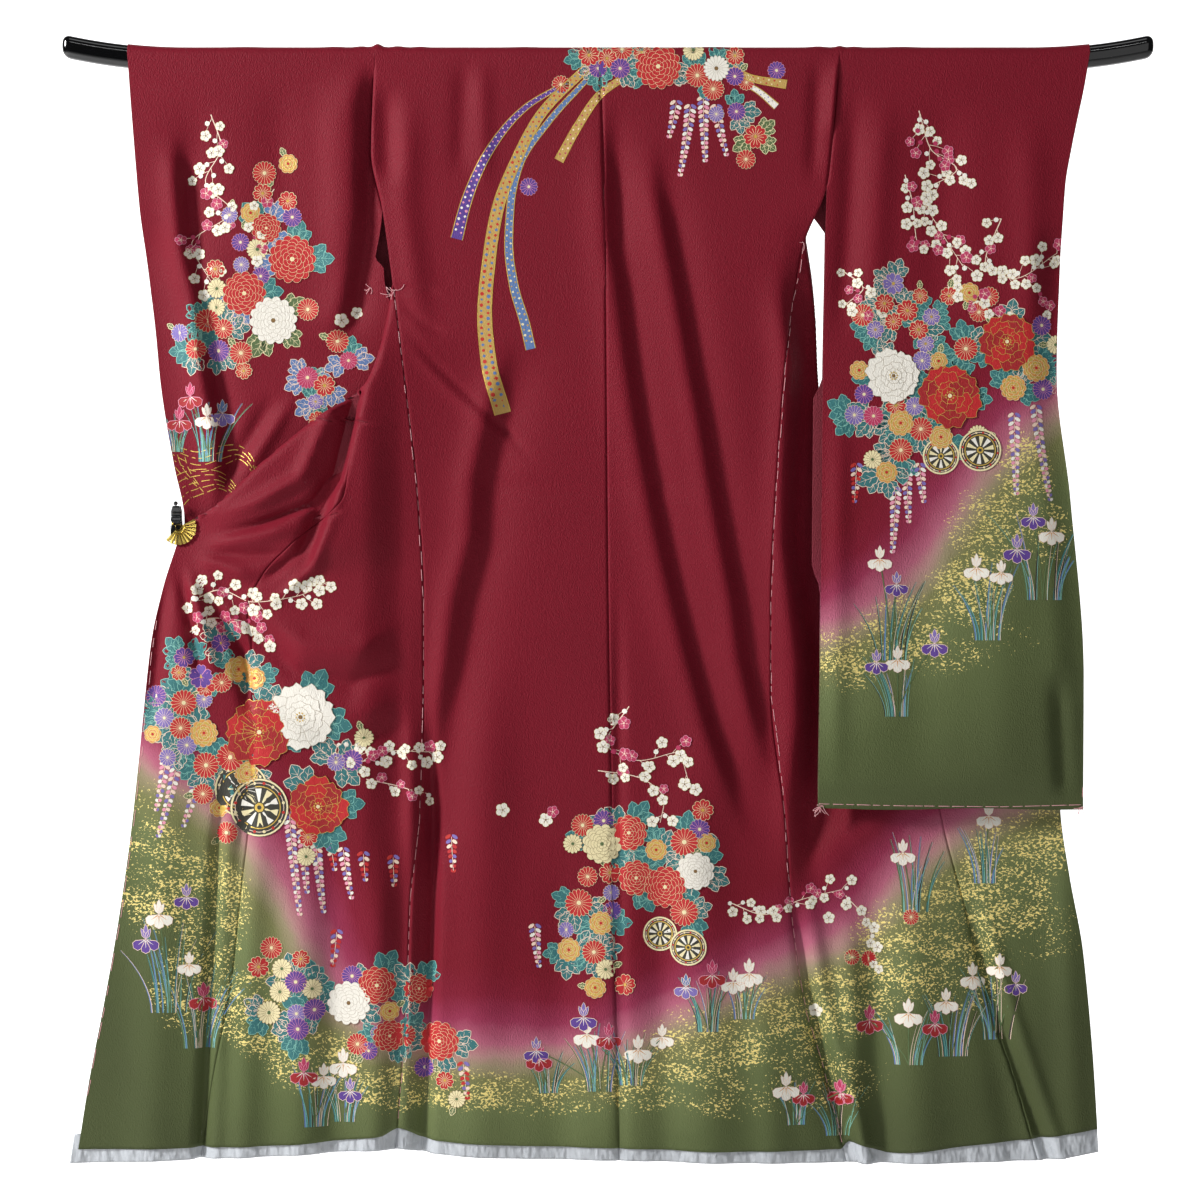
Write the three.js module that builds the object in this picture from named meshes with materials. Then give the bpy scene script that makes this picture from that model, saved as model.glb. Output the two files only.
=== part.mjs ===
// A furisode kimono hung by its sleeves on a lacquered rod, seen from the back.
//
// Millimetres, +Z up, the garment's back faces -Y. The origin is the middle of the rod's axis.
// Every piece of cloth is a wall of even thickness round a middle surface, which is worked out
// from outline tables (how far out and how high each edge runs) and a table of folds.
// "Out" is the distance from the centre line, towards the left (side -1) or the right (side 1).

import * as THREE from "three";

// ---------- Driving dimensions ----------

const CLOTH = 1.6; // wall of the silk
const FACING_CLOTH = 1.2; // wall of the white hem facing
const COLLAR_CLOTH = 2.4; // wall of the folded collar
const SEAM = 0.3; // gap between two sewn edges
const ROD = { halfLength: 780, height: 33, depth: 24, straight: 600, bend: 800, tip: 12 };
const ROD_GAP = 0.3; // between the rod and the cloth on it
const ROD_SIDES = 20;
const HEM_LEVEL = -1550; // height of the hem before its own line is applied
const HEM_ZONE = 260; // height over which the hem's line takes hold
const FACING_HEIGHT = 42; // white facing from its lower to its upper edge
const FACING_BEHIND = 2.15; // white facing's middle behind the silk's
const NECK_DROP = 4; // the back of the neck lies this far below the rod's axis, on the far side
const SLEEVE_FOOT = -1070; // height of the sleeves' lower edge
const CUFF_FOOT = -215; // lower end of the open part of a sleeve's outer edge
const SEAM_BEND = 48; // width in which a sleeve's walls come together at a sewn edge
const SEAM_START = 80; // height over which the outer seam closes below the cuff
const COLLAR_GAP = 0.8; // between the collar and the edge it is sewn to
const ARMHOLE_BEND = 34; // width in which the far layer meets the near one at the armhole
const OKUMI_TOP = -345; // the okumi starts below this height

// ---------- Fineness of the walls ----------

const TURN_STEPS = 6; // facets of the cloth over the rod
const BODY_COLUMNS = 8;
const OKUMI_COLUMNS = 6;
const SECTION_STEPS = 22; // points of each run of a section
// Heights of the rows where the cloth hangs, at the roll, in the slit, at the armhole, on the
// sleeves and where the clip pinches.
const ROW = { hem: 80, roll: 34, slit: 60, armhole: 70, sleeve: 76, clip: 22 };

const OVER_ROD = ROD.depth / 2 + ROD_GAP + CLOTH / 2; // radius of the cloth over the rod
const CREST = (ROD.height - ROD.depth) / 2; // height where the cloth starts to turn over it
const SHOULDER = -NECK_DROP - 2; // highest row of the fronts that is worked out from a section

// ---------- Outline tables ----------

// Outer edges of the body: the sleeve seam, the opening below it and then the side seam.
const SIDE_EDGE = {
  left: [
    { z: 20, out: 332 }, { z: -133, out: 338 }, { z: -214, out: 322 }, { z: -329, out: 306 },
    { z: -500, out: 285 }, { z: -616, out: 272 }, { z: -772, out: 263 }, { z: -901, out: 263 },
    { z: -1084, out: 269 }, { z: -1201, out: 282 }, { z: -1344, out: 287 }, { z: -1550, out: 301 },
  ],
  right: [
    { z: 20, out: 331 }, { z: -123, out: 319 }, { z: -182, out: 312 }, { z: -263, out: 280 },
    { z: -343, out: 265 }, { z: -472, out: 250 }, { z: -629, out: 239 }, { z: -772, out: 233 },
    { z: -901, out: 233 }, { z: -1085, out: 253 }, { z: -1227, out: 263 }, { z: -1364, out: 285 },
    { z: -1426, out: 305 }, { z: -1550, out: 336 },
  ],
};

// The okumi seam round the roll, as a share of the section, and then on the near layer.
const OKUMI_SHARE = {
  left: [
    { z: -330, share: 1 }, { z: -400, share: 0.68 }, { z: -460, share: 0.34 }, { z: -518, share: 0.27 },
  ],
  right: [
    { z: -330, share: 1 }, { z: -420, share: 0.6 }, { z: -480, share: 0.44 }, { z: -540, share: 0.395 },
  ],
};
const OKUMI_SEAM = {
  left: [
    { z: -518, out: 357 }, { z: -571, out: 365 }, { z: -625, out: 374 }, { z: -688, out: 445 },
    { z: -741, out: 494 }, { z: -790, out: 512 }, { z: -830, out: 507 }, { z: -1018, out: 505 },
    { z: -1201, out: 523 }, { z: -1310, out: 535 }, { z: -1464, out: 565 }, { z: -1550, out: 579 },
  ],
  right: [
    { z: -540, out: 345 }, { z: -600, out: 372 }, { z: -735, out: 425 }, { z: -900, out: 452 },
    { z: -1077, out: 477 }, { z: -1217, out: 513 }, { z: -1364, out: 549 }, { z: -1451, out: 578 },
    { z: -1550, out: 606 },
  ],
};

// The free edge: from the neck, behind the back, to the point where it comes to the front.
const FREE_EDGE = {
  left: [
    { z: 20, out: 90 }, { z: -120, out: 120 }, { z: -240, out: 160 }, { z: -330, out: 200 },
    { z: -420, out: 207 }, { z: -500, out: 218 }, { z: -545, out: 268 }, { z: -580, out: 356 },
    { z: -629, out: 470 }, { z: -668, out: 607 }, { z: -694, out: 615 }, { z: -772, out: 638 },
    { z: -829, out: 649 }, { z: -1004, out: 667 }, { z: -1103, out: 678 }, { z: -1227, out: 696 },
    { z: -1340, out: 716 }, { z: -1457, out: 739 }, { z: -1550, out: 754 },
  ],
  right: [
    { z: 20, out: 90 }, { z: -120, out: 120 }, { z: -240, out: 160 }, { z: -330, out: 200 },
    { z: -420, out: 212 }, { z: -520, out: 250 }, { z: -600, out: 340 }, { z: -680, out: 490 },
    { z: -735, out: 636 }, { z: -900, out: 644 }, { z: -1073, out: 649 }, { z: -1167, out: 661 },
    { z: -1276, out: 680 }, { z: -1426, out: 693 }, { z: -1550, out: 700 },
  ],
};

// The roll: where an opened front turns back on itself between the underarm and its free edge.
const ROLL = {
  left: [
    { z: -329, out: 310 }, { z: -386, out: 319 }, { z: -460, out: 342 }, { z: -518, out: 421 },
    { z: -580, out: 496 }, { z: -629, out: 549 }, { z: -668, out: 612 },
  ],
  right: [
    { z: -263, out: 284 }, { z: -313, out: 292 }, { z: -372, out: 298 }, { z: -466, out: 303 },
    { z: -520, out: 352 }, { z: -590, out: 440 }, { z: -650, out: 525 }, { z: -700, out: 598 },
    { z: -735, out: 640 },
  ],
};
const ROLL_RADIUS = 8;
const ROLL_FADE = 60; // height over which the roll flattens out at its lower end

const ARMHOLE_FOOT = { left: -214, right: -182 }; // end of the seam between body and sleeve
const UNDERARM = { left: -329, right: -263 }; // top of the side seam
const ROLL_FOOT = { left: -668, right: -735 }; // where the roll meets the free edge

const CENTRE_SEAM = [
  { z: 20, x: -11 }, { z: -272, x: -4 }, { z: -744, x: 0 }, { z: -1130, x: 6 }, { z: -1550, x: 15 },
];

// Sleeves: inner and outer edge, depth of the near and the far wall and of the outer seam.
const SLEEVE = {
  left: [
    { z: 20, inner: 332, outer: 687, near: -13.1, far: 13.1, seam: 0 },
    { z: -133, inner: 338, outer: 675, near: -13.2, far: 13.5, seam: 0 },
    { z: -214, inner: 322, outer: 668, near: -13, far: 13.5, seam: 0 },
    { z: -320, inner: 336, outer: 655, near: -9, far: 13, seam: 0 },
    { z: -386, inner: 323, outer: 647, near: -8, far: 13, seam: 0 },
    { z: -460, inner: 348, outer: 640, near: -7, far: 13, seam: 0 },
    { z: -515, inner: 364, outer: 632, near: -7, far: 13, seam: -1 },
    { z: -580, inner: 366, outer: 620, near: -7, far: 13, seam: -3 },
    { z: -658, inner: 352, outer: 605, near: -7, far: 13, seam: -5.5 },
    { z: -800, inner: 335, outer: 612, near: -7, far: 14, seam: 0 },
    { z: -1070, inner: 322, outer: 625, near: -7, far: 14, seam: 3 },
  ],
  right: [
    { z: 20, inner: 331, outer: 690, near: -13.1, far: 13.1, seam: 0 },
    { z: -22, inner: 328, outer: 683, near: -13.1, far: 13.1, seam: 0 },
    { z: -123, inner: 319, outer: 662, near: -13.4, far: 10.5, seam: -1 },
    { z: -182, inner: 312, outer: 652, near: -13.6, far: 9, seam: -2 },
    { z: -303, inner: 309, outer: 645, near: -18, far: 3, seam: -7 },
    { z: -453, inner: 306, outer: 640, near: -23, far: -1, seam: -12 },
    { z: -628, inner: 304, outer: 659, near: -26, far: -4, seam: -15 },
    { z: -882, inner: 302, outer: 678, near: -27, far: -5, seam: -16 },
    { z: -1070, inner: 299, outer: 677, near: -27, far: -5, seam: -16 },
  ],
};

// Depth of the cloth that faces the viewer, by height, at stations across the garment.
const NEAR = {
  stations: [-700, -480, -350, -290, 0, 245, 300, 480, 700],
  rows: [
    { z: 20, depths: [-13.1, -13.1, -13.1, -13.1, -13.1, -13.1, -13.1, -13.1, -13.1] },
    { z: -200, depths: [-20, -20, -13.2, -13.2, -13.4, -13.6, -13.6, -13.6, -13.6] },
    { z: -300, depths: [-28, -30, -16, -14, -14, -12, 2, 14, 16] },
    { z: -500, depths: [-28, -36, -32, -20, -15, -8, 9, 17, 18] },
    { z: -668, depths: [-10, -36, -38, -22, -16, -6, 9, 18, 20] },
    { z: -850, depths: [-26, -36, -36, -19, -16, -5, 9, 18, 19] },
    { z: -1100, depths: [-27, -35, -32, -15, -15, -4, 8, 14, 15] },
    { z: -1300, depths: [-24, -26, -24, -11, -15, -6, 2, 4, 6] },
    { z: -1550, depths: [-22, -20, -18, -8, -16, -8, -4, -6, 2] },
  ],
};

// Depth of the far layers, by height, at stations outwards.
const FAR = {
  left: {
    stations: [90, 200, 290, 342, 500, 700],
    rows: [
      { z: -6, depths: [13.1, 13.1, 13.1, 13.1, 13.1, 13.1] },
      { z: -214, depths: [15, 15, 14, 13.5, 13.5, 13.5] },
      { z: -329, depths: [17, 17, 16, 6, 0, 0] },
      { z: -460, depths: [17, 18, 15, -19, -23, -23] },
      { z: -600, depths: [17, 17, 10, -23, -24, -22] },
      { z: -668, depths: [17, 17, 10, -23, -23, -14] },
    ],
  },
  right: {
    stations: [90, 200, 280, 330, 500, 700],
    rows: [
      { z: -22, depths: [13.1, 13.1, 13.1, 13.1, 13.1, 13.1] },
      { z: -123, depths: [14, 13.5, 11.5, 10.5, 10.5, 10.5] },
      { z: -182, depths: [15, 14, 11, 9, 9, 9] },
      { z: -300, depths: [16, 16, 17, 18, 20, 20] },
      { z: -500, depths: [16, 18, 24, 28, 30, 30] },
      { z: -735, depths: [16, 20, 26, 30, 31, 29] },
    ],
  },
};

// Where the clip pinches the cloth flat against the sleeve's edge.
const PINCH = { x: -604, z: -674, reach: 54, near: -12.2, far: -8.8 };

// The largest folds: a ridge (negative, towards the viewer) or a hollow along a straight line.
const FOLDS = [
  { name: "main hanging fold", x: -322, z: -380, toX: -345, toZ: -760, wide: 26, deep: -13 },
  { name: "hollow under the clip", x: -570, z: -700, toX: -470, toZ: -930, wide: 30, deep: 9 },
  { name: "ridge from the clip to the hem", x: -615, z: -740, toX: -650, toZ: -1600, wide: 34, deep: -8 },
  { name: "drape across the left front", x: -470, z: -860, toX: -320, toZ: -830, wide: 34, deep: -7 },
  { name: "left okumi fold", x: -500, z: -900, toX: -575, toZ: -1600, wide: 20, deep: 8 },
  { name: "left front hem fold", x: -430, z: -1150, toX: -440, toZ: -1600, wide: 36, deep: -10 },
  { name: "crease beside the left side seam", x: -252, z: -700, toX: -280, toZ: -1600, wide: 18, deep: 10 },
  { name: "back fold left", x: -170, z: -800, toX: -190, toZ: -1600, wide: 42, deep: -9 },
  { name: "hollow beside the centre seam", x: 22, z: -90, toX: 36, toZ: -560, wide: 18, deep: 7 },
  { name: "long hollow in the right back", x: 54, z: -160, toX: 215, toZ: -1150, wide: 28, deep: 8 },
  { name: "back fold right", x: 120, z: -900, toX: 150, toZ: -1600, wide: 38, deep: -9 },
  { name: "ridge by the right side seam", x: 222, z: -330, toX: 212, toZ: -1000, wide: 22, deep: -8 },
  { name: "crease beside the right side seam", x: 282, z: -1290, toX: 335, toZ: -1600, wide: 21, deep: 8 },
  { name: "right front hem fold", x: 430, z: -1120, toX: 450, toZ: -1600, wide: 36, deep: -10 },
  { name: "right okumi fold", x: 500, z: -1120, toX: 590, toZ: -1600, wide: 22, deep: 7 },
];

// Hem line of the silk and the lower edge of the white facing, across the garment.
const HEM = [
  { x: -754, silk: -1554, facing: -1574 }, { x: -579, silk: -1552, facing: -1569 },
  { x: -326, silk: -1537, facing: -1557 }, { x: -299, silk: -1526, facing: -1556 },
  { x: -260, silk: -1542, facing: -1562 }, { x: -143, silk: -1550, facing: -1569 },
  { x: 3, silk: -1554, facing: -1572 }, { x: 189, silk: -1559, facing: -1576 },
  { x: 333, silk: -1558, facing: -1577 }, { x: 345, silk: -1547, facing: -1577 },
  { x: 405, silk: -1562, facing: -1577 }, { x: 513, silk: -1552, facing: -1576 },
  { x: 606, silk: -1543, facing: -1574 }, { x: 700, silk: -1529, facing: -1562 },
];

// White facing behind each panel's hem: how much lower it hangs than the facing's line, and how
// far it reaches past the panel's outer edge.
const FACINGS = [
  { panel: "okumi", side: -1, lower: 0, beyond: 10 },
  { panel: "front", side: -1, lower: -3, beyond: 0 },
  { panel: "back", side: -1, lower: 1, beyond: 0 },
  { panel: "back", side: 1, lower: -1, beyond: 0 },
  { panel: "front", side: 1, lower: 2, beyond: 0 },
  { panel: "okumi", side: 1, lower: -2, beyond: -3 },
];

// The collar's sewn edge follows the free edges; its other edge lies at these places.
const COLLAR = {
  left: [
    { z: -762, x: 588, toZ: -752, depth: -9 }, { z: -700, x: 566, toZ: -726, depth: -9.5 },
    { z: -664, x: 562, toZ: -700, depth: -12 }, { z: -644, x: 505, toZ: -690, depth: -17 },
    { z: -618, x: 435, toZ: -662, depth: -22 }, { z: -592, x: 362, toZ: -636, depth: -21 },
    { z: -566, x: 300, toZ: -604, depth: -2 }, { z: -546, x: 262, toZ: -590, depth: 12 },
    { z: -524, x: 216, toZ: -562, depth: 18 }, { z: -480, x: 162, toZ: -500, depth: 19 },
    { z: -400, x: 148, toZ: -404, depth: 19 }, { z: -330, x: 144, toZ: -316, depth: 19 },
    { z: -240, x: 106, toZ: -222, depth: 18.5 }, { z: -120, x: 66, toZ: -106, depth: 18 },
    { z: -8, x: 48, toZ: -62, depth: 17 },
  ],
  right: [
    { z: -733, x: 604, toZ: -786, depth: 31 }, { z: -710, x: 540, toZ: -762, depth: 33 },
    { z: -670, x: 434, toZ: -716, depth: 33 }, { z: -590, x: 282, toZ: -628, depth: 28 },
    { z: -500, x: 190, toZ: -528, depth: 21 }, { z: -410, x: 156, toZ: -420, depth: 19 },
    { z: -330, x: 144, toZ: -320, depth: 19 }, { z: -240, x: 106, toZ: -222, depth: 18.5 },
    { z: -120, x: 66, toZ: -106, depth: 18 }, { z: -8, x: 48, toZ: -62, depth: 17 },
  ],
};
// Behind the neck: stations of the sewn edge, how far that lies behind the body, how much
// shorter the other edge is, and where it lies.
const COLLAR_NAPE = { stations: [-70, 0, 70], behind: 0.2, narrows: 0.5, z: -62, depth: 17 };

// The clip: a spring clip with a small fan on it, closed on the cloth's edge.
const CLIP = {
  x: -616, pinZ: -651, pinY: -7, pinRadius: 2,
  jaw: 1.2, halfMouth: 8.6, width: 15, footZ: -688, leverTop: 13,
  blackBall: 3.2, goldBall: 2,
};
const FAN = {
  x: -612, y: -17.75, z: -668.4, // the fan's hub
  from: 21, to: -129, // its first and last rib, in degrees
  ribs: 11, hub: 4, reach: 25, pleat: 0.6, wall: 1,
};

const FINISH = {
  silk: new THREE.MeshStandardMaterial({ color: "#7d1a31", roughness: 0.72, metalness: 0 }),
  satin: new THREE.MeshStandardMaterial({ color: "#e4e5e8", roughness: 0.35, metalness: 0 }),
  lacquer: new THREE.MeshStandardMaterial({ color: "#08090c", roughness: 0.12, metalness: 0 }),
  gold: new THREE.MeshStandardMaterial({ color: "#c9a545", roughness: 0.3, metalness: 1 }),
  blackMetal: new THREE.MeshStandardMaterial({ color: "#111214", roughness: 0.3, metalness: 0.6 }),
};

// ---------- Small mathematics ----------

const mix = (a, b, t) => a + (b - a) * t;
const clamp01 = (t) => Math.min(1, Math.max(0, t));
const ease = (t) => clamp01(t) ** 2 * (3 - 2 * clamp01(t));
const bell = (d) => Math.exp(-d * d);
const sideName = (side) => (side < 0 ? "left" : "right");
const point3 = (x, y, z) => new THREE.Vector3(x, y, z);

/** Value at `at` of a smooth curve without overshoot through the points (keys[i], values[i]). */
function curve(keys, values, at) {
  const last = keys.length - 1;
  const rising = Math.sign(keys[last] - keys[0]);
  if (rising * at <= rising * keys[0]) return values[0];
  if (rising * at >= rising * keys[last]) return values[last];
  let i = 0;
  while (rising * at > rising * keys[i + 1]) i += 1;
  const slope = (j) => (values[j + 1] - values[j]) / (keys[j + 1] - keys[j]);
  const tangent = (j) => {
    if (j === 0) return slope(0);
    if (j === last) return slope(last - 1);
    const [before, after] = [slope(j - 1), slope(j)];
    return before * after <= 0 ? 0 : (2 * before * after) / (before + after);
  };
  const h = keys[i + 1] - keys[i];
  const t = (at - keys[i]) / h;
  const start = (1 + 2 * t) * (1 - t) ** 2 * values[i] + t * (1 - t) ** 2 * h * tangent(i);
  const end = t * t * (3 - 2 * t) * values[i + 1] + t * t * (t - 1) * h * tangent(i + 1);
  return start + end;
}

/** A column of a table at a height or place. */
function lookup(rows, key, name, at) {
  return curve(rows.map((row) => row[key]), rows.map((row) => row[name]), at);
}

/** Outward distance of an edge of one side at height z. */
const outOf = (table, side, z) => lookup(table[sideName(side)], "z", "out", z);

/** Depth from a map of stations by height. */
function depthOn({ stations, rows }, at, z) {
  const levels = rows.map((row) => row.z);
  const across = stations.map((_, i) => curve(levels, rows.map((row) => row.depths[i]), z));
  return curve(stations, across, at);
}

/** Depth added by the folds at a place: each starts and, above the hem, ends gently. */
function foldDepth(x, z) {
  const taper = 0.3;
  let depth = 0;
  for (const fold of FOLDS) {
    const [dx, dz] = [fold.toX - fold.x, fold.toZ - fold.z];
    const length = Math.hypot(dx, dz);
    const t = ((x - fold.x) * dx + (z - fold.z) * dz) / (length * length);
    const across = ((x - fold.x) * dz - (z - fold.z) * dx) / length;
    const runsOut = fold.toZ < HEM_LEVEL ? 1 : ease((1 - t) / taper);
    depth += fold.deep * bell(across / fold.wide) * ease(t / taper) * runsOut;
  }
  return depth;
}

const pinched = (x, z) => bell(Math.hypot(x - PINCH.x, z - PINCH.z) / PINCH.reach);

/** Depth of the cloth that faces the viewer. */
function nearDepth(x, z) {
  return mix(depthOn(NEAR, x, z) + foldDepth(x, z), PINCH.near, pinched(x, z));
}

/** Depth of the far layers: behind the back and, past the left underarm, in front of the sleeve. */
function farDepth(side, out, z) {
  return mix(depthOn(FAR[sideName(side)], out, z), PINCH.far, pinched(side * out, z));
}

/** A point with the hem's own line applied to its height. */
function hemmed(point) {
  const shift = lookup(HEM, "x", "silk", point.x) - HEM_LEVEL;
  point.z += shift * ease((HEM_LEVEL + HEM_ZONE - point.z) / HEM_ZONE);
  return point;
}

const RISE_FADE = 60; // height below the rod over which the sleeves stop following its rise

/** Rise of the rod's axis, and of the cloth on it, towards the ends. */
const rodRise = (x) => Math.max(0, Math.abs(x) - ROD.straight) ** 2 / (2 * ROD.bend);

/** Values from `from` to `to` at about even steps. */
function heights(from, to, spacing) {
  const count = Math.max(1, Math.round(Math.abs(to - from) / spacing));
  return Array.from({ length: count + 1 }, (_, i) => mix(from, to, i / count));
}

/** Point at share t of the length of a polyline. */
function along(points, lengths, t) {
  let left = t * lengths.reduce((sum, length) => sum + length, 0);
  let i = 0;
  while (i < lengths.length - 1 && left > lengths[i]) {
    left -= lengths[i];
    i += 1;
  }
  return points[i].clone().lerp(points[i + 1], lengths[i] > 0 ? left / lengths[i] : 0);
}

// ---------- Closed solids from grids and rings ----------

/**
 * Closed wall of even thickness round the surface place(u, v), with u and v from 0 to 1.
 * place also gives points just past u = 0 and 1, so that both sides of a seam lean alike.
 */
function wall(place, columns, rows, thick) {
  const step = 1e-3;
  const layer = (columns + 1) * (rows + 1);
  const index = (face, i, j) => face * layer + j * (columns + 1) + i;
  const positions = new Float32Array(2 * layer * 3);
  for (let j = 0; j <= rows; j += 1) {
    for (let i = 0; i <= columns; i += 1) {
      const [u, v] = [i / columns, j / rows];
      const point = place(u, v);
      const alongU = place(u + step, v).sub(place(u - step, v));
      const alongV = place(u, Math.min(1, v + step)).sub(place(u, Math.max(0, v - step)));
      const half = alongU.cross(alongV).normalize().multiplyScalar(thick / 2);
      point.clone().add(half).toArray(positions, index(0, i, j) * 3);
      point.clone().sub(half).toArray(positions, index(1, i, j) * 3);
    }
  }
  const faces = [];
  const quad = (a, b, c, d) => faces.push(a, b, c, a, c, d);
  for (let j = 0; j < rows; j += 1) {
    for (let i = 0; i < columns; i += 1) {
      quad(index(0, i, j), index(0, i + 1, j), index(0, i + 1, j + 1), index(0, i, j + 1));
      quad(index(1, i, j), index(1, i, j + 1), index(1, i + 1, j + 1), index(1, i + 1, j));
    }
  }
  for (let i = 0; i < columns; i += 1) {
    quad(index(0, i, 0), index(1, i, 0), index(1, i + 1, 0), index(0, i + 1, 0));
    quad(index(0, i, rows), index(0, i + 1, rows), index(1, i + 1, rows), index(1, i, rows));
  }
  for (let j = 0; j < rows; j += 1) {
    const k = columns;
    quad(index(0, 0, j), index(0, 0, j + 1), index(1, 0, j + 1), index(1, 0, j));
    quad(index(0, k, j), index(1, k, j), index(1, k, j + 1), index(0, k, j + 1));
  }
  return indexed(positions, faces);
}

/** Rings of equal point counts joined in order and closed by a fan at both ends. */
function loft(rings) {
  const count = rings[0].length;
  const positions = rings.flat().flatMap((point) => point.toArray());
  const faces = [];
  for (let r = 0; r < rings.length - 1; r += 1) {
    for (let i = 0; i < count; i += 1) {
      const [a, b] = [r * count + i, r * count + ((i + 1) % count)];
      faces.push(a, b, b + count, a, b + count, a + count);
    }
  }
  const last = (rings.length - 1) * count;
  for (let i = 1; i < count - 1; i += 1) faces.push(0, i + 1, i, last, last + i, last + i + 1);
  return indexed(new Float32Array(positions), faces);
}

/** Geometry from positions and faces, with its faces turned outwards. */
function indexed(positions, faces) {
  const corner = (i) => new THREE.Vector3().fromArray(positions, i * 3);
  let volume = 0;
  for (let f = 0; f < faces.length; f += 3) {
    volume += corner(faces[f]).dot(corner(faces[f + 1]).cross(corner(faces[f + 2])));
  }
  const geometry = new THREE.BufferGeometry();
  geometry.setAttribute("position", new THREE.BufferAttribute(positions, 3));
  geometry.setIndex(volume < 0 ? faces.reverse() : faces);
  return geometry;
}

function named(name, geometry, material) {
  const mesh = new THREE.Mesh(geometry, material);
  mesh.name = name;
  return mesh;
}

// ---------- Body: one length of cloth on each side, from the back hem to the front hem ----------

/**
 * Cross-section of one front at height z, from its side edge to its free edge: outwards on the
 * near layer, round the roll and back on the far layer, as far as each reaches at that height.
 */
function makeSection(side, z) {
  const name = sideName(side);
  const edge = outOf(SIDE_EDGE, side, z);
  const end = outOf(FREE_EDGE, side, z);
  const points = [];
  const add = (out, y) => points.push(point3(side * out, y, z));
  const run = (from, to, depthAt) => {
    for (let i = 0; i <= SECTION_STEPS; i += 1) {
      const out = mix(from, to, i / SECTION_STEPS);
      add(out, depthAt(out));
    }
  };
  if (z > UNDERARM[name]) {
    const slit = ease((ARMHOLE_FOOT[name] - z) / (ARMHOLE_FOOT[name] - UNDERARM[name]));
    const seamDepth = mix(farDepth(side, edge, z), nearDepth(side * edge, z), slit);
    const nearSeam = (out) => ease((out - edge + ARMHOLE_BEND) / ARMHOLE_BEND);
    run(edge - SEAM / 2, end, (out) => mix(farDepth(side, out, z), seamDepth, nearSeam(out)));
  } else if (z > ROLL_FOOT[name]) {
    const roll = outOf(ROLL, side, z);
    const turn = ease((z - ROLL_FOOT[name]) / ROLL_FADE);
    const radius = Math.min(ROLL_RADIUS * turn, roll - edge - 0.5);
    const turnAt = roll - radius;
    run(edge + SEAM / 2, turnAt, (out) => nearDepth(side * out, z));
    const nearEnd = nearDepth(side * turnAt, z);
    const farAt = (out) => mix(nearDepth(side * out, z), farDepth(side, out, z), turn);
    const farEnd = farAt(turnAt);
    for (let i = 1; i < SECTION_STEPS; i += 1) {
      const angle = (Math.PI * i) / SECTION_STEPS;
      add(turnAt + radius * Math.sin(angle), mix(nearEnd, farEnd, (1 - Math.cos(angle)) / 2));
    }
    run(turnAt, Math.min(end, turnAt - 0.5), farAt);
  } else {
    run(edge + SEAM / 2, end, (out) => nearDepth(side * out, z));
  }
  const lengths = points.slice(1).map((point, i) => point.distanceTo(points[i]));
  return { points, lengths, total: lengths.reduce((sum, length) => sum + length, 0) };
}

const sections = new Map();
function section(side, z) {
  const key = `${side} ${z}`;
  if (!sections.has(key)) sections.set(key, makeSection(side, z));
  return sections.get(key);
}

/** Share of a front's section at which its okumi seam lies. */
function okumiShare(side, z) {
  const table = OKUMI_SHARE[sideName(side)];
  const seamStart = table[table.length - 1].z;
  if (z > seamStart) return lookup(table, "z", "share", z);
  const { points, lengths, total } = section(side, z);
  const seamOut = outOf(OKUMI_SEAM, side, z);
  const passed = points.findIndex((point) => side * point.x >= seamOut);
  const before = lengths.slice(0, passed - 1).reduce((sum, length) => sum + length, 0);
  const [inner, outer] = [side * points[passed - 1].x, side * points[passed].x];
  return (before + lengths[passed - 1] * ((seamOut - inner) / (outer - inner))) / total;
}

/** Gap along the okumi seam: wider where it turns round the roll. */
function seamGap(side, z) {
  const table = OKUMI_SHARE[sideName(side)];
  return z > table[table.length - 1].z - ROLL_FADE ? 2 * SEAM : SEAM;
}

/** Point of a front's section at a share of its length, moved on by a short distance. */
function sectionPoint(side, z, share, moved = 0) {
  const { points, lengths, total } = section(side, z);
  return hemmed(along(points, lengths, clamp01(share + moved / total)));
}

/** Heights of the rows that sewn panels share, from the hem to the underarm. */
function lowerHeights(side) {
  const foot = ROLL_FOOT[sideName(side)];
  const hanging = heights(HEM_LEVEL, foot - 2 * ROW.clip, ROW.hem);
  return [...hanging, foot - ROW.clip, ...heights(foot, UNDERARM[sideName(side)], ROW.roll)];
}

/** The same from the underarm to the shoulder. */
function upperHeights(side) {
  const foot = ARMHOLE_FOOT[sideName(side)];
  const slit = heights(UNDERARM[sideName(side)], foot, ROW.slit).slice(1, -1);
  return [...slit, ...heights(foot, SHOULDER, ROW.armhole)];
}

/** Value at share t of a list of values, between its items and a little past its ends. */
function onList(list, t) {
  const at = t * (list.length - 1);
  const i = Math.min(Math.max(Math.floor(at), 0), list.length - 2);
  return mix(list[i], list[i + 1], at - i);
}

// Lengths along the body's cloth, from the back hem over the rod to the front hem.
const BACK_LENGTH = CREST - HEM_LEVEL;
const TURN_LENGTH = Math.PI * OVER_ROD;
const backAt = (z) => z - HEM_LEVEL;
const frontAt = (z) => BACK_LENGTH + TURN_LENGTH + CREST - z;

/** Rows of the body, as lengths from the back hem. */
function bodyRows(side) {
  const rising = [...lowerHeights(side), ...upperHeights(side)];
  const turn = heights(BACK_LENGTH, BACK_LENGTH + TURN_LENGTH, TURN_LENGTH / TURN_STEPS);
  const falling = [-NECK_DROP, ...rising.toReversed()];
  return [...rising.map(backAt), ...turn, ...falling.map(frontAt)];
}

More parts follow.
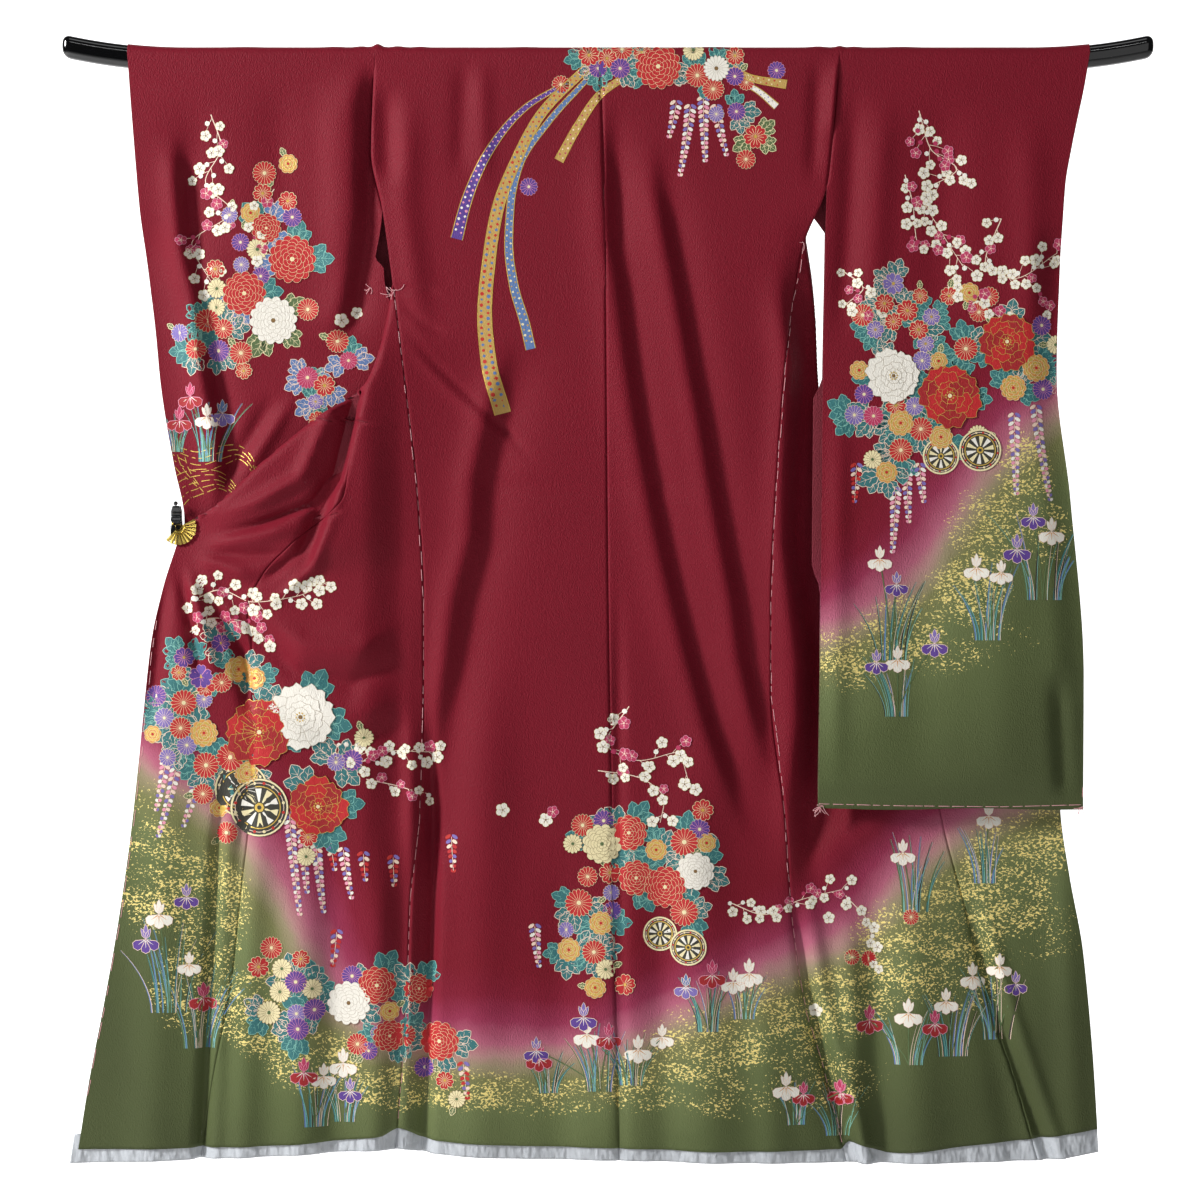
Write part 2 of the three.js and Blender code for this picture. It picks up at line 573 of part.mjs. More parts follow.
/** Point of the cloth over the rod at a distance past its crest line, for flat facets clear of it. */
function overRod(x, distance) {
  const angle = distance / OVER_ROD;
  const clear = 1 / Math.cos(Math.PI / TURN_STEPS / 2) - 1;
  const radius = OVER_ROD * (1 + clear * clamp01(Math.sin(angle) / Math.sin(Math.PI / TURN_STEPS)));
  return point3(x, -radius * Math.cos(angle), CREST + radius * Math.sin(angle));
}

/** A point of the body: u = 0 at the centre seam or inner edge, 1 at the side edge. */
function bodyPoint(side, u, distance) {
  const centre = (z) => lookup(CENTRE_SEAM, "z", "x", z) * side + SEAM / 2;
  if (distance <= BACK_LENGTH) {
    const z = HEM_LEVEL + distance;
    const x = side * mix(centre(z), outOf(SIDE_EDGE, side, z) - SEAM / 2, u);
    return hemmed(point3(x, nearDepth(x, z), z));
  }
  const turned = distance - BACK_LENGTH;
  const z = Math.min(CREST, CREST - (turned - TURN_LENGTH));
  const x = side * mix(centre(CREST), outOf(SIDE_EDGE, side, z) - SEAM / 2, u);
  if (turned <= TURN_LENGTH) return overRod(x, turned);
  if (z >= -NECK_DROP) return point3(x, OVER_ROD, z);
  const inner = okumiShare(side, z);
  const seamed = inner < 1 ? -seamGap(side, z) / 2 : 0;
  const front = sectionPoint(side, z, (1 - u) * inner, (1 - u) * seamed);
  return point3(x, OVER_ROD, z).lerp(front, ease((z + NECK_DROP) / (SHOULDER + NECK_DROP)));
}

function body(side) {
  const rows = bodyRows(side);
  const place = (u, v) => bodyPoint(side, u, onList(rows, v));
  const geometry = wall(place, BODY_COLUMNS, rows.length - 1, CLOTH);
  return named(`body_${sideName(side)}`, geometry, FINISH.silk);
}

/** The okumi: the tapering strip between the front and its free edge. */
function okumi(side) {
  const rows = lowerHeights(side).filter((z) => z < OKUMI_TOP);
  const place = (u, v) => {
    const z = onList(rows, v);
    return sectionPoint(side, z, mix(okumiShare(side, z), 1, u), ((1 - u) * seamGap(side, z)) / 2);
  };
  const geometry = wall(place, OKUMI_COLUMNS, rows.length - 1, CLOTH);
  return named(`okumi_${sideName(side)}`, geometry, FINISH.silk);
}

// ---------- Sleeves: one length of cloth each, sewn below and at the outer edge ----------

const SLEEVE_LENGTH = CREST - SLEEVE_FOOT;

/** A point of a sleeve, by the length from its near lower edge over the rod to the far one. */
function sleevePoint(side, u, distance) {
  const table = SLEEVE[sideName(side)];
  const turned = distance - SLEEVE_LENGTH;
  const near = turned <= 0;
  const far = turned >= TURN_LENGTH;
  const z = CREST - Math.max(-turned, 0) - Math.max(turned - TURN_LENGTH, 0);
  const cell = (name) => lookup(table, "z", name, z);
  const inner = z > ARMHOLE_FOOT[sideName(side)] ? outOf(SIDE_EDGE, side, z) : cell("inner");
  const x = side * mix(inner + SEAM / 2, cell("outer"), u);
  if (!near && !far) return overRod(x, turned).add(point3(0, 0, rodRise(x)));
  const fromOuter = cell("outer") - side * x;
  const sewnOut = ease(1 - fromOuter / SEAM_BEND) * ease((CUFF_FOOT - z) / SEAM_START);
  const sewnBelow = ease(1 - (z - SLEEVE_FOOT) / SEAM_BEND);
  const middle = mix((cell("near") + cell("far")) / 2, cell("seam"), sewnOut);
  const closed = 1 - (1 - sewnOut) * (1 - sewnBelow);
  const wallDepth = near ? cell("near") : cell("far");
  const seamDepth = middle + ((near ? -1 : 1) * (CLOTH + SEAM)) / 2;
  return point3(x, mix(wallDepth, seamDepth, closed), z + rodRise(x) * ease(1 + z / RISE_FADE));
}

function sleeve(side) {
  const armhole = ARMHOLE_FOOT[sideName(side)];
  const shared = upperHeights(side).filter((z) => z >= armhole);
  const hanging = heights(SLEEVE_FOOT + SEAM_BEND, armhole, ROW.sleeve).slice(0, -1);
  const levels = [SLEEVE_FOOT, SLEEVE_FOOT + SEAM_BEND / 2, ...hanging, ...shared];
  const near = levels.map((z) => z - SLEEVE_FOOT);
  const turnEnd = SLEEVE_LENGTH + TURN_LENGTH;
  const turn = heights(SLEEVE_LENGTH, turnEnd, TURN_LENGTH / TURN_STEPS);
  const far = near.toReversed().map((level) => SLEEVE_LENGTH + turnEnd - level);
  const rows = [...near, ...turn, turnEnd + CREST + NECK_DROP, ...far];
  const columns = [0, 0.18, 0.36, 0.54, 0.7, 0.86, 0.93, 1];
  const place = (u, v) => sleevePoint(side, onList(columns, u), onList(rows, v));
  const geometry = wall(place, columns.length - 1, rows.length - 1, CLOTH);
  return named(`sleeve_${sideName(side)}`, geometry, FINISH.silk);
}

// ---------- Collar and hem facings ----------

/** One side of the collar: pairs of a sewn and a free point, from its lower end to the neck. */
function collarRun(side) {
  const table = COLLAR[sideName(side)];
  const levels = [...lowerHeights(side), ...upperHeights(side)].filter((z) => z > table[0].z);
  return [table[0].z, ...levels].map((z) => {
    const cell = (name) => lookup(table, "z", name, z);
    const free = point3(side * cell("x"), cell("depth"), cell("toZ"));
    const edge = sectionPoint(side, z, 1);
    const tucked = ease((ROLL_FOOT[sideName(side)] + ROLL_FADE - z) / ROLL_FADE);
    edge.y += tucked * ((CLOTH + COLLAR_CLOTH) / 2 + COLLAR_GAP);
    return [edge.add(free.clone().sub(edge).normalize().multiplyScalar(COLLAR_GAP)), free];
  });
}

/** The folded collar, sewn along both free edges and round the back of the neck. */
function collar() {
  const nape = COLLAR_NAPE.stations.map((x) => [
    point3(x, OVER_ROD + COLLAR_NAPE.behind, SHOULDER - COLLAR_GAP),
    point3(x * COLLAR_NAPE.narrows, COLLAR_NAPE.depth, COLLAR_NAPE.z),
  ]);
  const pairs = [...collarRun(-1), ...nape, ...collarRun(1).toReversed()];
  const onEdge = (k, v) => {
    const on = (axis) => onList(pairs.map((pair) => pair[k][axis]), v);
    return point3(on("x"), on("y"), on("z"));
  };
  const place = (u, v) => onEdge(0, v).lerp(onEdge(1, v), u);
  return named("collar", wall(place, 2, pairs.length - 1, COLLAR_CLOTH), FINISH.silk);
}

/** A point of a panel near its hem, at share u of its width outwards, before the seam gap. */
function panelPoint(panel, side, u, z) {
  if (panel === "back") return bodyPoint(side, u, backAt(z));
  const inner = okumiShare(side, z);
  const share = panel === "front" ? mix(0, inner, u) : mix(inner, 1, u);
  const gap = panel === "front" ? -u * SEAM : (1 - u) * SEAM;
  return sectionPoint(side, z, share, gap / 2);
}

/** A strip of white facing behind one panel's hem, showing below it. */
function facing({ panel, side, lower, beyond }) {
  const nextRow = lowerHeights(side)[1];
  const aside = 0.05; // share of the width on which the panel's slant is measured
  const place = (u, v) => {
    const hem = panelPoint(panel, side, u, HEM_LEVEL);
    const above = panelPoint(panel, side, u, nextRow);
    const z = lookup(HEM, "x", "facing", hem.x) - lower + FACING_HEIGHT * v;
    hem.lerp(above, (z - hem.z) / (above.z - hem.z));
    const across = panelPoint(panel, side, u + aside, HEM_LEVEL);
    across.sub(panelPoint(panel, side, u - aside, HEM_LEVEL));
    const lean = Math.hypot(1, across.y / across.x);
    return point3(hem.x + side * beyond * u ** 4, hem.y + FACING_BEHIND * lean, z);
  };
  const columns = panel === "okumi" ? OKUMI_COLUMNS : BODY_COLUMNS;
  return named(`facing_${panel}_${sideName(side)}`, wall(place, columns, 2, FACING_CLOTH), FINISH.satin);
}

// ---------- Rod and clip ----------

/** Straight lacquered rod whose ends curve up to rounded tips. */
function rod() {
  const ring = (x, scale) => {
    const points = [];
    for (let i = 0; i < ROD_SIDES; i += 1) {
      const angle = (2 * Math.PI * i) / ROD_SIDES;
      const y = Math.cos(angle) * (ROD.depth / 2) * scale;
      const z = Math.sin(angle) * (ROD.depth / 2) * scale;
      points.push(point3(x, y, z + Math.sign(Math.round(z * 1e6)) * CREST * scale + rodRise(x)));
    }
    return points;
  };
  const bluntness = 0.7;
  const tipped = (t) => [ROD.halfLength - ROD.tip * (1 - Math.sin(t)), Math.cos(t) ** bluntness];
  const tips = [1.45, 1.2, 0.9, 0.55, 0].map(tipped);
  const bent = [730, 690, 645, 600, 300, 0].map((x) => [x, 1]);
  const half = [...tips, ...bent];
  const rings = [
    ...half.map(([x, scale]) => ring(-x, scale)),
    ...half.slice(0, -1).toReversed().map(([x, scale]) => ring(x, scale)),
  ];
  return named("rod", loft(rings), FINISH.lacquer);
}

/** Pleated fan plate on the clip. */
function clipFan() {
  const pleats = FAN.ribs * 2;
  const place = (u, v) => {
    const angle = THREE.MathUtils.degToRad(mix(FAN.from, FAN.to, u));
    const radius = mix(FAN.hub, FAN.reach, v);
    const zigzag = FAN.pleat * v * (Math.round(u * pleats) % 2 ? 1 : -1);
    return point3(FAN.x + radius * Math.cos(angle), FAN.y + zigzag, FAN.z + radius * Math.sin(angle));
  };
  return named("clip_fan", wall(place, pleats, 2, FAN.wall), FINISH.gold);
}

const LEVER_LEAN = 2; // the levers lean outwards by this much

/** One jaw of the clip with its lever: a bent strip, extruded along the pin. */
function clipJaw(name, towards) {
  const { pinZ, pinY, pinRadius, jaw, halfMouth, footZ, leverTop, width, x } = CLIP;
  const seat = pinRadius + SEAM + jaw / 2;
  const middle = [
    [halfMouth, footZ], [halfMouth, pinZ - 8], [seat, pinZ - 1.5], [seat, pinZ + 1.5],
    [halfMouth, pinZ + 6], [halfMouth + LEVER_LEAN, pinZ + leverTop],
  ];
  const face = (offset) => middle.map(([y, z]) => new THREE.Vector2(pinY + towards * (y + offset), z));
  const outline = [...face(-jaw / 2), ...face(jaw / 2).toReversed()];
  const strip = new THREE.ExtrudeGeometry(new THREE.Shape(outline), { depth: width, bevelEnabled: false });
  const axes = new THREE.Matrix4().makeBasis(point3(0, 1, 0), point3(0, 0, 1), point3(1, 0, 0));
  strip.applyMatrix4(axes.setPosition(x - width / 2, 0, 0));
  return named(name, strip, FINISH.blackMetal);
}

/** The clip's pieces: fan, jaws, pin, the ball on the front lever and the one beside the fan. */
function clip() {
  const { x, pinZ, pinY, pinRadius, jaw, halfMouth, leverTop, width, blackBall, goldBall } = CLIP;
  const pin = new THREE.CylinderGeometry(pinRadius, pinRadius, width, 16).rotateZ(Math.PI / 2);
  const front = pinY - halfMouth;
  const onLever = [x, front - LEVER_LEAN, pinZ + leverTop + blackBall + SEAM];
  const onJaw = [x - 4, front - jaw / 2 - goldBall - SEAM, pinZ - 12];
  const ball = (radius, place) => new THREE.SphereGeometry(radius, 14, 10).translate(...place);
  return [
    clipFan(),
    clipJaw("clip_jaw_front", -1),
    clipJaw("clip_jaw_back", 1),
    named("clip_pin", pin.translate(x, pinY, pinZ), FINISH.blackMetal),
    named("clip_ball_black", ball(blackBall, onLever), FINISH.blackMetal),
    named("clip_ball_gold", ball(goldBall, onJaw), FINISH.gold),
  ];
}

// ---------- The whole ----------

const group = new THREE.Group();
group.name = "furisode_on_rod";
for (const side of [-1, 1]) group.add(body(side), okumi(side), sleeve(side));
group.add(collar(), ...FACINGS.map(facing), rod(), ...clip());

export default group;
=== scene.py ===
"""Looks of a furisode kimono that hangs by its sleeves on a lacquered rod, seen from the back.

Lengths in the tables are millimetres; meshes are made in metres, +Z up, with the garment's back
towards -Y. The origin is the middle of the rod's axis. "Out" is the distance from the centre
line towards one side. The pattern draft is counted in cells of 1.43 mm from its upper left corner.
"""

import logging
import math
import random
from collections.abc import Callable, Iterable, Sequence
from dataclasses import dataclass, field
from enum import Enum

import bmesh
import bpy
import numpy as np
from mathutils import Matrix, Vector
from mathutils.bvhtree import BVHTree


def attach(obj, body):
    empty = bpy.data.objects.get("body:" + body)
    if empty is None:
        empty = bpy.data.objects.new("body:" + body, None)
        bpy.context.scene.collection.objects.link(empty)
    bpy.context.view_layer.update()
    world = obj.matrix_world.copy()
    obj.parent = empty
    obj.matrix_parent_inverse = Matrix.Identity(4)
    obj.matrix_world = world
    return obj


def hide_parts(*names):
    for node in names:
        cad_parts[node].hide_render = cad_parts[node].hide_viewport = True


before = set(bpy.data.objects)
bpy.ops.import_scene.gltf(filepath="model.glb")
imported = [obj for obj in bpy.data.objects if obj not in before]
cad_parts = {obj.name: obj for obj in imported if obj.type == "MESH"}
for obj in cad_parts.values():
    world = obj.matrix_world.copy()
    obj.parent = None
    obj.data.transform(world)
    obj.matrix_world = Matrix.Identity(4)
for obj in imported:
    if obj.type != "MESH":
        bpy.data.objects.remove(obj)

Array = np.ndarray
Point = tuple[float, float]

MM = 0.001
LOG = logging.getLogger("furisode")

# ---------- Driving sizes, in millimetres ----------

CLOTH = 1.0  # shown thickness of the silk
ROD_HEIGHT = 33.0
ROD_DEPTH = 24.0
ROD_HALF_LENGTH = 780.0
ROD_STRAIGHT = 600.0
ROD_BEND = 800.0
ROD_TIP = 12.0
HEM_LEVEL = -1550.0
HEM_ZONE = 260.0
SLEEVE_FOOT = -1070.0
CUFF_FOOT = -215.0
SEAM_BEND = 48.0
SEAM_START = 80.0
RISE_FADE = 60.0
SHOULDER = -6.0
ROLL_RADIUS = 8.0
ROLL_FADE = 60.0
ARMHOLE_BEND = 34.0
OKUMI_TOP = -345.0
OVER_ROD = ROD_DEPTH / 2 + 0.3 + 0.8  # radius of the cloth's middle over the rod
CREST = (ROD_HEIGHT - ROD_DEPTH) / 2  # height where the cloth starts to turn over the rod
BODY_WIDTH = 280.0  # about the width of each panel, for spacing its columns and its seams
OKUMI_WIDTH = 170.0
SLEEVE_WIDTH = 340.0
SEWN_SLEEVE_WIDTH = 330.0
SEAM_DIP = 2.6  # depth by which the cloth turns in at a sewn edge
SEAM_WIDE = 1.7
SEAM_GAP = 0.1  # space between the two walls where a sleeve is sewn
SEAM_COLUMNS = (0.0, 0.6, 1.3, 2.2, 3.4, 5.0)  # distances of the first columns from an edge
OPEN_DIP = 0.3  # share of the dip that is left beside an open slit
ROLLED_DIP = 0.5  # share of the dip that is left inside the roll
ROD_FADE = 40.0  # seams fade in over this height below the crest
ROD_CLEAR = 30.0  # a sleeve's seam dips from this far below the crest
SLEEVE_HEM_WAVE = 1.2
SLEEVE_HEM_WAVE_LENGTH = 37.0
SLEEVE_HEM_WAVE_FADE = 60.0
COLLAR_THICK = 2.2
NAPE_HALF_WIDTH = 70.0
NAPE_FOOT = -62.0
NAPE_DEPTH = 17.0
NAPE_POINTS = 15
FULL_CRIMSON = -400.0  # distance from the dye's border at which the ground is deepest
# Where the two sides of a shell lie on the unit square of its UV map.
FLAT_MARGIN = 0.005
FLAT_WIDTH = 0.48
FLAT_HEIGHT = 0.99
FLAT_STEP = 0.505
CELL = 1.43  # one cell of the pattern draft
DRAFT_ORIGIN = (608.0, 60.0)  # the cell that lies at the origin


class Side(Enum):
    """The two sides of the garment as they hang, with the sign of x."""

    LEFT = -1
    RIGHT = 1

    @property
    def label(self) -> str:
        """The side's name in node names."""
        return self.name.lower()


# ---------- Small mathematics ----------


def curve(keys: Sequence[float], values: Array, at: Array) -> Array:
    """Follow a smooth line without overshoot through given places.

    Args:
        keys: Places, rising or falling.
        values: Values at them on the last axis, the same for all or one set for each of `at`.
        at: Where the line is read.

    Returns:
        The line's values, shaped as `at`.
    """
    x = np.asarray(keys, float)
    y = np.asarray(values, float)
    if x[0] > x[-1]:
        x, y = x[::-1], y[..., ::-1]
    place = np.clip(np.asarray(at, float), x[0], x[-1])
    slope = np.diff(y, axis=-1) / np.diff(x)
    before, after = slope[..., :-1], slope[..., 1:]
    same_way = before * after > 0
    blended = 2 * before * after / np.where(same_way, before + after, 1)
    tangent = np.concatenate([slope[..., :1], np.where(same_way, blended, 0), slope[..., -1:]], -1)
    i = np.clip(np.searchsorted(x, place, side="right") - 1, 0, len(x) - 2)
    if y.ndim == 1:
        y0, y1, t0, t1 = y[i], y[i + 1], tangent[i], tangent[i + 1]
    else:
        y0, y1, t0, t1 = (
            np.take_along_axis(table, (i + step)[..., None], -1)[..., 0]
            for table, step in ((y, 0), (y, 1), (tangent, 0), (tangent, 1))
        )
    h = x[i + 1] - x[i]
    t = (place - x[i]) / h
    start = (1 + 2 * t) * (1 - t) ** 2 * y0 + t * (1 - t) ** 2 * h * t0
    return start + t * t * (3 - 2 * t) * y1 + t * t * (t - 1) * h * t1


def ease(t: Array) -> Array:
    """Rise smoothly from 0 to 1 as t does."""
    held = np.clip(t, 0, 1)
    return held * held * (3 - 2 * held)


def bell(d: Array) -> Array:
    """Fall off on both sides of 0."""
    return np.exp(-d * d)


def mix(a: Array, b: Array, t: Array) -> Array:
    """Blend from a to b."""
    return a + (b - a) * t


def from_draft(cells: Iterable[Point]) -> Array:
    """Turn places on the pattern draft into x and z.

    Args:
        cells: Column and row of each place.

    Returns:
        One row of x and z in millimetres for each place.
    """
    places = np.asarray(list(cells), float)
    return np.stack(
        [(places[:, 0] - DRAFT_ORIGIN[0]) * CELL, (DRAFT_ORIGIN[1] - places[:, 1]) * CELL], -1
    )


def to_line(line: Array, x: Array, z: Array) -> tuple[Array, Array]:
    """Measure how far places lie from a line of straight runs.

    Args:
        line: The line's points.
        x: Places' x.
        z: Places' z.

    Returns:
        The distance and the share of the line's length at the nearest point.
    """
    runs = np.diff(line, axis=0)
    lengths = np.hypot(runs[:, 0], runs[:, 1])
    nearest = np.full(np.shape(x), np.inf)
    share = np.zeros(np.shape(x))
    passed = 0.0
    for start, run, length in zip(line[:-1], runs, lengths):
        t = np.clip(((x - start[0]) * run[0] + (z - start[1]) * run[1]) / length**2, 0, 1)
        distance = np.hypot(x - start[0] - t * run[0], z - start[1] - t * run[1])
        closer = distance < nearest
        nearest = np.where(closer, distance, nearest)
        share = np.where(closer, (passed + t * length) / lengths.sum(), share)
        passed += length
    return nearest, share


# ---------- Outline tables ----------


@dataclass(frozen=True)
class Profile:
    """A smooth line through places."""

    keys: tuple[float, ...]
    values: tuple[float, ...]

    def at(self, key: Array) -> Array:
        """The line's value at a key."""
        return curve(self.keys, self.values, key)


@dataclass(frozen=True)
class DepthMap:
    """Depths at stations across the garment, by height."""

    stations: tuple[float, ...]
    levels: tuple[float, ...]
    depths: tuple[tuple[float, ...], ...]

    def at(self, place: Array, z: Array) -> Array:
        """Read the map.

        Args:
            place: Places across the garment.
            z: Heights, shaped alike.

        Returns:
            The depths there.
        """
        columns = np.asarray(self.depths, float).T
        across = np.stack([curve(self.levels, column, z) for column in columns], -1)
        return curve(self.stations, across, place)


@dataclass(frozen=True)
class SleeveLines:
    """A sleeve's edges and the depths of its walls and outer seam, by height."""

    z: tuple[float, ...]
    inner: tuple[float, ...]
    outer: tuple[float, ...]
    near: tuple[float, ...]
    far: tuple[float, ...]
    seam: tuple[float, ...]

    def at(self, name: str, z: Array) -> Array:
        """One of the columns at a height."""
        return curve(self.z, getattr(self, name), z)


@dataclass(frozen=True)
class CollarLines:
    """Where the collar's free edge lies, by height of its sewn edge."""

    z: tuple[float, ...]
    out: tuple[float, ...]
    foot: tuple[float, ...]
    depth: tuple[float, ...]

    def at(self, name: str, z: Array) -> Array:
        """One of the columns at a height."""
        return curve(self.z, getattr(self, name), z)


@dataclass(frozen=True)
class Fold:
    """A ridge (negative, towards the viewer) or a hollow along a line."""

    name: str
    line: tuple[Point, ...]
    wide: float
    deep: float
    taper: float = 0.3

    def depth(self, x: Array, z: Array) -> Array:
        """Read the fold.

        Args:
            x: Places' x.
            z: Places' z.

        Returns:
            The depth that the fold adds.
        """
        distance, share = to_line(np.asarray(self.line, float), x, z)
        runs_out = 1.0 if self.line[-1][1] < HEM_LEVEL else ease((1 - share) / self.taper)
        return self.deep * bell(distance / self.wide) * ease(share / self.taper) * runs_out


@dataclass(frozen=True)
class Pleat:
    """A steep step across a line that runs down: to its right the cloth lies deeper or nearer."""

    name: str
    line: tuple[Point, ...]
    step: float
    steep: float = 10.0
    left: float = 40.0
    right: float = 40.0
    taper: float = 0.15

    def depth(self, x: Array, z: Array) -> Array:
        """Read the pleat.

        Args:
            x: Places' x.
            z: Places' z.

        Returns:
            The depth that the pleat adds: negative towards the viewer.
        """
        line = np.asarray(self.line[::-1], float)
        across = x - np.interp(z, line[:, 1], line[:, 0])
        top, foot = self.line[0][1], self.line[-1][1]
        share = np.clip((top - z) / (top - foot), 0, 1)
        runs_out = 1.0 if foot < HEM_LEVEL else ease((1 - share) / self.taper)
        reach = np.where(across < 0, self.left, self.right)
        side = np.tanh(across / self.steep) * bell(across / reach)
        return self.step * side * ease(share / self.taper) * runs_out


ARMHOLE_FOOT = {Side.LEFT: -214.0, Side.RIGHT: -182.0}  # end of the seam of body and sleeve
UNDERARM = {Side.LEFT: -329.0, Side.RIGHT: -263.0}  # top of the side seam
ROLL_FOOT = {Side.LEFT: -668.0, Side.RIGHT: -735.0}  # where the roll meets the free edge


@dataclass(frozen=True)
class Pinch:
    """Where the clip holds the cloth flat against the sleeve's edge."""

    x: float = -604.0
    z: float = -674.0
    reach: float = 54.0
    near: float = -12.2
    far: float = -8.8


PINCH = Pinch()

# Outer edges of the body: the sleeve seam, the opening below it and then the side seam.
SIDE_EDGE = {
    Side.LEFT: Profile(
        (20, -133, -214, -329, -500, -616, -772, -901, -1084, -1201, -1344, -1550),
        (332, 338, 322, 306, 285, 272, 263, 263, 269, 282, 287, 301),
    ),
    Side.RIGHT: Profile(
        (20, -123, -182, -263, -343, -472, -629, -772, -901, -1085, -1227, -1364, -1426, -1550),
        (331, 319, 312, 280, 265, 250, 239, 233, 233, 253, 263, 285, 305, 336),
    ),
}
# The okumi seam round the roll, as a share of the section.
OKUMI_SHARE = {
    Side.LEFT: Profile(
        (-330, -400, -460, -518),
        (1, 0.68, 0.34, 0.27),
    ),
    Side.RIGHT: Profile(
        (-330, -420, -480, -540),
        (1, 0.6, 0.44, 0.395),
    ),
}
# The okumi seam on the near layer.
OKUMI_SEAM = {
    Side.LEFT: Profile(
        (-518, -571, -625, -688, -741, -790, -830, -1018, -1201, -1310, -1464, -1550),
        (357, 365, 374, 445, 494, 512, 507, 505, 523, 535, 565, 579),
    ),
    Side.RIGHT: Profile(
        (-540, -600, -735, -900, -1077, -1217, -1364, -1451, -1550),
        (345, 372, 425, 452, 477, 513, 549, 578, 606),
    ),
}
# The free edge: behind the back from the neck down, then out to the front.
FREE_EDGE = {
    Side.LEFT: Profile(
        (
            20, -120, -240, -330, -420, -500, -545, -580, -629, -668, -694, -772, -829, -1004,
            -1103, -1227, -1340, -1457, -1550,
        ),
        (
            90, 120, 160, 200, 207, 218, 268, 356, 470, 607, 615, 638, 649, 667, 678, 696, 716, 739,
            754,
        ),
    ),
    Side.RIGHT: Profile(
        (
            20, -120, -240, -330, -420, -520, -600, -680, -735, -900, -1073, -1167, -1276, -1426,
            -1550,
        ),
        (90, 120, 160, 200, 212, 250, 340, 490, 636, 644, 649, 661, 680, 693, 700),
    ),
}
# The roll: where an opened front turns back on itself.
ROLL = {
    Side.LEFT: Profile(
        (-329, -386, -460, -518, -580, -629, -668),
        (310, 319, 342, 421, 496, 549, 612),
    ),
    Side.RIGHT: Profile(
        (-263, -313, -372, -466, -520, -590, -650, -700, -735),
        (284, 292, 298, 303, 352, 440, 525, 598, 640),
    ),
}
CENTRE_SEAM = Profile(
    (20, -272, -744, -1130, -1550),
    (-11, -4, 0, 6, 15),
)
# Sleeves: inner and outer edge, depth of the near and the far wall and of the outer seam.
SLEEVE = {
    Side.LEFT: SleeveLines(
        z=(20, -133, -214, -320, -386, -460, -515, -580, -658, -800, -1070),
        inner=(332, 338, 322, 336, 323, 348, 364, 366, 352, 335, 322),
        outer=(687, 675, 668, 655, 647, 640, 632, 620, 605, 612, 625),
        near=(-13.1, -13.2, -13, -9, -8, -7, -7, -7, -7, -7, -7),
        far=(13.1, 13.5, 13.5, 13, 13, 13, 13, 13, 13, 14, 14),
        seam=(0, 0, 0, 0, 0, 0, -1, -3, -5.5, 0, 3),
    ),
    Side.RIGHT: SleeveLines(
        z=(20, -22, -123, -182, -303, -453, -628, -882, -1070),
        inner=(331, 328, 319, 312, 309, 306, 304, 302, 299),
        outer=(690, 683, 662, 652, 645, 640, 659, 678, 677),
        near=(-13.1, -13.1, -13.4, -13.6, -18, -23, -26, -27, -27),
        far=(13.1, 13.1, 10.5, 9, 3, -1, -4, -5, -5),
        seam=(0, 0, -1, -2, -7, -12, -15, -16, -16),
    ),
}
# Depth of the cloth that faces the viewer, by height, at stations across the garment.
NEAR = DepthMap(
    stations=(-700, -480, -350, -290, 0, 245, 300, 480, 700),
    levels=(20, -200, -300, -500, -668, -850, -1100, -1300, -1550),
    depths=(
        (-13.1, -13.1, -13.1, -13.1, -13.1, -13.1, -13.1, -13.1, -13.1),
        (-20, -20, -13.2, -13.2, -13.4, -13.6, -13.6, -13.6, -13.6),
        (-28, -30, -16, -14, -14, -12, 2, 14, 16),
        (-28, -36, -32, -20, -15, -8, 9, 17, 18),
        (-10, -36, -38, -22, -16, -6, 9, 18, 20),
        (-26, -36, -36, -19, -16, -5, 9, 18, 19),
        (-27, -35, -32, -15, -15, -4, 8, 14, 15),
        (-24, -26, -24, -11, -15, -6, 2, 4, 6),
        (-22, -20, -18, -8, -16, -8, -4, -6, 2),
    ),
)
# Depth of the far layers, by height, at stations outwards.
FAR = {
    Side.LEFT: DepthMap(
        stations=(90, 200, 290, 342, 500, 700),
        levels=(-6, -214, -329, -460, -600, -668),
        depths=(
            (13.1, 13.1, 13.1, 13.1, 13.1, 13.1),
            (15, 15, 14, 13.5, 13.5, 13.5),
            (17, 17, 16, 6, 0, 0),
            (17, 18, 15, -19, -23, -23),
            (17, 17, 10, -23, -24, -22),
            (17, 17, 10, -23, -23, -14),
        ),
    ),
    Side.RIGHT: DepthMap(
        stations=(90, 200, 280, 330, 500, 700),
        levels=(-22, -123, -182, -300, -500, -735),
        depths=(
            (13.1, 13.1, 13.1, 13.1, 13.1, 13.1),
            (14, 13.5, 11.5, 10.5, 10.5, 10.5),
            (15, 14, 11, 9, 9, 9),
            (16, 16, 17, 18, 20, 20),
            (16, 18, 24, 28, 30, 30),
            (16, 20, 26, 30, 31, 29),
        ),
    ),
}
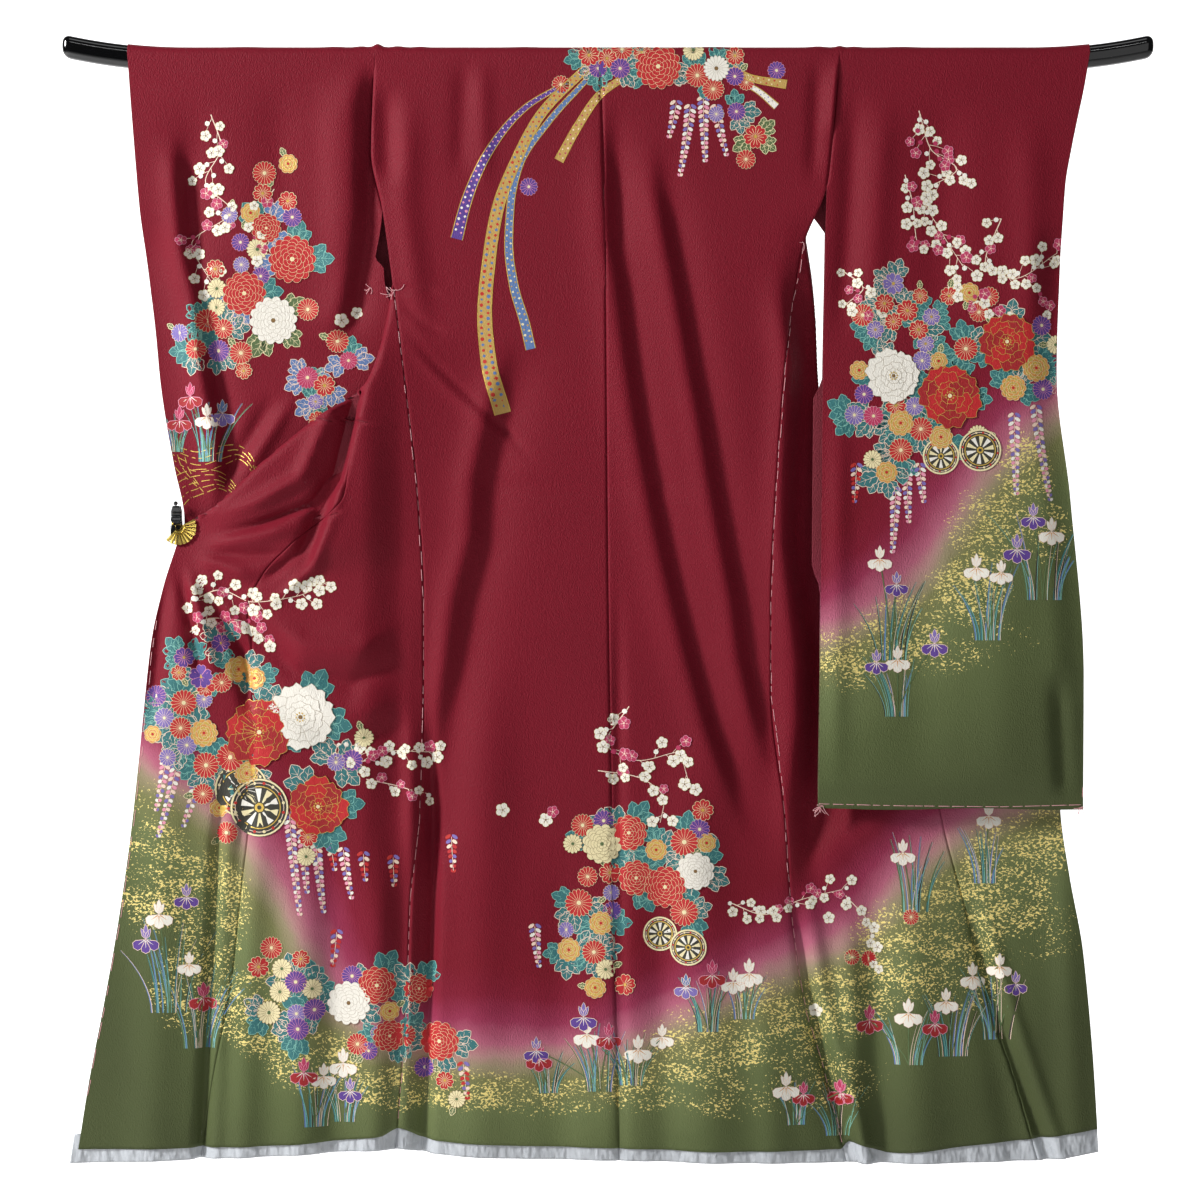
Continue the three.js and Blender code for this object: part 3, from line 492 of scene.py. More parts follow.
# The largest folds: a ridge (negative, towards the viewer) or a hollow along a line.
FOLDS = (
    Fold("hollow under the clip", ((-570, -700), (-470, -930)), 30, 9),
    Fold("ridge from the clip to the hem", ((-615, -740), (-650, -1600)), 34, -8),
    Fold("drape across the left front", ((-470, -860), (-320, -830)), 34, -7),
    Fold("left okumi fold", ((-500, -900), (-575, -1600)), 20, 8),
    Fold("left front hem fold", ((-430, -1150), (-440, -1600)), 36, -10),
    Fold("crease beside the left side seam", ((-252, -700), (-280, -1600)), 18, 10),
    Fold("back fold left", ((-170, -800), (-190, -1600)), 42, -9),
    Fold("back fold right", ((120, -900), (150, -1600)), 38, -9),
    Fold("crease beside the right side seam", ((282, -1290), (335, -1600)), 21, 8),
    Fold("right front hem fold", ((430, -1120), (450, -1600)), 36, -10),
    Fold("right okumi fold", ((500, -1120), (590, -1600)), 22, 7),
)
HEM_OF_SILK = Profile(
    (-754, -579, -326, -299, -260, -143, 3, 189, 333, 345, 405, 513, 606, 700),
    (
        -1554, -1552, -1537, -1526, -1542, -1550, -1554, -1559, -1558, -1547, -1562, -1552, -1543,
        -1529,
    ),
)
HEM_OF_FACING = Profile(
    (-754, -579, -326, -299, -260, -143, 3, 189, 333, 345, 405, 513, 606, 700),
    (
        -1574, -1569, -1557, -1556, -1562, -1569, -1572, -1576, -1577, -1577, -1577, -1576, -1574,
        -1562,
    ),
)
COLLAR = {
    Side.LEFT: CollarLines(
        z=(
            -762, -700, -664, -644, -618, -592, -566, -546, -524, -480, -400, -330, -240, -120, -8,
        ),
        out=(588, 566, 562, 505, 435, 362, 300, 262, 216, 162, 148, 144, 106, 66, 48),
        foot=(
            -752, -726, -700, -690, -662, -636, -604, -590, -562, -500, -404, -316, -222, -106, -62,
        ),
        depth=(-9, -9.5, -12, -17, -22, -21, -2, 12, 18, 19, 19, 19, 18.5, 18, 17),
    ),
    Side.RIGHT: CollarLines(
        z=(-733, -710, -670, -590, -500, -410, -330, -240, -120, -8),
        out=(604, 540, 434, 282, 190, 156, 144, 106, 66, 48),
        foot=(-786, -762, -716, -628, -528, -420, -320, -222, -106, -62),
        depth=(31, 33, 33, 28, 21, 19, 19, 18.5, 18, 17),
    ),
}
# Ridges of the cloth on top of the rod: place, width and height.
SHOULDER_RIDGES = (
    (-329.0, 7.0, 5.0), (-352.0, 9.0, 1.6), (-300.0, 10.0, 1.8), (-268.0, 9.0, 1.2),
    (-390.0, 14.0, 1.0), (-520.0, 24.0, 0.6), (300.0, 12.0, 1.4), (331.0, 6.0, 2.2),
    (352.0, 9.0, 1.2), (420.0, 20.0, 0.8), (-120.0, 20.0, 0.6), (150.0, 22.0, 0.7),
)  # fmt: skip
NEAREST = -47.0  # folds beyond this depth are pressed together within the reach below
NEAREST_REACH = 9.0

# How far a sleeve's open inner edge is tucked behind the body, on its near and its far wall.
TUCKED = {
    (Side.LEFT, True): Profile((20, -282, -300, -420, -560, -620, -1080), (0, 0, 15, 24, 20, 0, 0)),
    (Side.LEFT, False): Profile(
        (20, -190, -225, -430, -600, -660, -1080), (0, 0, 42, 44, 20, 0, 0),
    ),
    (Side.RIGHT, True): Profile((20, -1080), (0, 0)),
    (Side.RIGHT, False): Profile(
        (20, -150, -185, -226, -240, -462, -480, -720, -760, -1080),
        (0, 0, 24, 20, 0, 0, 12, 12, 0, 0),
    ),
}

# Softer folds that the cloth also has.
SMALL_FOLDS = (
    Fold("hollow under the nape", ((4, -60), (10, -330)), 14, 5.2),
    Fold("right of the left armhole", ((-318, -30), (-312, -190)), 16, 7.8),
    Fold("light band by the left armhole", ((-285, -30), (-290, -210), (-262, -420)), 20, -6.5),
    Fold("crease from the left underarm", ((-306, -324), (-250, -334), (-236, -338)), 4.5, 3.2),
    Fold("second crease", ((-300, -340), (-262, -380), (-226, -396)), 4.5, 3.0),
    Fold(
        "long crease",
        ((-297, -378), (-247, -438), (-192, -489), (-132, -545), (-92, -592)),
        4.5, 3.6,
    ),
    Fold("ridge by the long crease", ((-290, -396), (-240, -456), (-150, -545)), 9, -2.5),
    Fold("under the rod, left", ((-205, 10), (-212, -180)), 13, 4),
    Fold("under the rod, beside it", ((-180, 10), (-176, -200)), 12, -3.5),
    Fold("under the rod, right", ((330, 10), (316, -120)), 9, -5),
    Fold("under the rod, far right", ((300, 10), (292, -190)), 10, 5),
    Fold(
        "swag: edge",
        ((-369, -558), (-392, -658), (-418, -724), (-460, -764), (-509, -781)),
        8, -8,
    ),
    Fold(
        "swag: hollow outside it",
        ((-386, -543), (-412, -646), (-438, -704), (-480, -738), (-526, -758)),
        8, 9,
    ),
    Fold("cowl: ridge", ((-495, -789), (-432, -835), (-358, -847), (-286, -798)), 15, -6),
    Fold("cowl: hollow", ((-512, -812), (-446, -872), (-366, -892), (-283, -851)), 13, 9),
    Fold("low cowl: ridge", ((-455, -915), (-369, -938), (-280, -901)), 18, -5),
    Fold("low cowl: hollow", ((-446, -955), (-366, -980), (-277, -947)), 16, 6),
    Fold(
        "clip: upper ridge",
        ((-586, -665), (-498, -633), (-436, -598), (-399, -515), (-362, -432), (-320, -355)),
        9, -12,
    ),
    Fold(
        "clip: upper hollow",
        ((-586, -686), (-495, -664), (-423, -636), (-382, -601), (-365, -522), (-346, -446)),
        7, 13,
    ),
    Fold("clip: middle ridge", ((-583, -694), (-495, -682), (-429, -665)), 10, -7),
    Fold("clip: lower hollow", ((-586, -702), (-512, -709), (-440, -705)), 8, 8),
    Fold("clip: lower ridge", ((-590, -706), (-500, -742)), 9, -8.1),
    Fold("clip: dark fold", ((-604, -704), (-568, -762), (-522, -842), (-506, -960)), 10, 17.55),
    Fold("clip: beside it", ((-596, -716), (-550, -782), (-498, -850)), 10, -12.15),
    Fold("clip: second fold", ((-612, -706), (-596, -790), (-574, -900)), 9, 12.15),
    Fold("clip: second ridge", ((-608, -710), (-582, -790), (-552, -900)), 10, -10.8),
    Fold("left front: outer hollow", ((-626, -720), (-636, -800), (-650, -960)), 10, 9.1),
    Fold("left front: lower ridge", ((-500, -1050), (-520, -1600)), 22, -7.8),
    Fold("left front: lower hollow", ((-395, -1000), (-390, -1600)), 26, 7.8),
    Fold("left front: by the side seam", ((-320, -1080), (-330, -1600)), 20, -7.8),
    Fold("right front: drape", ((420, -1060), (330, -1120), (290, -1180)), 30, -7.8),
    Fold("right front: outer ridge", ((650, -1060), (670, -1600)), 22, -6.5),
    Fold("right front: hollow", ((380, -1150), (392, -1600)), 24, 7.8),
    Fold("right front: inner ridge", ((340, -1200), (362, -1600)), 16, -7.8),
    Fold("back: hem hollow left", ((-60, -1100), (-70, -1600)), 34, 6.5),
    Fold("back: hem hollow right", ((70, -1100), (84, -1600)), 26, 6.5),
    Fold("back: hem ridge right", ((215, -1250), (240, -1600)), 24, -6.5),
    Fold("left okumi crease", ((-540, -960), (-556, -1120), (-581, -1560)), 7, 13),
    Fold("left okumi crease: ridge", ((-520, -960), (-536, -1120), (-560, -1560)), 10, -7),
    Fold("left side seam crease", ((-256, -880), (-248, -1180), (-262, -1560)), 8, 14),
    Fold("left side seam crease: ridge", ((-284, -880), (-276, -1180), (-288, -1560)), 11, -9),
    Fold("right side seam crease", ((262, -1180), (284, -1330), (348, -1560)), 8, 13),
    Fold("right side seam crease: ridge", ((282, -1160), (306, -1330), (370, -1560)), 11, -8),
    Fold("right okumi crease", ((510, -1180), (548, -1330), (622, -1560)), 7, 11),
    Fold("right okumi crease: ridge", ((532, -1180), (570, -1330), (644, -1560)), 9, -6),
    Fold("centre back: lower hollow", ((14, -700), (18, -1560)), 9, 5),
    Pleat(
        "first pleat in the right back",
        (
            (6, -43), (7, -186), (10, -257), (20, -343), (31, -429), (44, -515), (60, -601),
            (77, -686), (97, -772), (119, -858), (143, -944), (173, -1030), (203, -1130),
        ),
        step=10.5, steep=12, left=36, right=30,
    ),
    Pleat(
        "second pleat in the right back",
        (
            (67, -100), (74, -186), (87, -257), (104, -343), (119, -429), (136, -515), (150, -601),
            (166, -686), (183, -772), (194, -858), (214, -944), (236, -1044),
        ),
        step=10.5, steep=12, left=30, right=34,
    ),
    Pleat(
        "pleat beside the right side seam",
        (
            (249, -272), (256, -343), (269, -429), (265, -515), (260, -601), (259, -686),
            (270, -772), (282, -858), (282, -944), (272, -1058), (275, -1201),
        ),
        step=16, steep=15, left=30, right=60,
    ),
    Pleat(
        "pleat in the left back",
        (
            (-133, -386), (-164, -515), (-183, -601), (-187, -686), (-210, -772), (-223, -858),
            (-240, -944), (-253, -1030), (-263, -1115), (-273, -1201),
        ),
        step=13, steep=17, left=30, right=46,
    ),
    Pleat(
        "hanging fold",
        ((-315, -369), (-337, -429), (-359, -515), (-379, -601), (-409, -686), (-432, -744)),
        step=-14, steep=5, left=20, right=85,
    ),
    Fold("horizontal mark", ((-220, -610), (160, -608)), 16, 1.56),
)

SLEEVE_FOLDS = {
    Side.LEFT: (
        Pleat(
            "dark trough",
            (
                (-615, -100), (-603, -257), (-585, -343), (-576, -429), (-555, -515), (-549, -601),
                (-558, -644),
            ),
            step=13, steep=10, left=24, right=26,
        ),
        Pleat(
            "fall to the armhole",
            ((-346, 0), (-345, -114), (-349, -186), (-355, -257), (-368, -343), (-386, -415)),
            step=12, steep=11, left=40, right=30,
        ),
        Fold("gather at the clip", ((-470, -470), (-560, -620)), 11, 7, 0.4),
        Fold("ridge of the gather", ((-440, -470), (-530, -610)), 10, -6, 0.4),
        Fold("outer ridge", ((-575, -240), (-580, -560)), 18, -5.2),
        Fold("upper hollow", ((-600, -40), (-560, -330)), 30, 5.2),
        Fold("by the armhole", ((-352, -20), (-346, -230)), 13, 7.8),
        Fold("inner ridge", ((-392, -20), (-386, -330)), 22, -5.2),
        Fold("upper middle", ((-470, -20), (-470, -300)), 30, 3.9),
    ),
    Side.RIGHT: (
        Fold("by the armhole", ((352, -20), (345, -200), (330, -420)), 16, 6.5),
        Fold("inner ridge", ((395, -30), (372, -420)), 20, -5.2),
        Fold("middle hollow", ((480, -30), (470, -420)), 34, 5.2),
        Fold("outer ridge", ((600, -60), (606, -420)), 26, -5.2),
        Fold("outer hollow", ((640, -860), (655, -1090)), 15, 10.4),
        Fold("outer edge fold", ((668, -900), (676, -1090)), 10, -6.5),
        Fold("lower middle", ((450, -620), (440, -1090)), 40, 5.2),
        Fold("lower ridge", ((560, -640), (560, -1090)), 36, -3.9),
        Fold("inner edge", ((330, -430), (322, -1090)), 16, -5.2),
    ),
}

# ---------- The shape of the hanging cloth ----------


class Drape:
    """Depths of the hanging cloth, from the depth maps and the folds."""

    def __init__(self, folds: Sequence[Fold | Pleat]) -> None:
        """Take the folds of the cloth that faces the viewer."""
        self.folds = folds

    def pinched(self, x: Array, z: Array) -> Array:
        """How firmly the clip holds the cloth at places."""
        return bell(np.hypot(x - PINCH.x, z - PINCH.z) / PINCH.reach)

    def near(self, x: Array, z: Array) -> Array:
        """Depth of the body's cloth that faces the viewer.

        Args:
            x: Places' x.
            z: Places' z.

        Returns:
            The depths.
        """
        x, z = np.broadcast_arrays(np.asarray(x, float), np.asarray(z, float))
        depth = NEAR.at(x, z)
        for fold in self.folds:
            depth = depth + fold.depth(x, z)
        over = np.minimum(depth - NEAREST, 0)
        depth = np.maximum(depth, NEAREST) + NEAREST_REACH * np.tanh(over / NEAREST_REACH)
        return mix(depth, PINCH.near, self.pinched(x, z))

    def far(self, side: Side, out: Array, z: Array) -> Array:
        """Depth of the body's far layer, behind the back.

        Args:
            side: The side.
            out: Distances from the centre line.
            z: Heights.

        Returns:
            The depths.
        """
        out, z = np.broadcast_arrays(np.asarray(out, float), np.asarray(z, float))
        return mix(FAR[side].at(out, z), PINCH.far, self.pinched(side.value * out, z))


class FrontSection:
    """Cross-section of one front at a height, from its side edge to its free edge."""

    RUN = 70
    TURN = 16

    def __init__(self, drape: Drape, side: Side, z: float) -> None:
        """Lay out the section: outwards on the near layer, round the roll and back behind."""
        edge = float(SIDE_EDGE[side].at(z))
        end = float(FREE_EDGE[side].at(z))
        if z > UNDERARM[side]:
            self._fit([self._hanging(drape, side, z, edge, end)], side, z)
        elif z > ROLL_FOOT[side]:
            self._fit(self._rolled(drape, side, z, edge, end), side, z)
        else:
            out = np.linspace(edge, end, self.RUN)
            self._fit([(out, drape.near(side.value * out, z))], side, z)

    def _hanging(
        self, drape: Drape, side: Side, z: float, edge: float, end: float
    ) -> tuple[Array, Array]:
        """The far layer above the underarm, which meets the back at the sleeve seam."""
        out = np.linspace(edge, end, self.RUN)
        slit = ease((ARMHOLE_FOOT[side] - z) / (ARMHOLE_FOOT[side] - UNDERARM[side]))
        seam = mix(drape.far(side, edge, z), drape.near(side.value * edge, z), slit)
        by_seam = ease((out - edge + ARMHOLE_BEND) / ARMHOLE_BEND)
        return out, mix(drape.far(side, out, z), seam, by_seam)

    def _rolled(
        self, drape: Drape, side: Side, z: float, edge: float, end: float
    ) -> list[tuple[Array, Array]]:
        """The near layer, the roll and the layer behind it."""
        roll = float(ROLL[side].at(z))
        turn = ease((z - ROLL_FOOT[side]) / ROLL_FADE)
        radius = min(ROLL_RADIUS * turn, roll - edge - 0.5)
        turn_at = roll - radius
        near = np.linspace(edge, turn_at, self.RUN)
        back = np.linspace(turn_at, min(end, turn_at - 0.5), self.RUN)
        near_depth = drape.near(side.value * near, z)
        back_depth = mix(drape.near(side.value * back, z), drape.far(side, back, z), turn)
        angle = np.linspace(0, math.pi, self.TURN)[1:-1]
        round_depth = mix(near_depth[-1], back_depth[0], (1 - np.cos(angle)) / 2)
        bend = (turn_at + radius * np.sin(angle), round_depth)
        return [(near, near_depth), bend, (back, back_depth)]

    def _fit(self, runs: Sequence[tuple[Array, Array]], side: Side, z: float) -> None:
        """Join the runs and measure along them."""
        self.out = np.concatenate([run[0] for run in runs])
        self.y = np.concatenate([run[1] for run in runs])
        self.side = side
        self.z = z
        steps = np.hypot(np.diff(self.out), np.diff(self.y))
        self.passed = np.concatenate([[0.0], np.cumsum(steps)])
        self.total = float(self.passed[-1])

    def share_at(self, out: float) -> float:
        """The share of the length at which the near layer passes a distance out."""
        first = int(np.argmax(self.out >= out))
        inner, outer = self.out[first - 1], self.out[first]
        part = (out - inner) / (outer - inner)
        return float(mix(self.passed[first - 1], self.passed[first], part)) / self.total

    def at(self, share: Array) -> Array:
        """Points at shares of the section's length, one row of x, y and z each."""
        length = np.clip(share, 0, 1) * self.total
        out = np.interp(length, self.passed, self.out)
        y = np.interp(length, self.passed, self.y)
        return np.stack([self.side.value * out, y, np.full_like(out, self.z)], -1)


def okumi_share(section: FrontSection) -> float:
    """Share of a front's section at which its okumi seam lies."""
    table = OKUMI_SHARE[section.side]
    if section.z > table.keys[-1]:
        return float(table.at(section.z))
    return section.share_at(float(OKUMI_SEAM[section.side].at(section.z)))


def hemmed(points: Array) -> Array:
    """Apply the hem's own line to the heights of points near it."""
    shift = HEM_OF_SILK.at(points[..., 0]) - HEM_LEVEL
    z = points[..., 2]
    moved = points.copy()
    moved[..., 2] = z + shift * ease((HEM_LEVEL + HEM_ZONE - z) / HEM_ZONE)
    return moved


def rod_rise(x: Array) -> Array:
    """Rise of the rod's axis, and of the cloth on it, towards the ends."""
    return np.maximum(0, np.abs(x) - ROD_STRAIGHT) ** 2 / (2 * ROD_BEND)


def steps(start: float, end: float, spacing: float) -> Array:
    """Values from start to end at about even steps."""
    return np.linspace(start, end, max(1, round(abs(end - start) / spacing)) + 1)


def shares(width: float, spacing: float) -> Array:
    """Even shares of a width, with narrow columns at both edges for the turned-in seams."""
    edge = np.array(SEAM_COLUMNS) / width
    inside = steps(edge[-1], 1 - edge[-1], spacing / width)
    return np.concatenate([edge[:-1], inside, (1 - edge[:-1])[::-1]])


def seam_dip(share: Array, width: float, left: bool, right: bool) -> Array:
    """Depth by which the cloth turns in at its sewn edges.

    Args:
        share: Shares of the width.
        width: The panel's width.
        left: Whether the edge at share 0 is sewn.
        right: Whether the edge at share 1 is sewn.

    Returns:
        Depths, largest at the seams.
    """
    dip = np.zeros_like(share)
    for sewn, distance in ((left, share * width), (right, (1 - share) * width)):
        if sewn:
            dip = dip + SEAM_DIP * bell(distance / SEAM_WIDE)
    return dip


# ---------- Shells of cloth ----------


@dataclass
class Shell:
    """A grid of points over a sheet of cloth, row by row, with what its dye needs.

    Args:
        name: The piece's name.
        grid: Points, as rows by columns by three.
        thick: The cloth's thickness.
        facing: 1 where the outer side is the one that rows cross columns give, otherwise -1.
        marks: Values at the points that the finish reads, by name.
    """

    name: str
    grid: Array
    thick: float = CLOTH
    facing: float = 1.0
    marks: dict[str, Array] = field(default_factory=dict)

    def normals(self) -> Array:
        """Unit normals of the grid on its outer side."""
        down = np.gradient(self.grid, axis=0)
        across = np.gradient(self.grid, axis=1)
        normal = np.cross(across, down)
        length = np.maximum(np.linalg.norm(normal, axis=-1, keepdims=True), 1e-9)
        return normal / length * self.facing

    def near_faces(self) -> tuple[Array, Array]:
        """Points and quads of the face that the viewer sees, for laying the pattern on.

        Returns:
            Points in millimetres and quads.
        """
        face = self.grid + self.normals() * self.thick / 2
        rows, columns = self.grid.shape[:2]
        return face.reshape(-1, 3), grid_quads(rows, columns)

    def build(self, face: bpy.types.Material, reverse: bpy.types.Material) -> bpy.types.Object:
        """Make the closed wall.

        Args:
            face: Finish of the outer side.
            reverse: Finish of the inner side.

        Returns:
            The mesh object.
        """
        rows, columns = self.grid.shape[:2]
        half = self.normals() * self.thick / 2
        outer = (self.grid + half).reshape(-1, 3)
        inner = (self.grid - half).reshape(-1, 3)
        count = rows * columns
        quads = grid_quads(rows, columns)
        rim = rim_quads(rows, columns, count)
        if self.facing < 0:
            quads, rim = quads[:, ::-1], rim[:, ::-1]
        faces = np.concatenate([quads, quads[:, ::-1] + count, rim])
        mesh = bpy.data.meshes.new(self.name)
        mesh.from_pydata((np.concatenate([outer, inner]) * MM).tolist(), [], faces.tolist())
        for name, values in self.marks.items():
            store = mesh.attributes.new(name, "FLOAT", "POINT")
            store.data.foreach_set("value", np.tile(values.ravel(), 2).astype(np.float32))
        self._unwrap(mesh)
        mesh.materials.append(face)
        mesh.materials.append(reverse)
        slots = np.zeros(len(faces), np.int32)
        slots[len(quads) : 2 * len(quads)] = 1
        mesh.polygons.foreach_set("material_index", slots)
        mesh.polygons.foreach_set("use_smooth", np.ones(len(faces), bool))
        mesh.update()
        piece = bpy.data.objects.new(self.name, mesh)
        bpy.context.scene.collection.objects.link(piece)
        return piece

    def _unwrap(self, mesh: bpy.types.Mesh) -> None:
        """Lay both sides flat, side by side, on a UV map."""
        layer = mesh.uv_layers.new(name="OFBake")
        lengths = np.linalg.norm(np.diff(self.grid, axis=0), axis=-1).mean(1)
        down = np.concatenate([[0.0], np.cumsum(lengths)]) / max(lengths.sum(), 1e-9)
        widths = np.linalg.norm(np.diff(self.grid, axis=1), axis=-1).mean(0)
        over = np.concatenate([[0.0], np.cumsum(widths)]) / max(widths.sum(), 1e-9)
        u, v = np.meshgrid(over, down)
        flat = np.stack([FLAT_WIDTH * u, FLAT_HEIGHT * v], -1).reshape(-1, 2) + FLAT_MARGIN
        both = np.concatenate([flat, flat + (FLAT_STEP, 0.0)])
        corners = np.zeros(len(mesh.loops), np.int32)
        mesh.loops.foreach_get("vertex_index", corners)
        layer.data.foreach_set("uv", both[corners].ravel().astype(np.float32))


def grid_quads(rows: int, columns: int) -> Array:
    """Quads of a grid of points."""
    index = np.arange(rows * columns).reshape(rows, columns)
    return np.stack(
        [index[:-1, :-1], index[:-1, 1:], index[1:, 1:], index[1:, :-1]], -1
    ).reshape(-1, 4)


def rim_quads(rows: int, columns: int, count: int) -> Array:
    """Quads that close the edge between two grids of points, the second `count` further on."""
    index = np.arange(rows * columns).reshape(rows, columns)
    loop = np.concatenate([index[0], index[1:, -1], index[-1, -2::-1], index[-2:0:-1, 0]])
    following = np.roll(loop, -1)
    return np.stack([loop, loop + count, following + count, following], -1)


# ---------- The garment's pieces ----------


@dataclass
class Body:
    """One length of silk on each side, from the back hem over the rod to the front hem."""

    drape: Drape
    side: Side
    spacing: float = 5.5
    far_spacing: float = 14.0
    turn_steps: int = 12

    def _centre(self, z: Array) -> Array:
        """Distance of the centre seam out from the centre line."""
        return CENTRE_SEAM.at(z) * self.side.value

    def back(self) -> Array:
        """Grid of the back panel, from the hem up to the crest of the rod."""
        z = steps(HEM_LEVEL, CREST, self.spacing)[:, None]
        share = shares(BODY_WIDTH, self.spacing)[None, :]
        x = self.side.value * mix(self._centre(z), SIDE_EDGE[self.side].at(z), share)
        below_rod = ease((CREST - z) / ROD_FADE)
        open_slit = (z > UNDERARM[self.side]) & (z < ARMHOLE_FOOT[self.side])
        dip = seam_dip(share, BODY_WIDTH, True, True) * below_rod
        dip = dip * np.where(open_slit, OPEN_DIP, 1.0)
        y = self.drape.near(x, z + 0 * x) + dip
        return hemmed(np.stack([x, y, z + 0 * x], -1))

    def over(self) -> Array:
        """Grid of the cloth over the rod, without the rows at its two crest lines."""
        angle = np.linspace(0, math.pi, self.turn_steps + 1)[1:-1, None]
        share = shares(BODY_WIDTH, self.spacing)[None, :]
        edge = SIDE_EDGE[self.side].at(CREST)
        x = self.side.value * mix(self._centre(CREST), edge, share) + 0 * angle
        lift = shoulder_lift(x)
        y = -OVER_ROD * np.cos(angle) + 0 * x
        return np.stack([x, y, CREST + (OVER_ROD + lift) * np.sin(angle)], -1)

    def front(self) -> Array:
        """Grid of the front panel, from the crest down behind and then to its hem."""
        share = shares(BODY_WIDTH, self.spacing)
        edge = float(SIDE_EDGE[self.side].at(CREST))
        x = self.side.value * mix(float(self._centre(CREST)), edge, share)
        behind = np.full_like(x, OVER_ROD)
        rows = [np.stack([x, behind, np.full_like(x, z)], -1) for z in (CREST, 0)]
        upper = steps(SHOULDER, UNDERARM[self.side], self.far_spacing)
        lower = steps(UNDERARM[self.side], HEM_LEVEL, self.spacing)[1:]
        for z in [*upper, *lower]:
            section = FrontSection(self.drape, self.side, float(z))
            inner = okumi_share(section)
            points = section.at((1 - share) * inner)
            if z < UNDERARM[self.side]:
                dip = seam_dip(share, BODY_WIDTH, bool(z < OKUMI_TOP), True)
                points[:, 1] += dip * (1 if z < ROLL_FOOT[self.side] + ROLL_FADE else ROLLED_DIP)
            rows.append(points)
        return hemmed(np.stack(rows))

    def shell(self) -> Shell:
        """The whole length of cloth."""
        back, over, front = self.back(), self.over(), self.front()
        grid = np.concatenate([back, over, front])
        facing = float(self.side.value)
        return Shell(f"silk_body_{self.side.label}", grid, facing=facing, marks=dye_marks(grid))


@dataclass
class Okumi:
    """The tapering strip between a front and its free edge."""

    drape: Drape
    side: Side
    spacing: float = 5.5

    def shell(self) -> Shell:
        """The strip, from where it shows at the roll down to the hem."""
        share = shares(OKUMI_WIDTH, self.spacing)
        rows = []
        for z in steps(OKUMI_TOP - 4, HEM_LEVEL, self.spacing):
            section = FrontSection(self.drape, self.side, float(z))
            points = section.at(mix(okumi_share(section), 1, share))
            points[:, 1] += seam_dip(share, OKUMI_WIDTH, True, False)
            rows.append(points)
        grid = hemmed(np.stack(rows))
        facing = -float(self.side.value)
        return Shell(f"silk_okumi_{self.side.label}", grid, facing=facing, marks=dye_marks(grid))


@dataclass
class Sleeve:
    """One length of silk folded over the rod, sewn below and at its outer edge."""

    side: Side
    folds: Sequence[Fold | Pleat]
    spacing: float = 5.5
    far_spacing: float = 14.0
    turn_steps: int = 12

    def _place(self, share: Array, z: Array, near: bool) -> Array:
        """Points of one wall of the sleeve."""
        lines = SLEEVE[self.side]
        edge = SIDE_EDGE[self.side].at(z)
        loose = lines.at("inner", z) - TUCKED[self.side, near].at(z)
        inner = np.where(z > ARMHOLE_FOOT[self.side], edge, loose)
        outer = lines.at("outer", z)
        out = mix(inner, outer, share)
        x = self.side.value * out
        sewn_out = ease(1 - (outer - out) / SEAM_BEND) * ease((CUFF_FOOT - z) / SEAM_START)
        sewn_below = ease(1 - (z - SLEEVE_FOOT) / SEAM_BEND)
        middle = mix((lines.at("near", z) + lines.at("far", z)) / 2, lines.at("seam", z), sewn_out)
        closed = 1 - (1 - sewn_out) * (1 - sewn_below)
        depth = lines.at("near" if near else "far", z) + 0 * x
        if near:
            for fold in self.folds:
                depth = depth + fold.depth(x, z + 0 * x)
        inwards = 1 if near else -1
        seam = middle - inwards * (CLOTH / 2 + SEAM_GAP)
        joined = (z > ARMHOLE_FOOT[self.side]) & (z < CREST - ROD_CLEAR)
        dip = seam_dip(share + 0 * z, SEWN_SLEEVE_WIDTH, True, False)
        depth = mix(depth, seam, closed) + inwards * dip * np.where(joined, 1.0, 0.0)
        rise = rod_rise(x) * ease(1 + z / RISE_FADE)
        by_foot = ease(1 - (z - SLEEVE_FOOT) / SLEEVE_HEM_WAVE_FADE)
        wave = SLEEVE_HEM_WAVE * np.sin(x / SLEEVE_HEM_WAVE_LENGTH) * by_foot
        return np.stack([x, depth, z + rise + wave], -1)

    def shell(self) -> Shell:
        """The whole sleeve."""
        share = shares(SLEEVE_WIDTH, self.spacing)[None, :]
        near = steps(SLEEVE_FOOT, CREST, self.spacing)[:, None]
        angle = np.linspace(0, math.pi, self.turn_steps + 1)[1:-1, None]
        far = steps(CREST, SLEEVE_FOOT, self.far_spacing)[:, None]
        edge = SIDE_EDGE[self.side].at(CREST)
        x = self.side.value * mix(edge, SLEEVE[self.side].at("outer", CREST), share) + 0 * angle
        lift = shoulder_lift(x)
        y = -OVER_ROD * np.cos(angle) + 0 * x
        over = np.stack([x, y, CREST + (OVER_ROD + lift) * np.sin(angle) + rod_rise(x)], -1)
        grid = np.concatenate(
            [self._place(share, near, True), over, self._place(share, far, False)]
        )
        marks = sleeve_dye_marks(grid, self.side)
        facing = float(self.side.value)
        return Shell(f"silk_sleeve_{self.side.label}", grid, facing=facing, marks=marks)


def shoulder_lift(x: Array) -> Array:
    """Small folds of the cloth that stand up on top of the rod."""
    lift = np.zeros_like(np.asarray(x, float))
    for place, wide, high in SHOULDER_RIDGES:
        lift = lift + high * bell((x - place) / wide)
    return lift


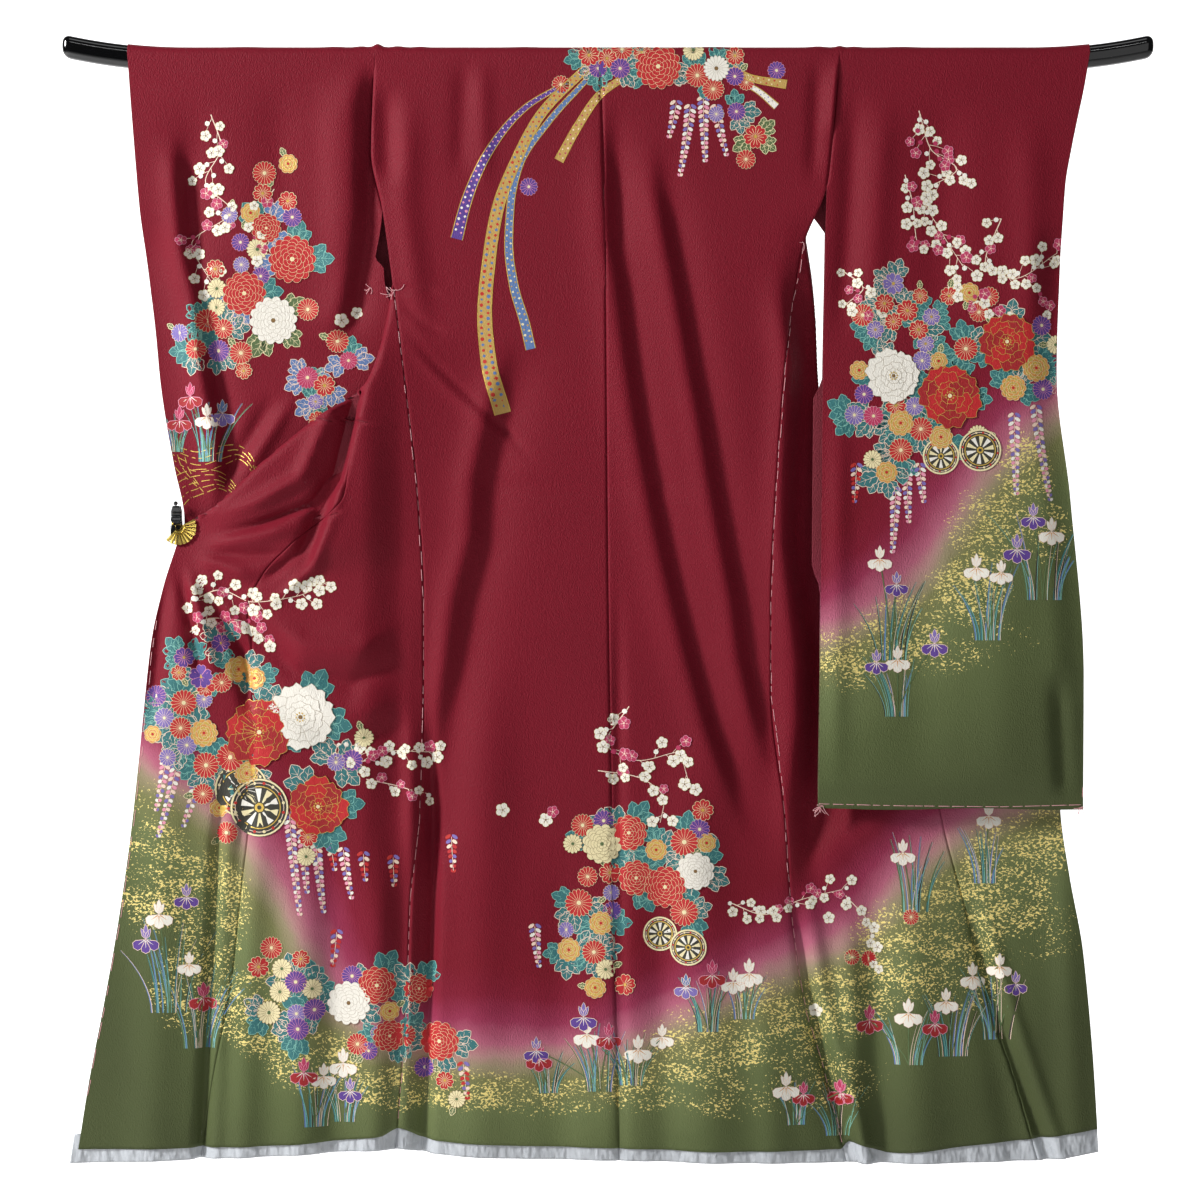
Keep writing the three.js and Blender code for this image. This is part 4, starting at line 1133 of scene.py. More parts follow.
@dataclass
class Collar:
    """The folded collar, sewn along both free edges and round the back of the neck."""

    drape: Drape
    spacing: float = 7.0
    columns: int = 9

    def _side(self, side: Side) -> tuple[Array, Array]:
        """Sewn and free edge of one side, from its lower end to the neck."""
        lines = COLLAR[side]
        levels = steps(lines.z[0], SHOULDER, self.spacing)
        sewn = []
        free = []
        for z in levels:
            edge = hemmed(FrontSection(self.drape, side, float(z)).at(np.array([1.0])))[0]
            tucked = float(ease((ROLL_FOOT[side] + ROLL_FADE - z) / ROLL_FADE))
            edge[1] += tucked * COLLAR_THICK
            out = float(lines.at("out", z))
            loose = (side.value * out, float(lines.at("depth", z)), float(lines.at("foot", z)))
            sewn.append(edge)
            free.append(loose)
        return np.array(sewn), np.array(free)

    def shell(self) -> Shell:
        """The collar as one thick folded strip."""
        nape_x = np.linspace(-NAPE_HALF_WIDTH, NAPE_HALF_WIDTH, NAPE_POINTS)
        even = np.ones(NAPE_POINTS)
        nape_sewn = np.stack([nape_x, even * (OVER_ROD + 0.2), even * SHOULDER], -1)
        nape_free = np.stack([nape_x * 0.5, even * NAPE_DEPTH, even * NAPE_FOOT], -1)
        left, right = self._side(Side.LEFT), self._side(Side.RIGHT)
        sewn = np.concatenate([left[0], nape_sewn, right[0][::-1]])
        free = np.concatenate([left[1], nape_free, right[1][::-1]])
        share = np.linspace(0, 1, self.columns)[None, :, None]
        grid = mix(sewn[:, None, :], free[:, None, :], share)
        plain = np.full(grid.shape[:2], FULL_CRIMSON)
        marks = {"dye": plain, "sand": np.zeros(grid.shape[:2])}
        return Shell("silk_collar", grid, thick=COLLAR_THICK, marks=marks)


@dataclass
class HemFacing:
    """A strip of white satin behind one panel's hem, showing below it."""

    panel: Shell
    name: str
    last_row: bool  # whether the panel's last row is its hem
    beyond: float  # how far the strip's end shows beside the panel
    height: float = 42.0
    rows: int = 12
    followed: int = 8  # rows of the panel that the strip hangs along
    behind: float = 2.1
    thick: float = 0.8

    def shell(self) -> Shell:
        """The strip, hung behind the last rows of its panel."""
        grid = self.panel.grid[::-1] if self.last_row else self.panel.grid
        hem, above = grid[0], grid[self.followed]
        foot = HEM_OF_FACING.at(hem[:, 0])
        rise = np.linspace(0, 1, self.rows)[:, None]
        z = foot[None, :] + self.height * rise
        share = (z - hem[None, :, 2]) / (above[None, :, 2] - hem[None, :, 2])
        points = mix(hem[None], above[None], share[..., None])
        points[..., 2] = z
        ripple = 0.7 * np.sin(hem[:, 0] / 13) + 0.5 * np.sin(hem[:, 0] / 5.3 + 1)
        points[..., 1] += self.behind + ripple[None, :] * (1 - rise)
        reach = np.linspace(0, 1, hem.shape[0]) ** 4
        points[..., 0] += np.sign(hem[:, 0])[None, :] * self.beyond * reach
        facing = -self.panel.facing if self.last_row else self.panel.facing
        return Shell(self.name, points, thick=self.thick, facing=facing)


# ---------- Dye: where the ground changes from crimson to olive and where gold lies ----------

# Border of the clouds on the body, and on each sleeve, in cells of the draft.
BODY_BORDER = (
    (60, 735), (120, 750), (145, 762), (175, 782), (210, 804), (245, 832), (275, 875), (300, 920),
    (318, 965), (340, 1005), (380, 1036), (430, 1049), (520, 1054), (600, 1052), (645, 1036),
    (690, 1010), (740, 987), (800, 960), (860, 930), (900, 886), (930, 850), (1000, 812),
    (1100, 780), (1180, 765),
)  # fmt: skip
SLEEVE_BORDER = {
    Side.LEFT: ((60, 560), (160, 600), (230, 660), (290, 720), (380, 760), (430, 770)),
    Side.RIGHT: (
        (780, 655), (825, 632), (862, 613), (900, 590), (930, 556), (950, 522), (985, 474),
        (1020, 437), (1060, 408), (1120, 380),
    ),
}  # fmt: skip


@dataclass(frozen=True)
class SandCloud:
    """An ellipse in which gold sand lies thickly, in cells of the draft."""

    column: float
    row: float
    wide: float
    high: float
    dense: float = 1.0


BODY_SAND = (
    SandCloud(160, 812, 34, 34, 0.55),
    SandCloud(158, 872, 40, 60),
    SandCloud(212, 905, 42, 60),
    SandCloud(196, 985, 46, 45),
    SandCloud(262, 1010, 46, 45),
    SandCloud(318, 1058, 52, 34),
    SandCloud(392, 1086, 56, 24),
    SandCloud(470, 1088, 66, 22),
    SandCloud(556, 1096, 66, 20, 0.9),
    SandCloud(640, 1082, 50, 30),
    SandCloud(704, 1046, 62, 42),
    SandCloud(778, 1020, 60, 46),
    SandCloud(846, 1000, 52, 40),
    SandCloud(820, 1078, 62, 32, 0.8),
    SandCloud(735, 1098, 60, 20, 0.8),
    SandCloud(898, 952, 52, 52),
    SandCloud(958, 925, 56, 60),
    SandCloud(1006, 880, 50, 62),
    SandCloud(1040, 842, 36, 42),
    SandCloud(1040, 930, 40, 34, 0.7),
    SandCloud(960, 990, 50, 26, 0.8),
)
SLEEVE_SAND = {
    Side.LEFT: (SandCloud(200, 660, 40, 26), SandCloud(280, 735, 44, 26)),
    Side.RIGHT: (
        SandCloud(848, 658, 40, 34),
        SandCloud(902, 630, 46, 38),
        SandCloud(966, 590, 44, 36),
        SandCloud(938, 656, 50, 20, 0.8),
        SandCloud(984, 528, 42, 40),
        SandCloud(1022, 478, 30, 46),
        SandCloud(1046, 532, 24, 34, 0.8),
        SandCloud(1000, 640, 40, 18, 0.5),
    ),
}


def draft_marks(
    grid: Array, border: Sequence[Point], clouds: Sequence[SandCloud]
) -> dict[str, Array]:
    """Work out what the dye needs at the points of a grid.

    Args:
        grid: Points, in millimetres.
        border: The border between crimson and olive, in cells.
        clouds: Where gold sand lies, in cells.

    Returns:
        "dye", the distance past the border into the olive, and "sand", from 0 to 1.
    """
    x, z = grid[..., 0], grid[..., 2]
    line = from_draft(border)
    distance, _ = to_line(line, x, z)
    below = z < np.interp(x, line[:, 0], line[:, 1])
    sand = np.zeros_like(x)
    for cloud in clouds:
        centre = from_draft([(cloud.column, cloud.row)])[0]
        reach = np.hypot(
            (x - centre[0]) / (cloud.wide * CELL), (z - centre[1]) / (cloud.high * CELL)
        )
        sand = np.maximum(sand, cloud.dense * ease((1.25 - reach) / 0.5))
    return {"dye": np.where(below, distance, -distance), "sand": sand}


def dye_marks(grid: Array) -> dict[str, Array]:
    """The dye's values on the body's cloth."""
    return draft_marks(grid, BODY_BORDER, BODY_SAND)


def sleeve_dye_marks(grid: Array, side: Side) -> dict[str, Array]:
    """The dye's values on a sleeve."""
    return draft_marks(grid, SLEEVE_BORDER[side], SLEEVE_SAND[side])


# ---------- Finishes ----------

Colour = tuple[float, float, float]


def linear(code: str) -> tuple[float, float, float, float]:
    """Turn a colour written as #rrggbb into linear light with full cover."""
    parts = [int(code[i : i + 2], 16) / 255 for i in (1, 3, 5)]
    light = [p / 12.92 if p <= 0.04045 else ((p + 0.055) / 1.055) ** 2.4 for p in parts]
    return (light[0], light[1], light[2], 1.0)


class Wiring:
    """Adds and joins the nodes of one material or group."""

    def __init__(self, tree: bpy.types.NodeTree) -> None:
        """Work on an empty tree."""
        self.tree = tree
        tree.nodes.clear()

    def add(self, kind: str, **settings: object) -> bpy.types.Node:
        """Add a node.

        Args:
            kind: The node's type, without the "ShaderNode" in front.
            settings: Properties, or input values as in_NAME with _ for a space.

        Returns:
            The node.
        """
        full = kind if kind.startswith("NodeGroup") else f"ShaderNode{kind}"
        node = self.tree.nodes.new(full)
        node.location = (190 * (len(self.tree.nodes) % 9), -260 * (len(self.tree.nodes) // 9))
        for name, value in settings.items():
            if name.startswith("in_"):
                node.inputs[name[3:].replace("_", " ")].default_value = value
            else:
                setattr(node, name, value)
        return node

    def join(self, source: bpy.types.NodeSocket, target: bpy.types.NodeSocket) -> None:
        """Join an output to an input."""
        self.tree.links.new(source, target)

    def math(self, operation: str, a: object, b: object = 0.5) -> bpy.types.NodeSocket:
        """Add one sum of two numbers or sockets and return its output."""
        node = self.add("Math", operation=operation)
        for socket, value in zip(node.inputs, (a, b)):
            if isinstance(value, bpy.types.NodeSocket):
                self.join(value, socket)
            else:
                socket.default_value = value
        return node.outputs[0]

    def range(
        self, value: bpy.types.NodeSocket, low: float, high: float, to_low: float, to_high: float
    ) -> bpy.types.NodeSocket:
        """Map a range of values onto another, held at its ends, and return the output."""
        node = self.add("MapRange")
        self.join(value, node.inputs[0])
        for socket, number in zip(node.inputs[1:5], (low, high, to_low, to_high)):
            socket.default_value = number
        return node.outputs[0]

    def tint(self, blend: str, amount: object, a: object, b: object) -> bpy.types.NodeSocket:
        """Mix two colours and return the result."""
        node = self.add("Mix", data_type="RGBA", blend_type=blend)
        for socket, value in ((node.inputs[0], amount), (node.inputs[6], a), (node.inputs[7], b)):
            if isinstance(value, bpy.types.NodeSocket):
                self.join(value, socket)
            else:
                socket.default_value = value
        return node.outputs[2]

    def noise(self, place: bpy.types.NodeSocket, scale: float, **settings: float) -> bpy.types.Node:
        """Add a noise texture read at a place."""
        node = self.add("TexNoise", in_Scale=scale, **settings)
        self.join(place, node.inputs["Vector"])
        return node

    def stretched(self, place: bpy.types.NodeSocket, scale: Colour) -> bpy.types.NodeSocket:
        """Scale a place by axis."""
        node = self.add("Mapping", in_Scale=scale)
        self.join(place, node.inputs["Vector"])
        return node.outputs[0]


class GrainGroup(Enum):
    """Surface grains that several materials share: group name, stretch in z and roughness."""

    CREPE = ("crepe_grain", 0.55, 0.55)
    SATIN = ("satin_grain", 0.45, 0.45)

    def __init__(self, label: str, stretch: float, rough: float) -> None:
        """Take the values of one grain."""
        self.label = label
        self.stretch = stretch
        self.rough = rough

    def tree(self) -> bpy.types.NodeTree:
        """The node group, made when it is first asked for."""
        made = bpy.data.node_groups.get(self.label)
        return made or self._make()

    def _make(self) -> bpy.types.NodeTree:
        """Build the group: a place, a scale and a depth in, a normal out."""
        tree = bpy.data.node_groups.new(self.label, "ShaderNodeTree")
        face = tree.interface
        for name, number in (("Scale", 700.0), ("Depth", 0.0003)):
            socket = face.new_socket(name, in_out="INPUT", socket_type="NodeSocketFloat")
            socket.default_value = number
        face.new_socket("Normal", in_out="OUTPUT", socket_type="NodeSocketVector")
        wires = Wiring(tree)
        given = wires.add("NodeGroupInput")
        result = wires.add("NodeGroupOutput")
        place = wires.add("TexCoord").outputs["Object"]
        drawn_out = wires.stretched(place, (1.0, 1.0, self.stretch))
        pebbles = wires.noise(drawn_out, 1, in_Detail=1.5, in_Roughness=self.rough)
        wires.join(given.outputs["Scale"], pebbles.inputs["Scale"])
        bump = wires.add("Bump", in_Strength=1.0)
        wires.join(given.outputs["Depth"], bump.inputs["Distance"])
        wires.join(pebbles.outputs[0], bump.inputs["Height"])
        wires.join(bump.outputs[0], result.inputs["Normal"])
        return tree

    def use(self, wires: Wiring, scale: float, depth: float) -> bpy.types.NodeSocket:
        """Place the group in a material.

        Args:
            wires: The material's wiring.
            scale: Grains a metre.
            depth: Height of the grain in metres.

        Returns:
            The normal.
        """
        node = wires.add("Group", node_tree=self.tree())
        node.inputs["Scale"].default_value = scale
        node.inputs["Depth"].default_value = depth
        return node.outputs["Normal"]


def surface(name: str) -> tuple[bpy.types.Material, Wiring, bpy.types.Node]:
    """Start a material.

    Args:
        name: The material's name.

    Returns:
        The material, its wiring and its shader.
    """
    material = bpy.data.materials.new(name)
    material.use_nodes = True
    wires = Wiring(material.node_tree)
    shader = wires.add("BsdfPrincipled")
    out = wires.add("OutputMaterial")
    wires.join(shader.outputs[0], out.inputs[0])
    return material, wires, shader


@dataclass(frozen=True)
class DyedSilk:
    """Silk crepe, shaded from crimson through pink to olive, with gold sand on it."""

    name: str
    stops: tuple[tuple[float, str], ...] = (
        (-120, "#750f22"),
        (-80, "#7b162d"),
        (-45, "#8f304d"),
        (-16, "#ad5f75"),
        (2, "#ab827d"),
        (16, "#93866a"),
        (36, "#75764b"),
        (80, "#656f46"),
        (160, "#57613b"),
        (300, "#4a5232"),
    )
    gold: str = "#ecd888"
    sanded: bool = True
    faded: float = 0.0

    CLOUDS = 16  # scale of the noise that makes the dye's border waver
    CLOUD_SHIFT = 10  # how far it wavers, in millimetres
    WORN = 5  # scale of the noise that makes the ground uneven
    DRIFTS = 46  # scale of the drifts of sand
    FLECKS = 340  # scale of its flecks
    FLECK_EDGE = 0.011  # how softly a fleck ends, as a step of the noise
    GRAINS = 640  # grains of the crepe in a metre
    GRAIN_DEPTH = 0.0011

    def _ground(self, wires: Wiring, place: bpy.types.NodeSocket) -> bpy.types.NodeSocket:
        """Colour of the dyed ground."""
        dye = wires.add("Attribute", attribute_name="dye").outputs["Fac"]
        cloudy = wires.noise(place, self.CLOUDS, in_Detail=3.0)
        shift = self.CLOUD_SHIFT
        moved = wires.math("ADD", dye, wires.range(cloudy.outputs[0], 0.2, 0.8, -shift, shift))
        low, high = self.stops[0][0], self.stops[-1][0]
        ramp = wires.add("ValToRGB")
        wires.join(wires.range(moved, low, high, 0, 1), ramp.inputs[0])
        marks = ramp.color_ramp.elements
        while len(marks) < len(self.stops):
            marks.new(0.5)
        for mark, (distance, colour) in zip(marks, self.stops):
            mark.position = (distance - low) / (high - low)
            mark.color = linear(colour)
        worn = wires.noise(place, self.WORN, in_Detail=4.0)
        shade = wires.range(worn.outputs[0], 0.3, 0.7, 0.0, 0.16)
        return wires.tint("MULTIPLY", shade, ramp.outputs[0], (0.55, 0.5, 0.5, 1))

    def _sand(self, wires: Wiring, place: bpy.types.NodeSocket) -> bpy.types.NodeSocket:
        """Where a fleck of gold lies."""
        dense = wires.add("Attribute", attribute_name="sand").outputs["Fac"]
        drift = wires.noise(
            wires.stretched(place, (0.45, 1, 1.2)), self.DRIFTS, in_Detail=2.0
        )
        fleck = wires.noise(
            wires.stretched(place, (0.7, 1, 1.1)), self.FLECKS, in_Detail=2.5, in_Distortion=0.6
        )
        thick = wires.math("MULTIPLY", dense, wires.range(drift.outputs[0], 0.32, 0.66, 0.5, 1.1))
        level = wires.range(thick, 0, 1, 0.76, 0.52)
        over = wires.math("SUBTRACT", fleck.outputs[0], level)
        there = wires.math("GREATER_THAN", dense, 0.04)
        return wires.math("MULTIPLY", wires.range(over, 0.0, self.FLECK_EDGE, 0, 1), there)

    def make(self) -> bpy.types.Material:
        """Build the material."""
        material, wires, shader = surface(self.name)
        place = wires.add("TexCoord").outputs["Object"]
        colour = self._ground(wires, place)
        if self.faded:
            colour = wires.tint("MIX", self.faded, colour, linear("#8d5a62"))
        rough = wires.noise(place, 900, in_Detail=1.0)
        roughness = wires.range(rough.outputs[0], 0.3, 0.7, 0.50, 0.66)
        if self.sanded:
            fleck = self._sand(wires, place)
            colour = wires.tint("MIX", fleck, colour, linear(self.gold))
            roughness = wires.math("SUBTRACT", roughness, wires.math("MULTIPLY", fleck, 0.22))
            wires.join(wires.math("MULTIPLY", fleck, 0.35), shader.inputs["Metallic"])
        wires.join(colour, shader.inputs["Base Color"])
        wires.join(roughness, shader.inputs["Roughness"])
        normal = GrainGroup.CREPE.use(wires, self.GRAINS, self.GRAIN_DEPTH)
        wires.join(normal, shader.inputs["Normal"])
        shader.inputs["Sheen Weight"].default_value = 0.03
        shader.inputs["Sheen Roughness"].default_value = 0.4
        shader.inputs["Specular IOR Level"].default_value = 0.16
        return material


PAINTS: dict[str, bpy.types.Material] = {}  # plain finishes made so far, by name


class Grain(Enum):
    """Surface of a plain finish: its grain's group, grains a metre and depth in metres."""

    CREPE = (GrainGroup.CREPE, 640, 0.0008)
    SATIN = (GrainGroup.SATIN, 90, 0.006)
    THREAD = (GrainGroup.CREPE, 2400, 0.0001)
    SMOOTH = ()


@dataclass(frozen=True)
class PlainFinish:
    """A finish of one colour with its own grain and gloss."""

    name: str
    colour: str
    rough: float
    grain: Grain = Grain.SMOOTH
    metal: float = 0.0
    coat: float = 0.0
    sheen: float = 0.0
    uneven: float = 0.08
    shine: float = 0.5

    def make(self) -> bpy.types.Material:
        """Build the material, or return it if it is there."""
        made = PAINTS.get(self.name)
        if made:
            return made
        material, wires, shader = surface(self.name)
        PAINTS[self.name] = material
        place = wires.add("TexCoord").outputs["Object"]
        patches = wires.noise(place, 60, in_Detail=3.0)
        low, high = self.rough - self.uneven, self.rough + self.uneven
        wires.join(
            wires.range(patches.outputs[0], 0.3, 0.7, max(low, 0.02), high),
            shader.inputs["Roughness"],
        )
        if self.grain is not Grain.SMOOTH:
            group, scale, depth = self.grain.value
            wires.join(group.use(wires, scale, depth), shader.inputs["Normal"])
        shader.inputs["Base Color"].default_value = linear(self.colour)
        shader.inputs["Metallic"].default_value = self.metal
        shader.inputs["Specular IOR Level"].default_value = self.shine
        shader.inputs["Coat Weight"].default_value = self.coat
        shader.inputs["Coat Roughness"].default_value = 0.04
        shader.inputs["Sheen Weight"].default_value = self.sheen
        return material


# ---------- Rod, clip and threads ----------


def tube(
    name: str, runs: Sequence[Array], radius: float, sides: int = 6
) -> tuple[Array, list[list[int]]]:
    """Points and faces of round tubes along lines, with closed ends.

    Args:
        name: What the tubes are, for the error message.
        runs: Lines of points.
        radius: The tubes' radius.
        sides: Sides of each tube.

    Returns:
        Points and faces.
    """
    points: list[Array] = []
    faces: list[list[int]] = []
    turn = np.linspace(0, 2 * math.pi, sides, endpoint=False)
    for run in runs:
        if len(run) < 2:
            raise ValueError(f"{name}: a tube needs two points")
        first = sum(len(p) for p in points)
        ahead = np.gradient(run, axis=0)
        ahead /= np.linalg.norm(ahead, axis=1, keepdims=True)
        aside = np.cross(ahead, (0.0, 1.0, 0.0))
        aside /= np.maximum(np.linalg.norm(aside, axis=1, keepdims=True), 1e-9)
        up = np.cross(aside, ahead)
        ring = (
            aside[:, None] * np.cos(turn)[None, :, None] + up[:, None] * np.sin(turn)[None, :, None]
        )
        points.append((run[:, None] + radius * ring).reshape(-1, 3))
        for k in range(len(run) - 1):
            for i in range(sides):
                a, b = first + k * sides + i, first + k * sides + (i + 1) % sides
                faces.append([a, b, b + sides, a + sides])
        last = first + (len(run) - 1) * sides
        faces.append([first + i for i in reversed(range(sides))])
        faces.append([last + i for i in range(sides)])
    return np.concatenate(points), faces


def mesh_piece(
    name: str, points: Array, faces: Sequence[Sequence[int]], finishes: Sequence[bpy.types.Material]
) -> bpy.types.Object:
    """Make a smooth mesh object from points in millimetres, with its faces turned outwards."""
    mesh = bpy.data.meshes.new(name)
    flat = np.asarray(points, float) * MM
    a, b, c = (flat[[face[k] for face in faces]] for k in range(3))
    inside_out = np.einsum("ij,ij->", a, np.cross(b, c)) < 0
    ordered = [[int(i) for i in (face[::-1] if inside_out else face)] for face in faces]
    mesh.from_pydata(flat.tolist(), [], ordered)
    for finish in finishes:
        mesh.materials.append(finish)
    mesh.polygons.foreach_set("use_smooth", np.ones(len(mesh.polygons), bool))
    mesh.update()
    piece = bpy.data.objects.new(name, mesh)
    bpy.context.scene.collection.objects.link(piece)
    return piece


@dataclass
class Rod:
    """The lacquered rod: straight, with ends that curve up to rounded tips."""

    sides: int = 48
    bluntness: float = 0.7
    flatness: float = 0.72  # how far the section keeps to a flat-sided shape

    def _ring(self, x: float, scale: float) -> Array:
        """One section of the rod."""
        angle = np.linspace(0, 2 * math.pi, self.sides, endpoint=False)
        power = self.flatness
        y = np.sign(np.cos(angle)) * np.abs(np.cos(angle)) ** power * ROD_DEPTH / 2
        z = np.sign(np.sin(angle)) * np.abs(np.sin(angle)) ** power * ROD_HEIGHT / 2
        rise = float(rod_rise(np.array(x)))
        return np.stack([np.full_like(y, x), y * scale, z * scale + rise], -1)

    def build(self, finish: bpy.types.Material) -> bpy.types.Object:
        """Make the rod."""
        tips = [
            (ROD_HALF_LENGTH - ROD_TIP * (1 - math.sin(t)), math.cos(t) ** self.bluntness)
            for t in (1.53, 1.4, 1.2, 1.0, 0.8, 0.55, 0.3, 0)
        ]
        bent = [(float(x), 1.0) for x in np.linspace(760, ROD_STRAIGHT, 18)]
        half = [*tips, *bent, (300.0, 1.0), (0.0, 1.0)]
        stations = [(-x, s) for x, s in half] + [(x, s) for x, s in half[-2::-1]]
        rings = [self._ring(x, scale) for x, scale in stations]
        count = self.sides
        faces = [
            [r * count + i, r * count + (i + 1) % count, (r + 1) * count + (i + 1) % count]
            + [(r + 1) * count + i]
            for r in range(len(rings) - 1)
            for i in range(count)
        ]
        last = (len(rings) - 1) * count
        faces.append(list(reversed(range(count))))
        faces.append([last + i for i in range(count)])
        return mesh_piece("lacquer_rod", np.concatenate(rings), faces, [finish])


@dataclass
class FanClip:
    """The spring clip with a small folding fan on it."""

    x: float = -616.0
    hub_x: float = -612.0
    hub_z: float = -668.4
    y: float = -17.75
    first: float = 21.0
    last: float = -129.0
    ribs: int = 11
    reach: float = 25.0

    def _blade(self, angle: float, half: float, near: float, far: float, lift: float) -> Array:
        """Corners of one fan blade, before it is given thickness."""
        corners = []
        for turn, radius, rise in (
            (-half, near, 0),
            (0, near, lift),
            (half, near, 0),
            (half, far, 0),
            (0, far + 0.6, lift),
            (-half, far, 0),
        ):
            a = angle + turn
            corners.append(
                (
                    self.hub_x + radius * math.cos(a),
                    self.y - rise,
                    self.hub_z + radius * math.sin(a),
                )
            )
        return np.array(corners)

    def fan(self, gold: bpy.types.Material) -> bpy.types.Object:
        """The pleated fan: blades with gaps between them, a ring near the hub and the hub."""
        angles = np.radians(np.linspace(self.first, self.last, self.ribs))
        half = abs(angles[1] - angles[0]) / 2
        points: list[Array] = []
        faces: list[list[int]] = []
        for angle in angles:
            for near, far, spread, lift in ((9.6, self.reach, 0.40, 0.9), (6.2, 9.4, 0.49, 0.25)):
                first = sum(len(p) for p in points)
                front = self._blade(angle, half * 2 * spread, near, far, lift)
                points += [front, front + (0, 0.8, 0)]
                faces += [[first, first + 1, first + 4, first + 5]]
                faces += [[first + 1, first + 2, first + 3, first + 4]]
                faces += [[first + 6 + k for k in back] for back in ((5, 4, 1, 0), (4, 3, 2, 1))]
                faces += [
                    [first + k, first + 6 + k, first + 6 + (k + 1) % 6, first + (k + 1) % 6]
                    for k in range(6)
                ]
        count = sum(len(p) for p in points)
        arc = np.linspace(angles[0], angles[-1], 40)
        rings = []
        for radius, rise in ((9.5, 0.5), (24.2, -0.6), (6.0, 0.4)):
            rings.append(
                np.stack(
                    [
                        self.hub_x + radius * np.cos(arc),
                        np.full_like(arc, self.y - rise),
                        self.hub_z + radius * np.sin(arc),
                    ],
                    -1,
                )
            )
        turn = np.linspace(0, 2 * math.pi, 25)
        hub = np.stack([4.2 * np.cos(turn), 0 * turn - 0.4, 4.2 * np.sin(turn)], -1)
        rings.append(hub + (self.hub_x, self.y, self.hub_z))
        ring_points, ring_faces = tube("fan rings", rings, 0.55)
        faces += [[i + count for i in face] for face in ring_faces]
        piece = mesh_piece("gold_fan", np.concatenate([*points, ring_points]), faces, [gold])
        piece.data.polygons.foreach_set("use_smooth", np.zeros(len(piece.data.polygons), bool))
        return piece

    def jaw(
        self, name: str, towards: float, y: float, finish: bpy.types.Material
    ) -> bpy.types.Object:
        """One bent jaw with its lever."""
        outline = [
            (8.6, -688), (8.6, -676), (8.5, -662), (6.0, -657), (3.1, -653.5), (2.9, -651),
            (3.1, -648.5), (6.0, -647), (8.6, -645), (9.6, -641), (10.6, -638),
        ]  # fmt: skip
        half = np.linspace(-7.5, 7.5, 7)
        rows = []
        for index, (reach, z) in enumerate(outline):
            narrow = 1 - 0.35 * ease(np.array((index - 7) / 3))
            level = np.ones_like(half)
            x = self.x + half * narrow
            rows.append(np.stack([x, level * (y + towards * reach), level * z], -1))
        shell = Shell(name, np.stack(rows), thick=1.2)
        return shell.build(finish, finish)

    def ball(
        self,
        name: str,
        place: tuple[float, float, float],
        radius: float,
        finish: bpy.types.Material,
    ) -> bpy.types.Object:
        """A turned knob: a ball with a short neck ring."""
        profile = [
            (0.02, 1.0), (0.45, 0.89), (0.8, 0.6), (0.98, 0.2), (0.98, -0.2), (0.8, -0.6),
            (0.5, -0.87), (0.42, -0.98), (0.02, -1.02),
        ]  # fmt: skip
        turn = np.linspace(0, 2 * math.pi, 24, endpoint=False)
        rings = [
            np.stack([r * np.cos(turn), r * np.sin(turn), np.full(24, h)], -1) for r, h in profile
        ]
        points = np.concatenate(rings) * radius + place
        faces = [
            [k * 24 + i, k * 24 + (i + 1) % 24, (k + 1) * 24 + (i + 1) % 24, (k + 1) * 24 + i][::-1]
            for k in range(len(profile) - 1)
            for i in range(24)
        ]
        return mesh_piece(name, points, faces, [finish])

    def pin(self, finish: bpy.types.Material) -> bpy.types.Object:
        """The coiled spring round the jaws' pin."""
        turn = np.linspace(0, 2 * math.pi * 7, 7 * 14)
        coil = np.stack(
            [np.linspace(-6.6, 6.6, len(turn)), 1.5 * np.cos(turn), 1.5 * np.sin(turn)], -1
        )
        axle = np.array([(-7.2, 0, 0), (-2.4, 0, 0), (2.4, 0, 0), (7.2, 0, 0)], float)
        runs = [coil + (self.x, -7.0, -651.0)]
        points, faces = tube("spring", runs, 0.45)
        bar = np.stack([axle[:, 0] + self.x, np.full(4, -7.0), np.full(4, -651.0)], -1)
        ring = np.linspace(0, 2 * math.pi, 12, endpoint=False)
        count = len(points)
        bar_points = np.concatenate(
            [p + np.stack([0 * ring, 1.0 * np.cos(ring), 1.0 * np.sin(ring)], -1) for p in bar]
        )
        bar_faces = [
            [count + k * 12 + i, count + k * 12 + (i + 1) % 12]
            + [count + (k + 1) * 12 + (i + 1) % 12, count + (k + 1) * 12 + i]
            for k in range(3)
            for i in range(12)
        ]
        bar_faces += [[count + i for i in range(12)], [count + 36 + i for i in range(12)][::-1]]
        everything = np.concatenate([points, bar_points])
        return mesh_piece("clip_spring", everything, faces + bar_faces, [finish])


class ClothFace:
    """The outer face of some shells, for laying things on the cloth."""

    START = -200.0  # depth before the garment from which its face is looked for

    def __init__(self, shells: Sequence[Shell]) -> None:
        """Index the faces that the viewer sees."""
        points: list[Array] = []
        quads: list[Array] = []
        count = 0
        for shell in shells:
            face, face_quads = shell.near_faces()
            points.append(face)
            quads.append(face_quads + count)
            count += len(face)
        self.tree = BVHTree.FromPolygons(
            np.concatenate(points).tolist(), np.concatenate(quads).tolist()
        )

    def under(self, x: float, z: float) -> tuple[Vector, Vector] | None:
        """The cloth's nearest point and normal straight behind a place, if there is any."""
        place, normal, _, _ = self.tree.ray_cast(Vector((x, self.START, z)), Vector((0, 1, 0)))
        if place is None:
            return None
        return place, normal if normal.y < 0 else -normal

    def lay(self, line: Array, lift: float) -> Array:
        """Lay a line of x and z on the cloth; points that miss it are left out."""
        laid = []
        for x, z in line:
            hit = self.under(float(x), float(z))
            if hit:
                laid.append(hit[0] + hit[1] * lift)
        return np.array(laid, float).reshape(-1, 3)


